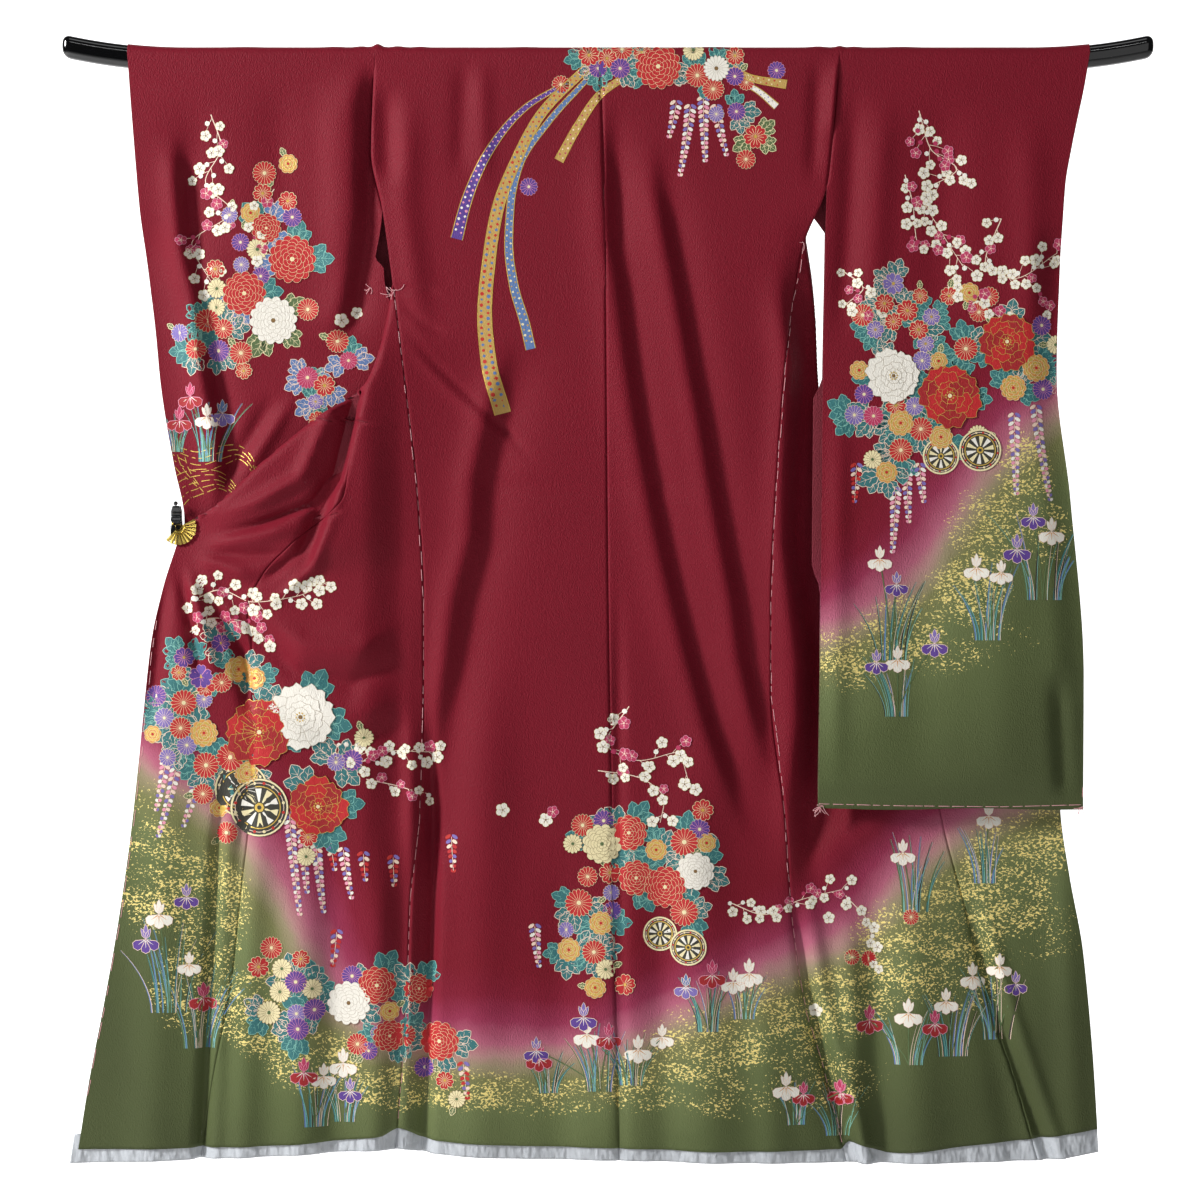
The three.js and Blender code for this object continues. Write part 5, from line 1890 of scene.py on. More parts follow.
@dataclass
class Basting:
    """Running stitches of pale thread along a line of the draft."""

    POINTS = 6  # points of each stitch
    FLATTEST = 8  # a stitch that would reach deeper than this is left out
    name: str
    cells: tuple[Point, ...]
    stitch: float = 13.0
    gap: float = 5.0
    radius: float = 0.42
    stray: float = 0.8
    seed: int = 1

    def runs(self, cloth: ClothFace) -> list[Array]:
        """Lay the stitches on the cloth.

        Args:
            cloth: The cloth's outer face.

        Returns:
            One line for each stitch.
        """
        chance = random.Random(self.seed)
        line = from_draft(self.cells)
        lengths = np.hypot(*np.diff(line, axis=0).T)
        passed = np.concatenate([[0.0], np.cumsum(lengths)])
        stitches = []
        at = 0.0
        while at < passed[-1] - self.stitch:
            end = at + self.stitch * chance.uniform(0.6, 1.5)
            along = np.linspace(at, min(end, passed[-1]), self.POINTS)
            aside = chance.uniform(-self.stray, self.stray)
            x = np.interp(along, passed, line[:, 0]) + aside
            z = np.interp(along, passed, line[:, 1])
            laid = cloth.lay(np.stack([x, z], -1), self.radius * 0.8)
            if len(laid) == self.POINTS and np.ptp(laid[:, 1]) < self.FLATTEST:
                stitches.append(laid)
            at = end + self.gap * chance.uniform(0.5, 1.8)
        return stitches


# ---------- Painted pattern ----------


class Paint(Enum):
    """Colours of the painted pattern."""

    RED = "#b5131a"
    DARK_RED = "#990d15"
    SCARLET = "#b8241c"
    ROSE = "#b02c55"
    PINK = "#dd8fa6"
    PALE = "#e8cdb8"
    WHITE = "#e6e1d6"
    GREY = "#b3a896"
    CREAM = "#e3d6a8"
    OCHRE = "#cd8f45"
    GILT = "#b8954f"
    PURPLE = "#553488"
    LILAC = "#7564a8"
    BLUE = "#5673a3"
    TEAL = "#2a6a6c"
    SEA = "#79b3a6"
    LEAF = "#50653a"
    BRONZE = "#7a5c30"
    INK = "#2e2c22"
    GOLD = "#d3b155"

    def finish(self) -> bpy.types.Material:
        """The paint's material."""
        gilded = self is Paint.GOLD
        return PlainFinish(
            f"paint_{self.name.lower()}",
            self.value,
            0.42 if gilded else 0.6,
            Grain.CREPE,
            metal=0.55 if gilded else 0.0,
        ).make()


def circle(x: float, z: float, r: float, count: int = 10, wide: float = 1.0) -> Array:
    """Points round a circle, widened along x."""
    a = np.linspace(0, 2 * math.pi, count, endpoint=False)
    return np.stack([x + r * wide * np.cos(a), z + r * np.sin(a)], -1)


def polar(x: float, z: float, r: Array, a: Array) -> Array:
    """Points at distances and angles from a place."""
    return np.stack([x + r * np.cos(a), z + r * np.sin(a)], -1)


def swept(points: Array, x: float, z: float, turn: float, size: float = 1.0) -> Array:
    """Turn and size a shape and put it at a place."""
    c, s = math.cos(turn), math.sin(turn)
    return points @ np.array([[c, s], [-s, c]]) * size + (x, z)


def bent_line(cells: Sequence[Point], spacing: float = 5.0) -> Array:
    """A smooth line through cells of the draft, at even steps in millimetres."""
    knots = from_draft(cells)
    passed = np.concatenate([[0.0], np.cumsum(np.hypot(*np.diff(knots, axis=0).T))])
    at = steps(0, float(passed[-1]), spacing)
    return np.stack([curve(passed, knots[:, 0], at), curve(passed, knots[:, 1], at)], -1)


class Sheet:
    """Collects painted shapes over one layer of cloth and lays them on it."""

    STEP = 0.07  # height of one level of paint, in millimetres
    BASE = 0.22  # height of the lowest paint
    FINE = 9.0  # longest run inside a shape, in millimetres
    # A face that bridges two layers of cloth is left out: it reaches deeper than this depth and
    # this share of its width together.
    BRIDGE = 1.5
    BRIDGE_SLOPE = 1.6

    def __init__(self, name: str, cloth: ClothFace, seed: int) -> None:
        """Start an empty sheet."""
        self.name = name
        self.cloth = cloth
        self.chance = random.Random(seed)
        self.points: list[Array] = []
        self.levels: list[Array] = []
        self.faces: list[Array] = []
        self.paints: list[tuple[Paint, int]] = []
        self.count = 0
        self.rank = 0.0

    def add(self, points: Array, faces: Array, paint: Paint, level: float) -> None:
        """Keep a shape's points and faces."""
        self.points.append(points)
        self.levels.append(np.full(len(points), self.BASE + (self.rank + level) * self.STEP))
        self.faces.append(faces + self.count)
        self.paints.append((paint, len(faces)))
        self.count += len(points)

    def fill(self, outline: Array, paint: Paint, level: float = 0.0) -> None:
        """Fill a closed shape that its middle sees all of.

        Args:
            outline: Points round the shape.
            paint: Its colour.
            level: Its place in the paint's layers.
        """
        middle = outline.mean(0)
        reach = float(np.hypot(*(outline - middle).T).max())
        rings = max(1, round(reach / self.FINE))
        n = len(outline)
        shrunk = [middle + (outline - middle) * (1 - k / rings) for k in range(rings)]
        points = np.concatenate([*shrunk, middle[None]])
        i = np.arange(n)
        j = (i + 1) % n
        faces = [
            np.stack([k * n + i, k * n + j, (k + 1) * n + j, (k + 1) * n + i], -1)
            for k in range(rings - 1)
        ]
        last = (rings - 1) * n
        centre = np.full(n, rings * n)
        faces.append(np.stack([last + i, last + j, centre, centre], -1))
        self.add(points, np.concatenate(faces), paint, level)

    def line(
        self,
        path: Array,
        width: float,
        paint: Paint,
        level: float = 1.0,
        closed: bool = False,
        tip: float = 1.0,
    ) -> None:
        """Paint a line.

        Args:
            path: Its points.
            width: Its width.
            paint: Its colour.
            level: Its place in the paint's layers.
            closed: Whether it runs round a shape.
            tip: Share of the width that is left at its end.
        """
        if closed:
            ahead = np.roll(path, -1, 0) - np.roll(path, 1, 0)
        else:
            ahead = np.gradient(path, axis=0)
        ahead = ahead / np.maximum(np.hypot(*ahead.T), 1e-6)[:, None]
        aside = np.stack([-ahead[:, 1], ahead[:, 0]], -1)
        half = (width / 2 * np.linspace(1, tip, len(path)))[:, None]
        n = len(path)
        i = np.arange(n if closed else n - 1)
        j = (i + 1) % n
        faces = np.stack([i, j, n + j, n + i], -1)
        self.add(np.concatenate([path + aside * half, path - aside * half]), faces, paint, level)

    def dot(self, x: float, z: float, r: float, paint: Paint, level: float = 1.0) -> None:
        """Paint a small dot."""
        self.fill(circle(x, z, r, 7), paint, level)

    def build(self) -> bpy.types.Object:
        """Lay everything on the cloth and make one mesh.

        Returns:
            The mesh object.
        """
        flat = np.concatenate(self.points)
        lift = np.concatenate(self.levels)
        laid = np.zeros((len(flat), 3))
        found = np.zeros(len(flat), bool)
        for k, (x, z) in enumerate(flat):
            hit = self.cloth.under(float(x), float(z))
            if hit:
                laid[k] = hit[0] + hit[1] * lift[k]
                found[k] = True
        faces = np.concatenate(self.faces)
        paints = list(dict.fromkeys(paint for paint, _ in self.paints))
        slots = np.concatenate(
            [np.full(count, paints.index(paint)) for paint, count in self.paints]
        )
        corners = laid[faces]
        sides = np.roll(corners, -1, 1) - corners
        deep = np.abs(sides[..., 1]).max(1)
        across = np.hypot(sides[..., 0], sides[..., 2]).max(1)
        whole = found[faces].all(1) & (deep < self.BRIDGE + self.BRIDGE_SLOPE * across)
        kept = [list(dict.fromkeys(face)) for face in faces[whole].tolist()]
        piece = mesh_piece(self.name, laid, kept, [paint.finish() for paint in paints])
        piece.data.polygons.foreach_set("material_index", slots[whole].astype(np.int32))
        piece.data.validate()
        self._drop_loose(piece.data)
        return piece

    def _drop_loose(self, mesh: bpy.types.Mesh) -> None:
        """Take out points that no face uses and turn faces to the viewer."""
        work = bmesh.new()
        work.from_mesh(mesh)
        loose = [v for v in work.verts if not v.link_faces]
        bmesh.ops.delete(work, geom=loose, context="VERTS")
        for face in work.faces:
            if face.normal.y > 0:
                face.normal_flip()
        work.to_mesh(mesh)
        work.free()


# ---------- Motifs ----------


@dataclass(frozen=True)
class FlowerColours:
    """Colours of a flower: its petals, their lines and its heart."""

    petal: Paint
    line: Paint
    heart: Paint
    inner: Paint


RED_BLOOM = FlowerColours(Paint.RED, Paint.CREAM, Paint.CREAM, Paint.RED)
DARK_BLOOM = FlowerColours(Paint.DARK_RED, Paint.GOLD, Paint.CREAM, Paint.RED)
WHITE_BLOOM = FlowerColours(Paint.WHITE, Paint.GREY, Paint.BRONZE, Paint.WHITE)
CREAM_BLOOM = FlowerColours(Paint.CREAM, Paint.BRONZE, Paint.LEAF, Paint.CREAM)
OCHRE_BLOOM = FlowerColours(Paint.OCHRE, Paint.CREAM, Paint.RED, Paint.GOLD)
PURPLE_BLOOM = FlowerColours(Paint.PURPLE, Paint.PINK, Paint.CREAM, Paint.PURPLE)
LILAC_BLOOM = FlowerColours(Paint.LILAC, Paint.PALE, Paint.CREAM, Paint.BLUE)
ROSE_BLOOM = FlowerColours(Paint.ROSE, Paint.PINK, Paint.CREAM, Paint.ROSE)
SCARLET_BLOOM = FlowerColours(Paint.SCARLET, Paint.CREAM, Paint.CREAM, Paint.RED)


class Kind(Enum):
    """Kinds of flower in the pattern."""

    POMPON = "pompon"
    DAISY = "daisy"
    PEONY = "peony"
    PLUM = "plum"
    CHERRY = "cherry"


def scallops(x: float, z: float, r: float, petals: int, turn: float, depth: float = 0.13) -> Array:
    """Outline of a disc with rounded petal ends."""
    a = np.linspace(0, 2 * math.pi, petals * 4, endpoint=False)
    wave = np.abs(np.cos(a * petals / 2)) ** 0.6
    return polar(x, z, r * (1 - depth + depth * wave), a + turn)


def pompon(sheet: Sheet, x: float, z: float, r: float, colours: FlowerColours) -> None:
    """Paint a full chrysanthemum with rings of short petals."""
    turn = sheet.chance.uniform(0, 6.28)
    rings = 6 if r > 24 else 5 if r > 17 else 4
    for k in range(rings):
        reach = r * (1 - k / (rings + 0.4)) ** 0.92
        petals = max(6, round(reach * (0.42 if r > 24 else 0.56)))
        paint = colours.petal if k % 2 == 0 else colours.inner
        outline = scallops(x, z, reach, petals, turn + k * 0.21)
        sheet.fill(outline, paint, k * 1.5)
        sheet.line(outline, 0.42, colours.line, k * 1.5 + 0.8, closed=True)
        inner = reach - r * 0.17
        for p in range(petals):
            a = turn + k * 0.21 + math.pi * (2 * p + 1) / petals
            notch = polar(x, z, np.array([inner, reach * 0.9]), np.array([a, a]))
            sheet.line(notch, 0.34, colours.line, k * 1.5 + 0.8)
    sheet.dot(x, z, max(2.2, r * 0.1), colours.heart, rings * 1.5)


def daisy(sheet: Sheet, x: float, z: float, r: float, colours: FlowerColours) -> None:
    """Paint an open chrysanthemum with one ring of long petals."""
    turn = sheet.chance.uniform(0, 6.28)
    petals = 18 if r > 15 else 15 if r > 11 else 12
    outline = scallops(x, z, r, petals, turn, 0.16)
    sheet.fill(outline, colours.petal, 0)
    sheet.line(outline, 0.5, colours.line, 0.9, closed=True)
    for p in range(petals):
        a = turn + math.pi * (2 * p + 1) / petals
        ray = polar(x, z, np.array([r * 0.18, r * 0.55, r * 0.88]), np.full(3, a))
        sheet.line(ray, 0.42, colours.line, 0.9)
    sheet.dot(x, z, r * 0.17, colours.heart, 1.8)


def peony(sheet: Sheet, x: float, z: float, r: float, colours: FlowerColours) -> None:
    """Paint a peony: broad wavy petals in three rounds and a golden heart."""
    turn = sheet.chance.uniform(0, 6.28)
    a = np.linspace(-1, 1, 11)
    for ring, (reach, petals) in enumerate(((1.0, 7), (0.74, 6), (0.5, 5), (0.28, 4))):
        for p in range(petals):
            middle = turn + ring * 0.5 + 2 * math.pi * p / petals + sheet.chance.uniform(-0.1, 0.1)
            size = r * reach * sheet.chance.uniform(0.93, 1.05)
            frill = 1 + 0.055 * np.cos(a * 9.4 + p) - 0.24 * a**4
            rim = polar(x, z, size * frill, middle + a * math.pi / petals * 1.32)
            foot = polar(x, z, np.full(2, r * 0.06), middle + np.array([1.0, -1.0]))
            outline = np.concatenate([rim, foot])
            level = ring * 3 + (p % 2) * 1.2 + (0.6 if p == petals - 1 else 0)
            paint = colours.petal if (p + ring) % 2 else colours.inner
            sheet.fill(outline, paint, level)
            sheet.line(outline, 0.6, colours.line, level + 0.6, closed=True)
            beside = middle - 0.2 * math.pi / petals
            vein = polar(x, z, size * np.array([0.5, 0.72, 0.86]), np.full(3, beside))
            sheet.line(vein, 0.5, colours.line, level + 0.6, tip=0.4)
    for p in range(9):
        b = turn + p * 0.7
        sheet.dot(*polar(x, z, np.array(r * 0.13), np.array(b)), 1.3, Paint.GOLD, 13)
    sheet.dot(x, z, r * 0.07, colours.heart, 13.5)


def plum(sheet: Sheet, x: float, z: float, r: float, colours: FlowerColours) -> None:
    """Paint a plum blossom with five round petals."""
    turn = sheet.chance.uniform(0, 6.28)
    for p in range(5):
        a = turn + 2 * math.pi * p / 5
        petal = circle(x + 0.55 * r * math.cos(a), z + 0.55 * r * math.sin(a), 0.46 * r, 9)
        level = (0, 0.8, 0, 0.8, 1.6)[p]
        sheet.fill(petal, colours.petal, level)
        sheet.line(petal, 0.55, colours.line, level + 0.4, closed=True)
    sheet.dot(x, z, r * 0.3, colours.petal, 2.4)
    for p in range(5):
        a = turn + 2 * math.pi * (p + 0.5) / 5
        ray = polar(x, z, np.array([0.06 * r, 0.5 * r]), np.full(2, a))
        sheet.line(ray, 0.6, colours.heart, 3)
    sheet.dot(x, z, r * 0.13, colours.heart, 3.4)


def cherry(sheet: Sheet, x: float, z: float, r: float, colours: FlowerColours) -> None:
    """Paint a cherry blossom: five notched petals with lines."""
    turn = sheet.chance.uniform(0, 6.28)
    for p in range(5):
        a = turn + 2 * math.pi * p / 5
        b = np.linspace(-1, 1, 9)
        rim = polar(x, z, r * (1 - 0.14 * (np.abs(b) < 0.15) - 0.3 * b**4), a + b * 0.66)
        outline = np.concatenate([rim, [[x, z]]])
        level = (0, 0.8, 0, 0.8, 1.6)[p]
        sheet.fill(outline, colours.petal, level)
        sheet.line(outline, 0.65, colours.line, level + 0.4, closed=True)
        for tilt in (-0.22, 0.22):
            vein = polar(x, z, np.array([0.2, 0.7]) * r, np.full(2, a + tilt))
            sheet.line(vein, 0.6, colours.line, level + 0.4)
    sheet.dot(x, z, r * 0.16, Paint.GOLD, 3)


FLOWERS: dict[Kind, Callable[[Sheet, float, float, float, FlowerColours], None]] = {
    Kind.POMPON: pompon,
    Kind.DAISY: daisy,
    Kind.PEONY: peony,
    Kind.PLUM: plum,
    Kind.CHERRY: cherry,
}


def leaf(
    sheet: Sheet, x: float, z: float, turn: float, size: float, paint: Paint, line: Paint
) -> None:
    """Paint a lobed leaf that starts at a place.

    Args:
        sheet: The sheet.
        x: Where it starts.
        z: Where it starts.
        turn: Its direction.
        size: Its length.
        paint: Its colour.
        line: The colour of its edge and veins.
    """
    t = np.linspace(0.02, 1, 13)
    lobes = 0.74 + 0.26 * np.abs(np.sin(3 * math.pi * t))
    half = 0.36 * np.sin(math.pi * t**0.85) ** 0.75 * lobes
    shape = np.concatenate([np.stack([t, half], -1), np.stack([t[-2::-1], -half[-2::-1]], -1)])
    outline = swept(shape, x, z, turn, size)
    level = sheet.chance.choice((0, 0.8, 1.6))
    sheet.fill(outline, paint, level)
    sheet.line(outline, 0.9, line, level + 0.5, closed=True)
    rib = swept(np.array([(0.03, 0), (0.4, 0.01), (0.92, 0)]), x, z, turn, size)
    sheet.line(rib, 0.9, line, level + 0.5, tip=0.4)
    for foot, side in ((0.3, 1), (0.3, -1), (0.55, 1), (0.55, -1)):
        vein = np.array([(foot, 0), (foot + 0.17, 0.17 * side)])
        sheet.line(swept(vein, x, z, turn, size), 0.6, line, level + 0.5, tip=0.5)


def leaves(
    sheet: Sheet, x: float, z: float, turn: float, size: float, paint: Paint, line: Paint
) -> None:
    """Paint three leaves that spread from a place."""
    for spread, share in ((-0.75, 0.82), (0.75, 0.86), (0.0, 1.0)):
        leaf(sheet, x, z, turn + spread, size * share, paint, line)


def blade(
    sheet: Sheet,
    foot: Point,
    lean: float,
    high: float,
    wide: float,
    paint: Paint,
    edge: Paint,
) -> None:
    """Paint an iris leaf that rises and bends over."""
    x, z = foot
    t = np.linspace(0, 1, 9)
    path = np.stack([x + lean * high * t**1.8, z + high * (t - 0.1 * abs(lean) * t**3)], -1)
    sheet.line(path, wide, paint, 0.2, tip=0.15)
    sheet.line(path + (wide * 0.42, 0), 0.8, edge, 0.9, tip=0.4)


def iris_bloom(sheet: Sheet, x: float, z: float, size: float, colours: FlowerColours) -> None:
    """Paint an iris flower: two upright petals and three that hang."""
    for lean, high in ((-0.42, 0.62), (0.42, 0.62), (0.0, 0.78)):
        petal = np.array([(0, 0), (-0.17, 0.35), (-0.1, 0.72), (0, 0.9), (0.1, 0.72), (0.17, 0.35)])
        sheet.fill(swept(petal * high, x, z, -lean, size), colours.inner, 0.4 + lean)
        sheet.line(swept(petal * high, x, z, -lean, size), 0.7, colours.line, 1 + lean, closed=True)
    for k, (turn, far) in enumerate(((3.75, 0.72), (5.67, 0.72), (4.71, 0.66))):
        petal = np.array(
            [(0, 0), (0.3, 0.15), (0.6, 0.32), (0.86, 0.29), (1, 0), (0.86, -0.29), (0.6, -0.32)]
            + [(0.3, -0.15)]
        )
        outline = swept(petal, x, z, turn, size * far)
        sheet.fill(outline, colours.petal, 2 + k * 0.8)
        sheet.line(outline, 0.8, colours.line, 2.5 + k * 0.8, closed=True)
        vein = swept(np.array([(0.1, 0), (0.6, 0.0)]), x, z, turn, size * far)
        sheet.line(vein, 1.5, colours.heart, 2.6 + k * 0.8, tip=0.2)


def iris_plant(
    sheet: Sheet,
    x: float,
    z: float,
    high: float,
    blooms: Sequence[tuple[float, float, FlowerColours]],
) -> None:
    """Paint a clump of iris.

    Args:
        sheet: The sheet.
        x: Its foot.
        z: Its foot.
        high: Height of its tallest leaf.
        blooms: Place beside the foot, share of the height and colours of each flower.
    """
    paints = (Paint.LEAF, Paint.TEAL, Paint.LEAF, Paint.BLUE, Paint.INK)
    for _ in range(sheet.chance.randint(12, 16)):
        foot = x + sheet.chance.uniform(-0.2, 0.2) * high
        lean = (foot - x) / high * 2 + sheet.chance.uniform(-0.22, 0.22)
        tall = high * sheet.chance.uniform(0.55, 1.0)
        edge = sheet.chance.choice((Paint.SEA, Paint.PALE, Paint.SEA))
        wide = sheet.chance.uniform(2.0, 3.4)
        blade(sheet, (foot, z), lean, tall, wide, sheet.chance.choice(paints), edge)
    for aside, share, colours in blooms:
        bx, bz = x + aside * high, z + share * high
        stem = np.stack([mix(x, bx, np.linspace(0, 1, 6) ** 1.4), np.linspace(z, bz, 6)], -1)
        sheet.line(stem, 1.6, Paint.LEAF, 1)
        sheet.rank += 2
        iris_bloom(sheet, bx, bz, sheet.chance.uniform(26, 32), colours)
        sheet.rank -= 2


def wisteria(
    sheet: Sheet, x: float, z: float, long: float, drift: float, paints: Sequence[Paint]
) -> None:
    """Paint a hanging string of small florets that grows narrower downwards."""
    count = round(long / 6.0)
    t = np.linspace(0, 1, count)
    path = np.stack([x + drift * t**1.3, z - long * t], -1)
    sheet.line(path, 0.8, Paint.PALE, 0)
    for k, (px, pz) in enumerate(path):
        half = 8.2 * (1 - 0.62 * t[k])
        for side in (-1, 1):
            paint = paints[(k + (side > 0)) % len(paints)]
            tilt = side * 0.6
            petal = circle(0, 0, 1.0, 8) * (half * 0.6, 2.6)
            sheet.fill(swept(petal, px + side * half * 0.6, pz, -tilt), paint, 0.6 + (k % 2) * 0.6)
        if k % 2 == 0:
            sheet.dot(float(px), float(pz), 0.9, Paint.ROSE, 2.2)


def wheel(sheet: Sheet, x: float, z: float, r: float, tilt: float) -> None:
    """Paint a carriage wheel with spokes, a rim and a hub."""
    sheet.fill(circle(x, z, r, 32), Paint.INK, 0)
    for reach, width, paint in (
        (0.96, 2.4, Paint.CREAM),
        (0.72, 1.5, Paint.GOLD),
        (0.84, 0.9, Paint.PALE),
    ):
        sheet.line(circle(x, z, r * reach, 32), width, paint, 1, closed=True)
    for k in range(16):
        a = tilt + 2 * math.pi * k / 16
        bead = polar(x, z, np.array(r * 0.84), np.array(a))
        paint = Paint.SCARLET if k % 2 else Paint.CREAM
        sheet.dot(float(bead[0]), float(bead[1]), r * 0.055, paint, 2)
    for k in range(10):
        a = tilt + 2 * math.pi * k / 10
        spoke = np.concatenate(
            [
                polar(x, z, np.array([0.2, 0.66]) * r, np.array([a - 0.12, a - 0.17])),
                polar(x, z, np.array([0.66, 0.2]) * r, np.array([a + 0.17, a + 0.12])),
            ]
        )
        sheet.fill(spoke, Paint.WHITE if k % 2 else Paint.CREAM, 1.2)
    sheet.dot(x, z, r * 0.17, Paint.GOLD, 2)
    sheet.dot(x, z, r * 0.08, Paint.INK, 2.6)


@dataclass(frozen=True)
class Ribbon:
    """A long band of brocade with gold edges and a small repeated figure."""

    cells: tuple[Point, ...]
    start: float
    end: float
    ground: Paint
    figure: Paint
    second: Paint

    def draw(self, sheet: Sheet) -> None:
        """Paint the ribbon."""
        path = bent_line(self.cells, 4.0)
        ahead = np.gradient(path, axis=0)
        ahead /= np.hypot(*ahead.T)[:, None]
        aside = np.stack([-ahead[:, 1], ahead[:, 0]], -1)
        half = np.linspace(self.start, self.end, len(path))[:, None] / 2
        n = len(path)
        rails = [path + aside * half * share for share in (1, 0.34, -0.34, -1)]
        i = np.arange(n - 1)
        faces = np.concatenate(
            [np.stack([i, i + 1, n + i + 1, n + i], -1) + k * n for k in range(3)]
        )
        sheet.add(np.concatenate(rails), faces, self.ground, 0)
        sheet.line(rails[0], 1.2, Paint.GOLD, 1)
        sheet.line(rails[3], 1.2, Paint.GOLD, 1)
        for k in range(2, n - 2, 2):
            width = float(half[k, 0])
            for share in (-0.5, 0.5):
                place = path[k] + aside[k] * width * share + ahead[k] * (2 if share > 0 else -1)
                paint = self.figure if (k // 2) % 2 == (share > 0) else self.second
                size = width * sheet.chance.uniform(0.2, 0.34)
                diamond = np.array([(0, 1), (0.9, 0), (0, -1), (-0.9, 0)])
                mark = diamond if k % 4 else circle(0, 0, 0.9, 7)
                tilt = math.atan2(ahead[k, 1], ahead[k, 0])
                sheet.fill(swept(mark, place[0], place[1], tilt, size), paint, 1)


@dataclass(frozen=True)
class Spray:
    """A twig with blossoms of plum along it."""

    cells: tuple[Point, ...]
    blossoms: int
    size: float = 9.0
    red: float = 0.4  # share of red blossoms
    spread: float = 9.0
    twig: Paint = Paint.PALE

    def draw(self, sheet: Sheet) -> None:
        """Paint the twig and its blossoms."""
        path = bent_line(self.cells)
        sheet.line(path, 1.5, self.twig, 0, tip=0.5)
        ahead = np.gradient(path, axis=0)
        n = len(path)
        for k in range(self.blossoms):
            at = min(n - 1, int((k + sheet.chance.uniform(0.2, 0.8)) / self.blossoms * n))
            side = 1 if k % 2 else -1
            turn = math.atan2(ahead[at, 1], ahead[at, 0]) + side * sheet.chance.uniform(0.5, 1.3)
            long = self.spread * sheet.chance.uniform(0.3, 1.5)
            reach = np.linspace(0, long, 4)
            twig = polar(path[at, 0], path[at, 1], reach, turn - side * 0.25 * reach / (long + 1))
            sheet.line(twig, 0.9, self.twig, 0.3, tip=0.5)
            sheet.rank += 2 + (k % 3) * 4
            rosy = sheet.chance.random() < self.red
            colours = ROSE_PLUM if rosy else WHITE_PLUM
            plum(sheet, *twig[-1], self.size * sheet.chance.uniform(0.66, 0.9), colours)
            if long > self.spread * 0.8:
                bud = twig[1] + (sheet.chance.uniform(-4, 4), sheet.chance.uniform(-4, 4))
                sheet.dot(*bud, self.size * 0.36, Paint.ROSE if rosy else Paint.WHITE, 0)
            sheet.rank -= 2 + (k % 3) * 4


WHITE_PLUM = FlowerColours(Paint.WHITE, Paint.CREAM, Paint.BRONZE, Paint.WHITE)
ROSE_PLUM = FlowerColours(Paint.ROSE, Paint.PINK, Paint.PALE, Paint.ROSE)
WHITE_IRIS = FlowerColours(Paint.WHITE, Paint.PALE, Paint.OCHRE, Paint.WHITE)
PURPLE_IRIS = FlowerColours(Paint.PURPLE, Paint.PALE, Paint.WHITE, Paint.LILAC)
RED_IRIS = FlowerColours(Paint.DARK_RED, Paint.PINK, Paint.WHITE, Paint.ROSE)
LILAC_IRIS = FlowerColours(Paint.LILAC, Paint.PALE, Paint.WHITE, Paint.BLUE)


@dataclass(frozen=True)
class Bloom:
    """One flower of a bouquet, in cells of the draft."""

    kind: Kind
    colours: FlowerColours
    column: float
    row: float
    size: float

    def draw(self, sheet: Sheet) -> None:
        """Paint the flower."""
        x, z = from_draft([(self.column, self.row)])[0]
        FLOWERS[self.kind](sheet, float(x), float(z), self.size * CELL, self.colours)


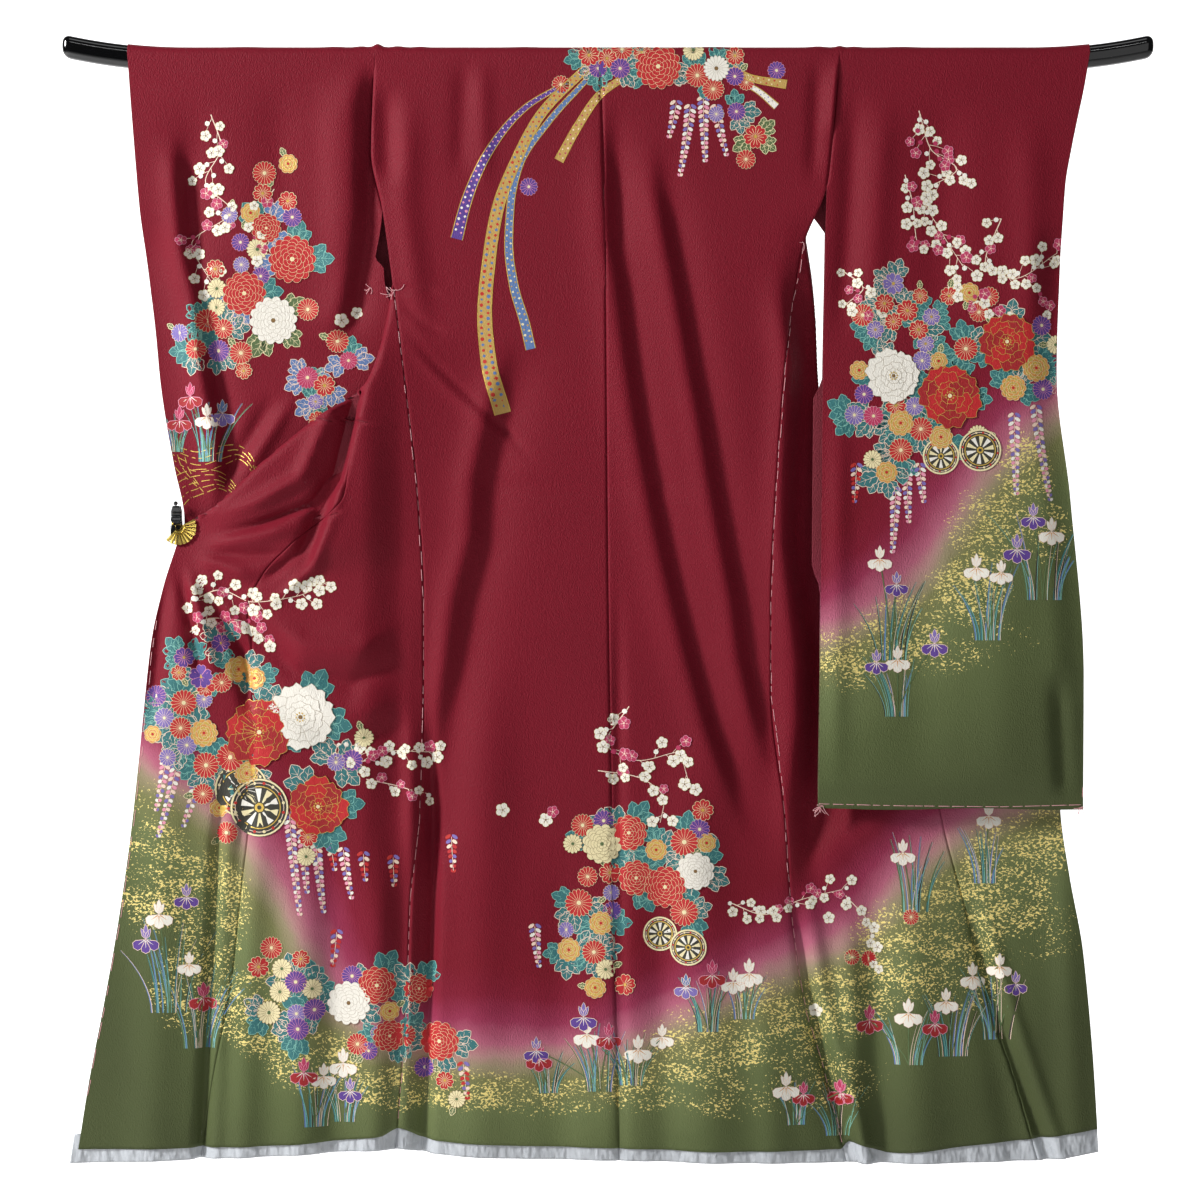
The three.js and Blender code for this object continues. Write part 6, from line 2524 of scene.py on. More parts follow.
@dataclass(frozen=True)
class Bouquet:
    """A bunch of flowers: large ones at given places, small ones and leaves round them."""

    ABOVE = 6  # levels that the flowers lie over the leaves
    BETWEEN = 1.2  # levels between one large flower and the next
    TRIES = 30  # places that are tried for each small flower
    LEAF_FROM = 0.78  # where a leaf starts, as a share of its flower's radius
    SMALL_LEAF_FROM = 0.85
    SMALL_LEAF_SIZE = 1.3
    TOUCHING = 0.82  # least distance of a small flower from its neighbour, in their radii
    CLOSEST = 0.74  # least distance of a small flower from any other
    blooms: tuple[Bloom, ...]
    small: tuple[tuple[Kind, FlowerColours, float], ...]
    count: int
    leaf_size: float = 36.0
    leaf_paints: tuple[tuple[Paint, Paint], ...] = (
        (Paint.TEAL, Paint.SEA),
        (Paint.TEAL, Paint.PALE),
    )
    scatter: float = 1.25

    def draw(self, sheet: Sheet) -> None:
        """Paint leaves first, then small flowers round the large ones, then these."""
        chance = sheet.chance
        places = [(b.column, b.row, b.size) for b in self.blooms]
        middle = np.mean([p[:2] for p in places], 0)
        for column, row, size in places:
            outward = math.atan2(middle[1] - row, column - middle[0])
            for turn in (outward - 0.6, outward + 0.7, outward + chance.uniform(2, 4)):
                x, z = from_draft([(column, row)])[0]
                reach = size * CELL * self.LEAF_FROM
                paint, line = chance.choice(self.leaf_paints)
                sx, sz = x + reach * math.cos(turn), z + reach * math.sin(turn)
                leaves(sheet, sx, sz, turn, self.leaf_size * chance.uniform(0.7, 1.0), paint, line)
        sheet.rank += self.ABOVE
        taken = list(places)
        for _ in range(self.count * self.TRIES):
            if len(taken) - len(places) >= self.count:
                break
            kind, colours, size = self.small[(len(taken) - len(places)) % len(self.small)]
            column, row, near = chance.choice(taken)
            a = chance.uniform(0, 6.28)
            reach = (near + size) * chance.uniform(self.TOUCHING, self.scatter)
            c, r = column + reach * math.cos(a), row + reach * math.sin(a)
            if all(
                math.hypot(c - tc, r - tr) > (size + ts) * self.CLOSEST for tc, tr, ts in taken
            ):
                taken.append((c, r, size))
                Bloom(kind, colours, c, r, size * chance.uniform(0.88, 1.1)).draw(sheet)
                if chance.random() < 0.5:
                    x, z = from_draft([(c, r)])[0]
                    b = chance.uniform(0, 6.28)
                    reach = size * CELL * self.SMALL_LEAF_FROM
                    sx, sz = x + reach * math.cos(b), z + reach * math.sin(b)
                    sheet.rank -= 3
                    leaf(sheet, sx, sz, b, size * self.SMALL_LEAF_SIZE, Paint.LEAF, Paint.CREAM)
                    sheet.rank += 3
        for bloom in sorted(self.blooms, key=lambda b: b.size):
            sheet.rank += self.BETWEEN
            bloom.draw(sheet)
        sheet.rank -= self.ABOVE + self.BETWEEN * len(self.blooms)


@dataclass(frozen=True)
class Clump:
    """Iris in the pattern: foot and height in cells, and the flowers over the foot."""

    column: float
    row: float
    high: float
    blooms: tuple[tuple[float, float, FlowerColours], ...]

    def draw(self, sheet: Sheet) -> None:
        """Paint the clump."""
        x, z = from_draft([(self.column, self.row)])[0]
        iris_plant(sheet, float(x), float(z), self.high * CELL, self.blooms)


@dataclass(frozen=True)
class Strings:
    """Strings of wisteria: top, length and drift of each, in cells."""

    places: tuple[tuple[float, float, float, float], ...]
    paints: tuple[Paint, ...]

    def draw(self, sheet: Sheet) -> None:
        """Paint the strings."""
        for column, row, long, drift in self.places:
            x, z = from_draft([(column, row)])[0]
            wisteria(sheet, float(x), float(z), long * CELL, drift * CELL, self.paints)


@dataclass(frozen=True)
class Wheels:
    """Carriage wheels: place and radius of each, in cells."""

    ABOVE = 9  # levels that the wheels lie over the flowers
    places: tuple[tuple[float, float, float], ...]

    def draw(self, sheet: Sheet) -> None:
        """Paint the wheels over what lies round them."""
        lowest = sheet.rank
        sheet.rank += self.ABOVE
        for column, row, size in self.places:
            x, z = from_draft([(column, row)])[0]
            wheel(sheet, float(x), float(z), size * CELL, sheet.chance.uniform(0, 1))
            sheet.rank += 3
        sheet.rank = lowest


@dataclass(frozen=True)
class Swirl:
    """Gold lines of short dashes that flow beside one another."""

    cells: tuple[Point, ...]
    lines: int = 3
    apart: float = 6.0
    paint: Paint = Paint.GOLD

    def draw(self, sheet: Sheet) -> None:
        """Paint the dashes."""
        path = bent_line(self.cells, 3.0)
        ahead = np.gradient(path, axis=0)
        ahead /= np.hypot(*ahead.T)[:, None]
        aside = np.stack([-ahead[:, 1], ahead[:, 0]], -1)
        spread = (0.7 + 0.5 * np.sin(np.linspace(0, 5, len(path))))[:, None]
        for k in range(self.lines):
            rail = path + aside * self.apart * (k - (self.lines - 1) / 2) * spread
            at = sheet.chance.randint(0, 4)
            while at < len(rail) - 3:
                long = sheet.chance.randint(3, 7)
                sheet.line(rail[at : at + long], 1.0, self.paint, 0)
                at += long + 1


def blooms(
    kind: Kind, colours: FlowerColours, *places: tuple[float, float, float]
) -> tuple[Bloom, ...]:
    """Flowers of one kind at places, each a column, a row and a radius."""
    return tuple(Bloom(kind, colours, *place) for place in places)


@dataclass(frozen=True)
class PatternLayer:
    """The painted pattern of one layer of cloth."""

    name: str
    shells: tuple[str, ...]
    seed: int
    motifs: tuple[object, ...]

    def build(self, shells: dict[str, Shell]) -> bpy.types.Object:
        """Paint all motifs on the layer's cloth."""
        sheet = Sheet(self.name, ClothFace([shells[name] for name in self.shells]), self.seed)
        for motif in self.motifs:
            motif.draw(sheet)
            sheet.rank = (sheet.rank + 0.4) % 2.0
        return sheet.build()


MIXED_LEAVES = ((Paint.TEAL, Paint.SEA), (Paint.LEAF, Paint.CREAM), (Paint.BLUE, Paint.PALE))
SMALL_MIX = (
    (Kind.DAISY, PURPLE_BLOOM, 10),
    (Kind.CHERRY, RED_BLOOM, 10),
    (Kind.DAISY, CREAM_BLOOM, 10),
    (Kind.DAISY, LILAC_BLOOM, 9),
    (Kind.DAISY, RED_BLOOM, 11),
    (Kind.POMPON, OCHRE_BLOOM, 10),
)
RED_MIX = (
    (Kind.DAISY, RED_BLOOM, 11),
    (Kind.CHERRY, SCARLET_BLOOM, 9),
    (Kind.DAISY, LILAC_BLOOM, 9),
    (Kind.POMPON, OCHRE_BLOOM, 10),
    (Kind.CHERRY, ROSE_BLOOM, 9),
)
FLORETS = (Paint.PALE, Paint.LILAC, Paint.WHITE, Paint.PINK)
RED_FLORETS = (Paint.SCARLET, Paint.LILAC, Paint.PALE, Paint.RED)

LEFT_SLEEVE_MOTIFS = (
    Spray(
        ((212, 116), (222, 148), (206, 182), (232, 212), (192, 244), (214, 286)),
        28, 10.3, 0.3, 19,
    ),
    Spray(((275, 190), (256, 218), (262, 258)), 9, 9.9, 0.35, 11),
    Clump(
        210, 462, 62,
        ((-0.03, 0.72, WHITE_IRIS), (0.2, 0.78, LILAC_IRIS), (-0.3, 1.05, RED_IRIS)),
    ),
    Clump(176, 452, 40, ((0.1, 0.8, RED_IRIS),)),
    Swirl(((172, 452), (200, 462), (236, 452), (254, 470), (240, 490)), 4, 8),
    Swirl(((168, 512), (186, 486), (216, 480), (238, 500), (232, 514)), 5, 8),
    Swirl(((174, 436), (180, 462), (204, 492)), 3, 8),
    Bouquet(
        (
            *blooms(Kind.POMPON, RED_BLOOM, (267, 229, 15), (293, 260, 24), (245, 294, 22)),
            *blooms(Kind.POMPON, WHITE_BLOOM, (274, 321, 24)),
        ),
        SMALL_MIX,
        15,
        leaf_paints=MIXED_LEAVES,
    ),
    Bouquet(
        (
            *blooms(Kind.DAISY, RED_BLOOM, (208, 321, 12), (224, 329, 10), (197, 350, 10)),
            *blooms(Kind.DAISY, PURPLE_BLOOM, (219, 351, 11)),
        ),
        RED_MIX,
        3,
        leaf_size=30,
    ),
    Bouquet(
        (
            *blooms(Kind.DAISY, ROSE_BLOOM, (349, 361, 9), (308, 378, 11)),
            *blooms(Kind.CHERRY, RED_BLOOM, (325, 386, 11)),
            *blooms(Kind.CHERRY, LILAC_BLOOM, (316, 402, 8)),
        ),
        RED_MIX,
        2,
        leaf_size=28,
        leaf_paints=((Paint.BLUE, Paint.PALE), (Paint.TEAL, Paint.SEA)),
    ),
    *blooms(Kind.PLUM, WHITE_PLUM, (342, 321, 7), (357, 313, 6), (332, 340, 6)),
)

BACK_MOTIFS = (
    Ribbon(
        (
            (586, 82), (548, 124), (520, 166), (511, 205), (509, 246), (514, 286), (525, 324),
            (531, 350),
        ),
        7, 14, Paint.BLUE, Paint.CREAM, Paint.GILT,
    ),
    Ribbon(
        ((622, 80), (600, 96), (579, 126), (559, 162)),
        9, 13, Paint.GILT, Paint.ROSE, Paint.PALE,
    ),
    Ribbon(
        (
            (588, 68), (541, 116), (515, 165), (498, 210), (490, 256), (485, 315), (489, 362),
            (503, 414),
        ),
        11, 23, Paint.GILT, Paint.SCARLET, Paint.BLUE,
    ),
    Ribbon(
        ((556, 90), (527, 108), (502, 134), (481, 168), (467, 202), (457, 240)),
        6, 17, Paint.PURPLE, Paint.WHITE, Paint.PINK,
    ),
    Ribbon(((727, 66), (752, 80), (786, 86)), 7, 12, Paint.GILT, Paint.SCARLET, Paint.CREAM),
    Ribbon(((738, 82), (757, 92), (776, 108)), 6, 10, Paint.WHITE, Paint.GREY, Paint.LILAC),
    Strings(
        ((690, 108, 68, -10), (703, 100, 62, 2), (716, 108, 48, 10), (676, 104, 34, -7)),
        FLORETS,
    ),
    Bouquet(
        (
            *blooms(Kind.POMPON, RED_BLOOM, (658, 68, 23)),
            *blooms(Kind.DAISY, WHITE_BLOOM, (716, 70, 13)),
            *blooms(Kind.DAISY, RED_BLOOM, (697, 77, 12)),
            *blooms(Kind.DAISY, PURPLE_BLOOM, (736, 113, 9)),
        ),
        SMALL_MIX,
        8,
        leaf_size=30,
    ),
    Bouquet(
        (
            *blooms(Kind.CHERRY, RED_BLOOM, (589, 57, 11), (607, 60, 10)),
            *blooms(Kind.DAISY, PURPLE_BLOOM, (620, 70, 10), (598, 70, 9)),
        ),
        RED_MIX,
        3,
        leaf_size=26,
    ),
    Bouquet(
        blooms(Kind.CHERRY, RED_BLOOM, (755, 138, 12)), RED_MIX, 1, 26,
        ((Paint.LEAF, Paint.CREAM),),
    ),
    *blooms(Kind.DAISY, PURPLE_BLOOM, (529, 188, 9), (776, 72, 9)),
    *blooms(Kind.DAISY, RED_BLOOM, (561, 86, 9), (746, 84, 8)),
    Spray(((629, 706), (606, 742), (640, 760), (676, 752), (690, 786)), 16, 10.6, 0.25, 19),
    Spray(((598, 770), (636, 776), (664, 800), (660, 822)), 9, 9.9, 0.35, 16),
    Spray(((730, 902), (764, 914), (800, 900), (842, 890)), 18, 8.8, 0.1, 15),
    *blooms(Kind.PLUM, WHITE_PLUM, (503, 809, 7), (546, 819, 7)),
    *blooms(Kind.PLUM, ROSE_PLUM, (553, 811, 6)),
    Clump(
        600, 1090, 74,
        ((-0.86, 0.55, PURPLE_IRIS), (-0.22, 1.0, PURPLE_IRIS), (0.12, 0.74, RED_IRIS)),
    ),
    Clump(
        632, 1084, 60,
        ((-0.75, 0.85, WHITE_IRIS), (0.1, 0.6, WHITE_IRIS), (0.5, 0.8, WHITE_IRIS)),
    ),
    Clump(
        708, 1030, 62,
        ((-0.36, 0.72, LILAC_IRIS), (0.06, 0.92, RED_IRIS), (0.4, 0.8, WHITE_IRIS)),
    ),
    Clump(744, 1018, 48, ((0.1, 0.95, WHITE_IRIS),)),
    Clump(796, 1124, 52, ((-0.2, 0.74, WHITE_IRIS), (0.14, 0.58, RED_IRIS), (0.84, 0.6, RED_IRIS))),
    Clump(548, 1092, 44, ((-0.2, 0.8, RED_IRIS),)),
    Bouquet(
        (
            *blooms(Kind.POMPON, CREAM_BLOOM, (602, 843, 20)),
            *blooms(Kind.POMPON, RED_BLOOM, (629, 832, 18), (636, 877, 18), (665, 886, 21)),
            *blooms(Kind.POMPON, WHITE_BLOOM, (695, 870, 19)),
            *blooms(
                Kind.DAISY, RED_BLOOM, (684, 841, 14), (579, 902, 14), (594, 951, 12),
                (684, 911, 14),
            ),
            *blooms(Kind.POMPON, OCHRE_BLOOM, (601, 922, 12), (569, 949, 12), (656, 849, 11)),
        ),
        SMALL_MIX,
        14,
    ),
    Wheels(((660, 933, 17), (688, 946, 18))),
    Bouquet(
        (
            *blooms(Kind.POMPON, RED_BLOOM, (419, 988, 15), (440, 1040, 20)),
            *blooms(Kind.DAISY, RED_BLOOM, (404, 1034, 12)),
        ),
        SMALL_MIX,
        5,
    ),
    Strings(((452, 836, 34, 2), (464, 1062, 34, 4)), RED_FLORETS),
    Strings(((535, 925, 40, 4),), FLORETS),
)

RIGHT_SLEEVE_MOTIFS = (
    Spray(
        ((918, 112), (930, 150), (956, 170), (922, 196), (940, 232), (962, 268)),
        32, 10.1, 0.3, 21,
    ),
    Spray(((904, 176), (912, 206), (916, 242), (952, 252)), 12, 9.9, 0.3, 16),
    Spray(((1000, 220), (984, 262), (1012, 280), (1056, 254)), 18, 9.9, 0.3, 18),
    Spray(((946, 286), (976, 304), (1000, 320)), 12, 9.5, 0.25, 14),
    Spray(((840, 270), (862, 290), (846, 306), (878, 318)), 12, 9.0, 0.2, 12),
    Spray(((1022, 280), (1040, 298), (1050, 312)), 5, 9.2, 0.4, 10),
    Strings(
        (
            (894, 490, 62, -3), (905, 470, 52, 2), (1012, 416, 78, 2), (1034, 408, 92, 14),
            (918, 466, 36, 4),
        ),
        FLORETS,
    ),
    Clump(
        896, 716, 66,
        ((-0.32, 0.82, PURPLE_IRIS), (0.0, 0.86, WHITE_IRIS), (0.56, 1.1, PURPLE_IRIS)),
    ),
    Clump(890, 660, 84, ((0.06, 0.9, PURPLE_IRIS), (-0.14, 1.2, WHITE_IRIS))),
    Clump(
        986, 640, 84,
        ((-0.14, 0.86, WHITE_IRIS), (0.15, 0.8, WHITE_IRIS), (0.34, 1.08, PURPLE_IRIS)),
    ),
    Clump(1040, 600, 92, ((0.1, 0.74, WHITE_IRIS), (-0.1, 0.9, PURPLE_IRIS))),
    Bouquet(
        (
            *blooms(Kind.CHERRY, LILAC_BLOOM, (892, 285, 11)),
            *blooms(
                Kind.CHERRY, RED_BLOOM, (883, 305, 10), (906, 312, 11), (892, 323, 9),
                (917, 331, 10),
            ),
            *blooms(Kind.CHERRY, LILAC_BLOOM, (930, 318, 9), (874, 331, 9), (924, 345, 9)),
        ),
        RED_MIX,
        5,
        leaf_size=29,
    ),
    Bouquet(
        (
            *blooms(Kind.PEONY, WHITE_BLOOM, (892, 377, 27)),
            *blooms(Kind.PEONY, DARK_BLOOM, (948, 397, 31), (1005, 343, 28)),
            *blooms(Kind.POMPON, OCHRE_BLOOM, (1034, 369, 14), (1011, 389, 13), (899, 424, 13)),
            *blooms(Kind.POMPON, OCHRE_BLOOM, (939, 438, 12), (885, 473, 11)),
            *blooms(Kind.DAISY, RED_BLOOM, (919, 430, 12), (899, 451, 12), (964, 350, 12)),
            *blooms(Kind.DAISY, LILAC_BLOOM, (853, 416, 10)),
            *blooms(Kind.DAISY, ROSE_BLOOM, (872, 417, 10)),
        ),
        SMALL_MIX,
        15,
    ),
    Wheels(((939, 457, 18), (978, 451, 21))),
    Strings(((855, 466, 36, -2),), RED_FLORETS),
)

LEFT_FRONT_MOTIFS = (
    Spray(((184, 608), (222, 590), (256, 602), (300, 596), (330, 582)), 23, 10.3, 0.15, 18),
    Spray(((192, 632), (214, 618), (240, 620), (274, 644)), 15, 10.1, 0.45, 15),
    Spray(((340, 742), (364, 760), (396, 750), (436, 752)), 18, 9.9, 0.25, 18),
    Spray(((368, 778), (394, 784), (430, 794)), 7, 9.5, 0.3, 11),
    Strings(
        (
            (180, 760, 74, -18), (199, 780, 44, -12), (292, 812, 100, 10), (318, 836, 74, 7),
            (345, 848, 48, 8), (305, 830, 60, 4), (170, 752, 56, -10),
        ),
        FLORETS,
    ),
    Clump(
        172, 1010, 96,
        ((-0.1, 1.02, WHITE_IRIS), (0.18, 1.2, PURPLE_IRIS), (-0.24, 0.76, PURPLE_IRIS)),
    ),
    Clump(200, 1046, 84, ((-0.1, 1.0, WHITE_IRIS), (0.06, 0.6, RED_IRIS))),
    Clump(
        316, 1124, 64,
        ((-0.16, 0.86, RED_IRIS), (0.14, 0.78, WHITE_IRIS), (0.44, 0.98, WHITE_IRIS)),
    ),
    Clump(346, 1120, 52, ((0.1, 0.6, PURPLE_IRIS),)),
    Bouquet(
        (
            *blooms(Kind.CHERRY, PURPLE_BLOOM, (223, 643, 9), (187, 657, 10), (204, 676, 12)),
            *blooms(Kind.POMPON, OCHRE_BLOOM, (240, 669, 13), (257, 678, 11)),
        ),
        RED_MIX,
        3,
        leaf_size=29,
    ),
    Bouquet(
        (
            *blooms(Kind.PEONY, DARK_BLOOM, (262, 731, 34), (320, 805, 29)),
            *blooms(Kind.PEONY, WHITE_BLOOM, (303, 716, 32)),
            *blooms(Kind.POMPON, OCHRE_BLOOM, (207, 732, 14), (249, 772, 12)),
            *blooms(
                Kind.DAISY, RED_BLOOM, (187, 702, 13), (233, 756, 14), (209, 764, 13),
                (184, 727, 11),
            ),
            *blooms(Kind.DAISY, LILAC_BLOOM, (168, 717, 10), (190, 744, 10), (338, 761, 9)),
        ),
        SMALL_MIX,
        12,
        leaf_size=42,
    ),
    Wheels(((244, 788, 27), (262, 806, 29))),
    Strings(
        ((317, 835, 30, 3), (333, 842, 26, 3), (365, 852, 26, 2), (394, 856, 28, 1)),
        RED_FLORETS,
    ),
    Bouquet(
        (
            *blooms(Kind.POMPON, RED_BLOOM, (378, 983, 19), (390, 1034, 16)),
            *blooms(Kind.POMPON, WHITE_BLOOM, (350, 1001, 22)),
            *blooms(Kind.DAISY, CREAM_BLOOM, (314, 986, 10), (271, 1010, 12)),
            *blooms(Kind.DAISY, PURPLE_BLOOM, (298, 979, 11), (316, 1007, 11), (300, 1026, 11)),
        ),
        SMALL_MIX,
        9,
    ),
    Strings(((338, 930, 34, -4),), RED_FLORETS),
)

RIGHT_FRONT_MOTIFS = (
    Spray(((846, 896), (870, 926), (878, 974)), 8, 9.2, 0.25, 11),
    *blooms(Kind.PLUM, WHITE_PLUM, (816, 1011, 7), (829, 918, 6)),
    *blooms(Kind.DAISY, RED_BLOOM, (911, 917, 8), (852, 957, 8), (869, 959, 8)),
    Clump(912, 912, 84, ((-0.1, 0.7, WHITE_IRIS),)),
    Clump(986, 884, 66, ((0.06, 1.02, WHITE_IRIS),)),
    Clump(908, 1064, 66, ((0.0, 0.78, WHITE_IRIS), (0.4, 0.62, RED_IRIS), (-0.58, 0.66, RED_IRIS))),
    Clump(952, 1056, 76, ((-0.08, 0.72, WHITE_IRIS), (0.28, 1.04, WHITE_IRIS))),
    Clump(1000, 1040, 80, ((0.0, 0.92, WHITE_IRIS), (0.2, 0.7, PURPLE_IRIS))),
    Clump(838, 1136, 56, ((0.05, 0.78, RED_IRIS),)),
)

PATTERN = (
    PatternLayer("painting_sleeve_left", ("sleeve_left",), 11, LEFT_SLEEVE_MOTIFS),
    PatternLayer("painting_back", ("body_left", "body_right", "collar"), 23, BACK_MOTIFS),
    PatternLayer("painting_sleeve_right", ("sleeve_right",), 37, RIGHT_SLEEVE_MOTIFS),
    PatternLayer("painting_front_left", ("body_left", "okumi_left"), 41, LEFT_FRONT_MOTIFS),
    PatternLayer("painting_front_right", ("body_right", "okumi_right"), 53, RIGHT_FRONT_MOTIFS),
)


# ---------- Stage, light and camera ----------


@dataclass
class Studio:
    """Pale sweep behind and below the garment, soft lights and the camera."""

    distance: float = 4.7
    centre: tuple[float, float] = (-0.0114, -0.7722)
    view_width: float = 1.716
    floor: float = -1.86
    wall: float = 8.0
    curve: float = 2.5
    reach: float = 12.0
    film: float = 36.0  # width of the camera's film, in millimetres
    glow: float = 0.92  # strength of the sweep's own light
    floor_glow: float = 0.12  # share of it on the floor before the garment
    glow_start: float = 0.6  # depth at which the share begins to rise
    glow_full: float = 1.15  # depth at which it is full
    ambient: float = 0.055

    def sweep(self) -> bpy.types.Object:
        """Floor that curves up into the backdrop."""
        start, bend = self.wall - self.curve, self.curve
        profile = [(-self.reach, self.floor), (start, self.floor)]
        profile += [
            (start + bend * math.sin(a), self.floor + bend * (1 - math.cos(a)))
            for a in np.linspace(0, math.pi / 2, 14)[1:]
        ]
        profile += [(self.wall, self.reach)]
        points = [(x, y, z) for y, z in profile for x in (-self.reach, self.reach)]
        faces = [[2 * i, 2 * i + 1, 2 * i + 3, 2 * i + 2] for i in range(len(profile) - 1)]
        mesh = bpy.data.meshes.new("studio_sweep")
        mesh.from_pydata(points, [], faces)
        mesh.polygons.foreach_set("use_smooth", np.ones(len(mesh.polygons), bool))
        material, wires, shader = surface("studio_white")
        place = wires.add("TexCoord").outputs["Object"]
        paper = wires.noise(place, 3, in_Detail=2.0)
        wires.join(wires.range(paper.outputs[0], 0, 1, 0.85, 0.95), shader.inputs["Roughness"])
        shader.inputs["Base Color"].default_value = (0.9, 0.9, 0.9, 1)
        height = wires.add("SeparateXYZ")
        wires.join(place, height.inputs[0])
        glow = wires.range(height.outputs["Z"], self.floor, self.floor + 0.6, 0.97, 1.0)
        behind = wires.range(
            height.outputs["Y"], self.glow_start, self.glow_full, self.floor_glow, 1.0
        )
        wires.join(wires.math("MULTIPLY", glow, behind), shader.inputs["Emission Color"])
        shader.inputs["Emission Strength"].default_value = self.glow
        mesh.materials.append(material)
        piece = bpy.data.objects.new("studio_sweep", mesh)
        bpy.context.scene.collection.objects.link(piece)
        return piece

    def light(
        self,
        name: str,
        place: tuple[float, float, float],
        aim: tuple[float, float, float],
        size: tuple[float, float],
        power: float,
        colour: Colour = (1, 1, 1),
    ) -> None:
        """Add a soft box.

        Args:
            name: The light's name.
            place: Where it stands.
            aim: What it points at.
            size: Its width and height.
            power: Its power in watts.
            colour: Its colour.
        """
        lamp = bpy.data.lights.new(name, "AREA")
        lamp.shape = "RECTANGLE"
        lamp.size, lamp.size_y = size
        lamp.energy = power
        lamp.color = colour
        holder = bpy.data.objects.new(name, lamp)
        holder.location = place
        holder.rotation_euler = (Vector(aim) - Vector(place)).to_track_quat("-Z", "Y").to_euler()
        bpy.context.scene.collection.objects.link(holder)

    def camera(self) -> None:
        """Put the camera straight in front of the garment's back."""
        lens = bpy.data.cameras.new("camera")
        lens.sensor_width = self.film
        lens.sensor_fit = "HORIZONTAL"
        lens.lens = self.film * self.distance / self.view_width
        lens.clip_end = 60
        holder = bpy.data.objects.new("camera", lens)
        holder.location = (self.centre[0], -self.distance, self.centre[1])
        holder.rotation_euler = (math.pi / 2, 0, 0)
        bpy.context.scene.collection.objects.link(holder)
        bpy.context.scene.camera = holder

    def build(self) -> None:
        """Set up the whole studio."""
        self.camera()
        self.sweep()
        middle = (0.0, 0.0, -0.75)
        self.light("key", (-4.8, -2.4, 1.55), middle, (0.85, 1.7), 440)
        self.light("fill", (2.2, -4.4, 0.4), middle, (2.0, 2.0), 7)
        self.light("rod_line", (0.0, -3.4, 1.75), (0, 0, 0), (3.4, 0.05), 9)
        self.light("top", (0.0, -1.6, 2.6), (0, 0, -0.3), (2.6, 0.8), 10)
        world = bpy.data.worlds.new("studio")
        world.use_nodes = True
        background = world.node_tree.nodes["Background"]
        background.inputs[0].default_value = (1, 1, 1, 1)
        background.inputs[1].default_value = self.ambient
        bpy.context.scene.world = world
        bpy.context.scene.view_settings.view_transform = "Standard"


# ---------- The whole garment ----------


BASTING_LINES = {
    "body": (
        Basting(
            "left side seam",
            ((394, 290), (409, 410), (418, 491), (424, 600), (424, 690), (420, 818), (411, 900))
            + ((407, 1000), (403, 1066), (398, 1127)),
            seed=3,
        ),
        Basting(
            "right side seam",
            ((803, 244), (800, 270), (793, 300), (788, 339), (783, 390), (775, 500), (771, 600))
            + ((771, 690), (779, 757), (785, 819), (787, 864), (792, 918), (798, 968), (807, 1014))
            + ((821, 1057), (833, 1105), (843, 1143)),
            seed=5,
        ),
        Basting(
            "left front edge",
            ((162, 597), (156, 640), (150, 696), (144, 762), (136, 831), (123, 918), (109, 997))
            + ((100, 1040), (93, 1079), (84, 1120)),
            stitch=20,
            gap=12,
            radius=0.3,
            seed=7,
        ),
    ),
    "sleeve_right": (
        Basting(
            "sleeve foot",
            ((818, 803), (900, 805), (1000, 806), (1080, 804)),
            15, 3, 0.5, 0.5, 11,
        ),
        Basting("sleeve edge", ((1084, 690), (1083, 760), (1081, 800)), 12, 14, 0.3, seed=13),
    ),
    "sleeve_left": (
        Basting(
            "cuff edge",
            ((142, 240), (148, 300), (154, 360), (162, 430)),
            12, 26, 0.3, seed=17,
        ),
    ),
}
# Loose ends of thread: place in cells, and the shell they hang on.
LOOSE_ENDS = (
    ("body", 396, 291, 5), ("body", 392, 296, 4), ("body", 803, 243, 3),
    ("sleeve_right", 819, 806, 7), ("sleeve_right", 1080, 806, 5), ("sleeve_right", 822, 805, 3),
    ("sleeve_left", 371, 288, 5), ("body", 161, 596, 3),
)  # fmt: skip


@dataclass(frozen=True)
class Cut:
    """The cut of one piece of cloth: its rectangle and its flat area, in metres."""

    flat: tuple[float, float]
    area: float | None = None
    held: str = "hung"
    rests_on: tuple[str, ...] = ()


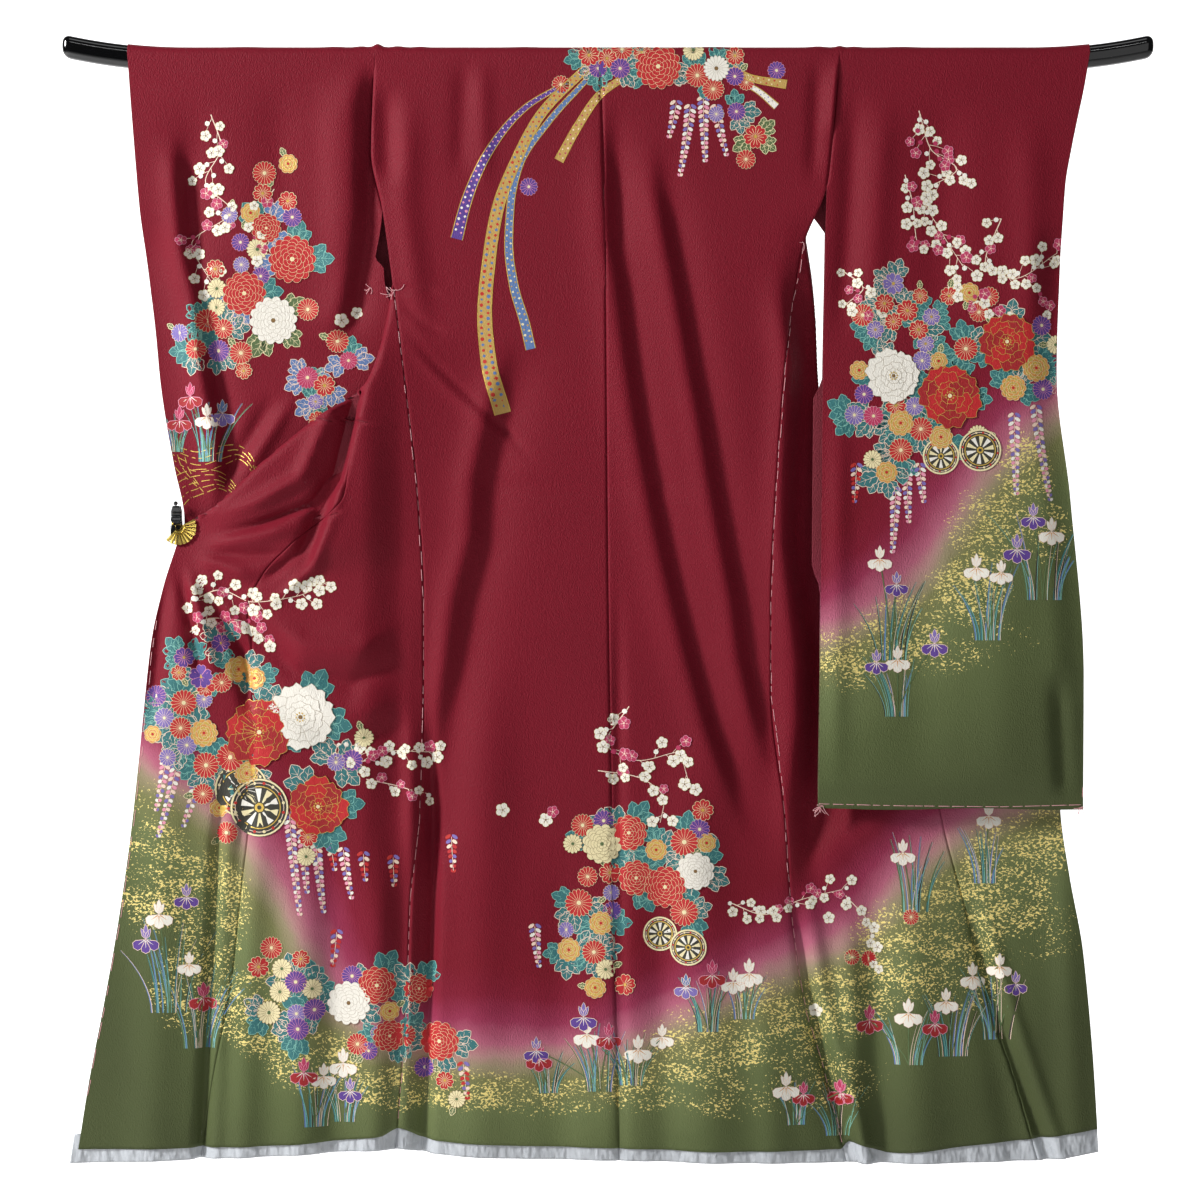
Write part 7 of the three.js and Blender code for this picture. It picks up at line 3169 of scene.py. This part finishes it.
class Furisode:
    """The garment on its rod: makes the pieces in order and hides the CAD nodes that they replace.
    """

    def __init__(self) -> None:
        """Prepare the finishes."""
        self.silk = DyedSilk("dyed_silk").make()
        self.reverse = DyedSilk("dyed_silk_reverse", sanded=False, faded=0.18).make()
        self.satin = PlainFinish("satin", "#b4b8bd", 0.27, Grain.SATIN, uneven=0.06).make()
        self.lacquer = PlainFinish("lacquer", "#020203", 0.06, coat=0.6, uneven=0.02).make()
        self.gold = PlainFinish("fan_gold", "#d9bd62", 0.24, metal=1.0, uneven=0.08).make()
        self.black = PlainFinish("black_enamel", "#0b0b0d", 0.2, metal=0.0, coat=0.6).make()
        self.thread = PlainFinish("basting_thread", "#e7a9ad", 0.8, Grain.THREAD, sheen=0.3).make()
        self.shells: dict[str, Shell] = {}
        self.pieces: dict[str, bpy.types.Object] = {}

    def keep(self, piece: bpy.types.Object, slot: str, *nodes: str) -> bpy.types.Object:
        """Hide the CAD nodes that a piece replaces and let it move with the body.

        Args:
            piece: The piece.
            slot: Not used.
            nodes: CAD nodes that it replaces.

        Returns:
            The piece.
        """
        if nodes:
            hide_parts(*nodes)
        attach(piece, "root")
        self.pieces[piece.name] = piece
        LOG.info("%s: %d faces", piece.name, len(piece.data.polygons))
        return piece

    def cloth(self) -> None:
        """Make the silk pieces."""
        drape = Drape(FOLDS + SMALL_FOLDS)
        for side in Side:
            for kind, maker in (
                ("body", Body(drape, side)),
                ("okumi", Okumi(drape, side)),
                ("sleeve", Sleeve(side, SLEEVE_FOLDS[side])),
            ):
                node = f"{kind}_{side.label}"
                self.shells[node] = maker.shell()
                self.keep(self.shells[node].build(self.silk, self.reverse), "silk_crepe", node)
        collar = Collar(drape).shell()
        self.shells["collar"] = collar
        self.keep(collar.build(self.silk, self.reverse), "silk_crepe", "collar")

    def facings(self) -> None:
        """Make the white strips below the hem."""
        for side in Side:
            for panel, last_row, beyond in (
                ("back", False, 0.0),
                ("front", True, 0.0),
                ("okumi", True, 9.0 if side is Side.LEFT else 0.0),
            ):
                source = self.shells[f"{'okumi' if panel == 'okumi' else 'body'}_{side.label}"]
                name = f"facing_{panel}_{side.label}"
                strip = HemFacing(source, f"satin_{name}", last_row, beyond).shell()
                piece = strip.build(self.satin, self.satin)
                self.keep(piece, "white_satin", name)

    def rod_and_clip(self) -> None:
        """Make the rod and the clip."""
        self.keep(Rod().build(self.lacquer), "black_lacquer", "rod")
        clip = FanClip()
        self.keep(clip.fan(self.gold), "gold_metal", "clip_fan")
        for name, towards in (("clip_jaw_front", -1.0), ("clip_jaw_back", 1.0)):
            piece = clip.jaw(f"clip_{name[5:]}_strip", towards, -7.0, self.black)
            self.keep(piece, "black_metal", name)
        self.keep(clip.pin(self.black), "black_metal", "clip_pin")
        black = clip.ball("lever_knob", (-616.0, -17.6, -634.5), 3.2, self.black)
        self.keep(black, "black_metal", "clip_ball_black")
        gold = clip.ball("gold_knob", (-620.0, -18.5, -663.0), 2.0, self.gold)
        self.keep(gold, "gold_metal", "clip_ball_gold")

    def painting(self) -> None:
        """Lay the painted pattern on the silk."""
        for layer in PATTERN:
            self.keep(layer.build(self.shells), "silk_crepe")

    def threads(self) -> None:
        """Make the running stitches and the loose ends of thread."""
        groups = {
            "body": ("body_left", "okumi_left", "body_right", "okumi_right"),
            "sleeve_left": ("sleeve_left",),
            "sleeve_right": ("sleeve_right",),
        }
        chance = random.Random(71)
        for group, names in groups.items():
            cloth = ClothFace([self.shells[name] for name in names])
            runs = [run for line in BASTING_LINES[group] for run in line.runs(cloth)]
            for where, column, row, count in LOOSE_ENDS:
                hit = cloth.under(*from_draft([(column, row)])[0]) if where == group else None
                for _ in range(count if hit else 0):
                    turn, long = chance.uniform(2.6, 6.0), chance.uniform(6, 17)
                    t = np.linspace(0, 1, 7)
                    bend = chance.uniform(-0.9, 0.9)
                    x = hit[0].x + long * t * np.cos(turn + bend * t)
                    z = hit[0].z + long * t * np.sin(turn + bend * t)
                    runs.append(np.stack([x, hit[0].y - 0.6 - 1.5 * t, z], -1))
            points, faces = tube(f"thread_{group}", runs, 0.42, 5)
            self.keep(mesh_piece(f"thread_{group}", points, faces, [self.thread]), "silk_crepe")

    def build(self) -> None:
        """Make everything in order."""
        self.cloth()
        self.facings()
        self.rod_and_clip()
        self.painting()
        self.threads()


def main() -> None:
    """Build the studio and the garment."""
    logging.basicConfig(level=logging.INFO, format="%(name)s: %(message)s")
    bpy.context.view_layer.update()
    Studio().build()
    Furisode().build()
    bpy.context.view_layer.update()


if __name__ == "__main__":
    main()
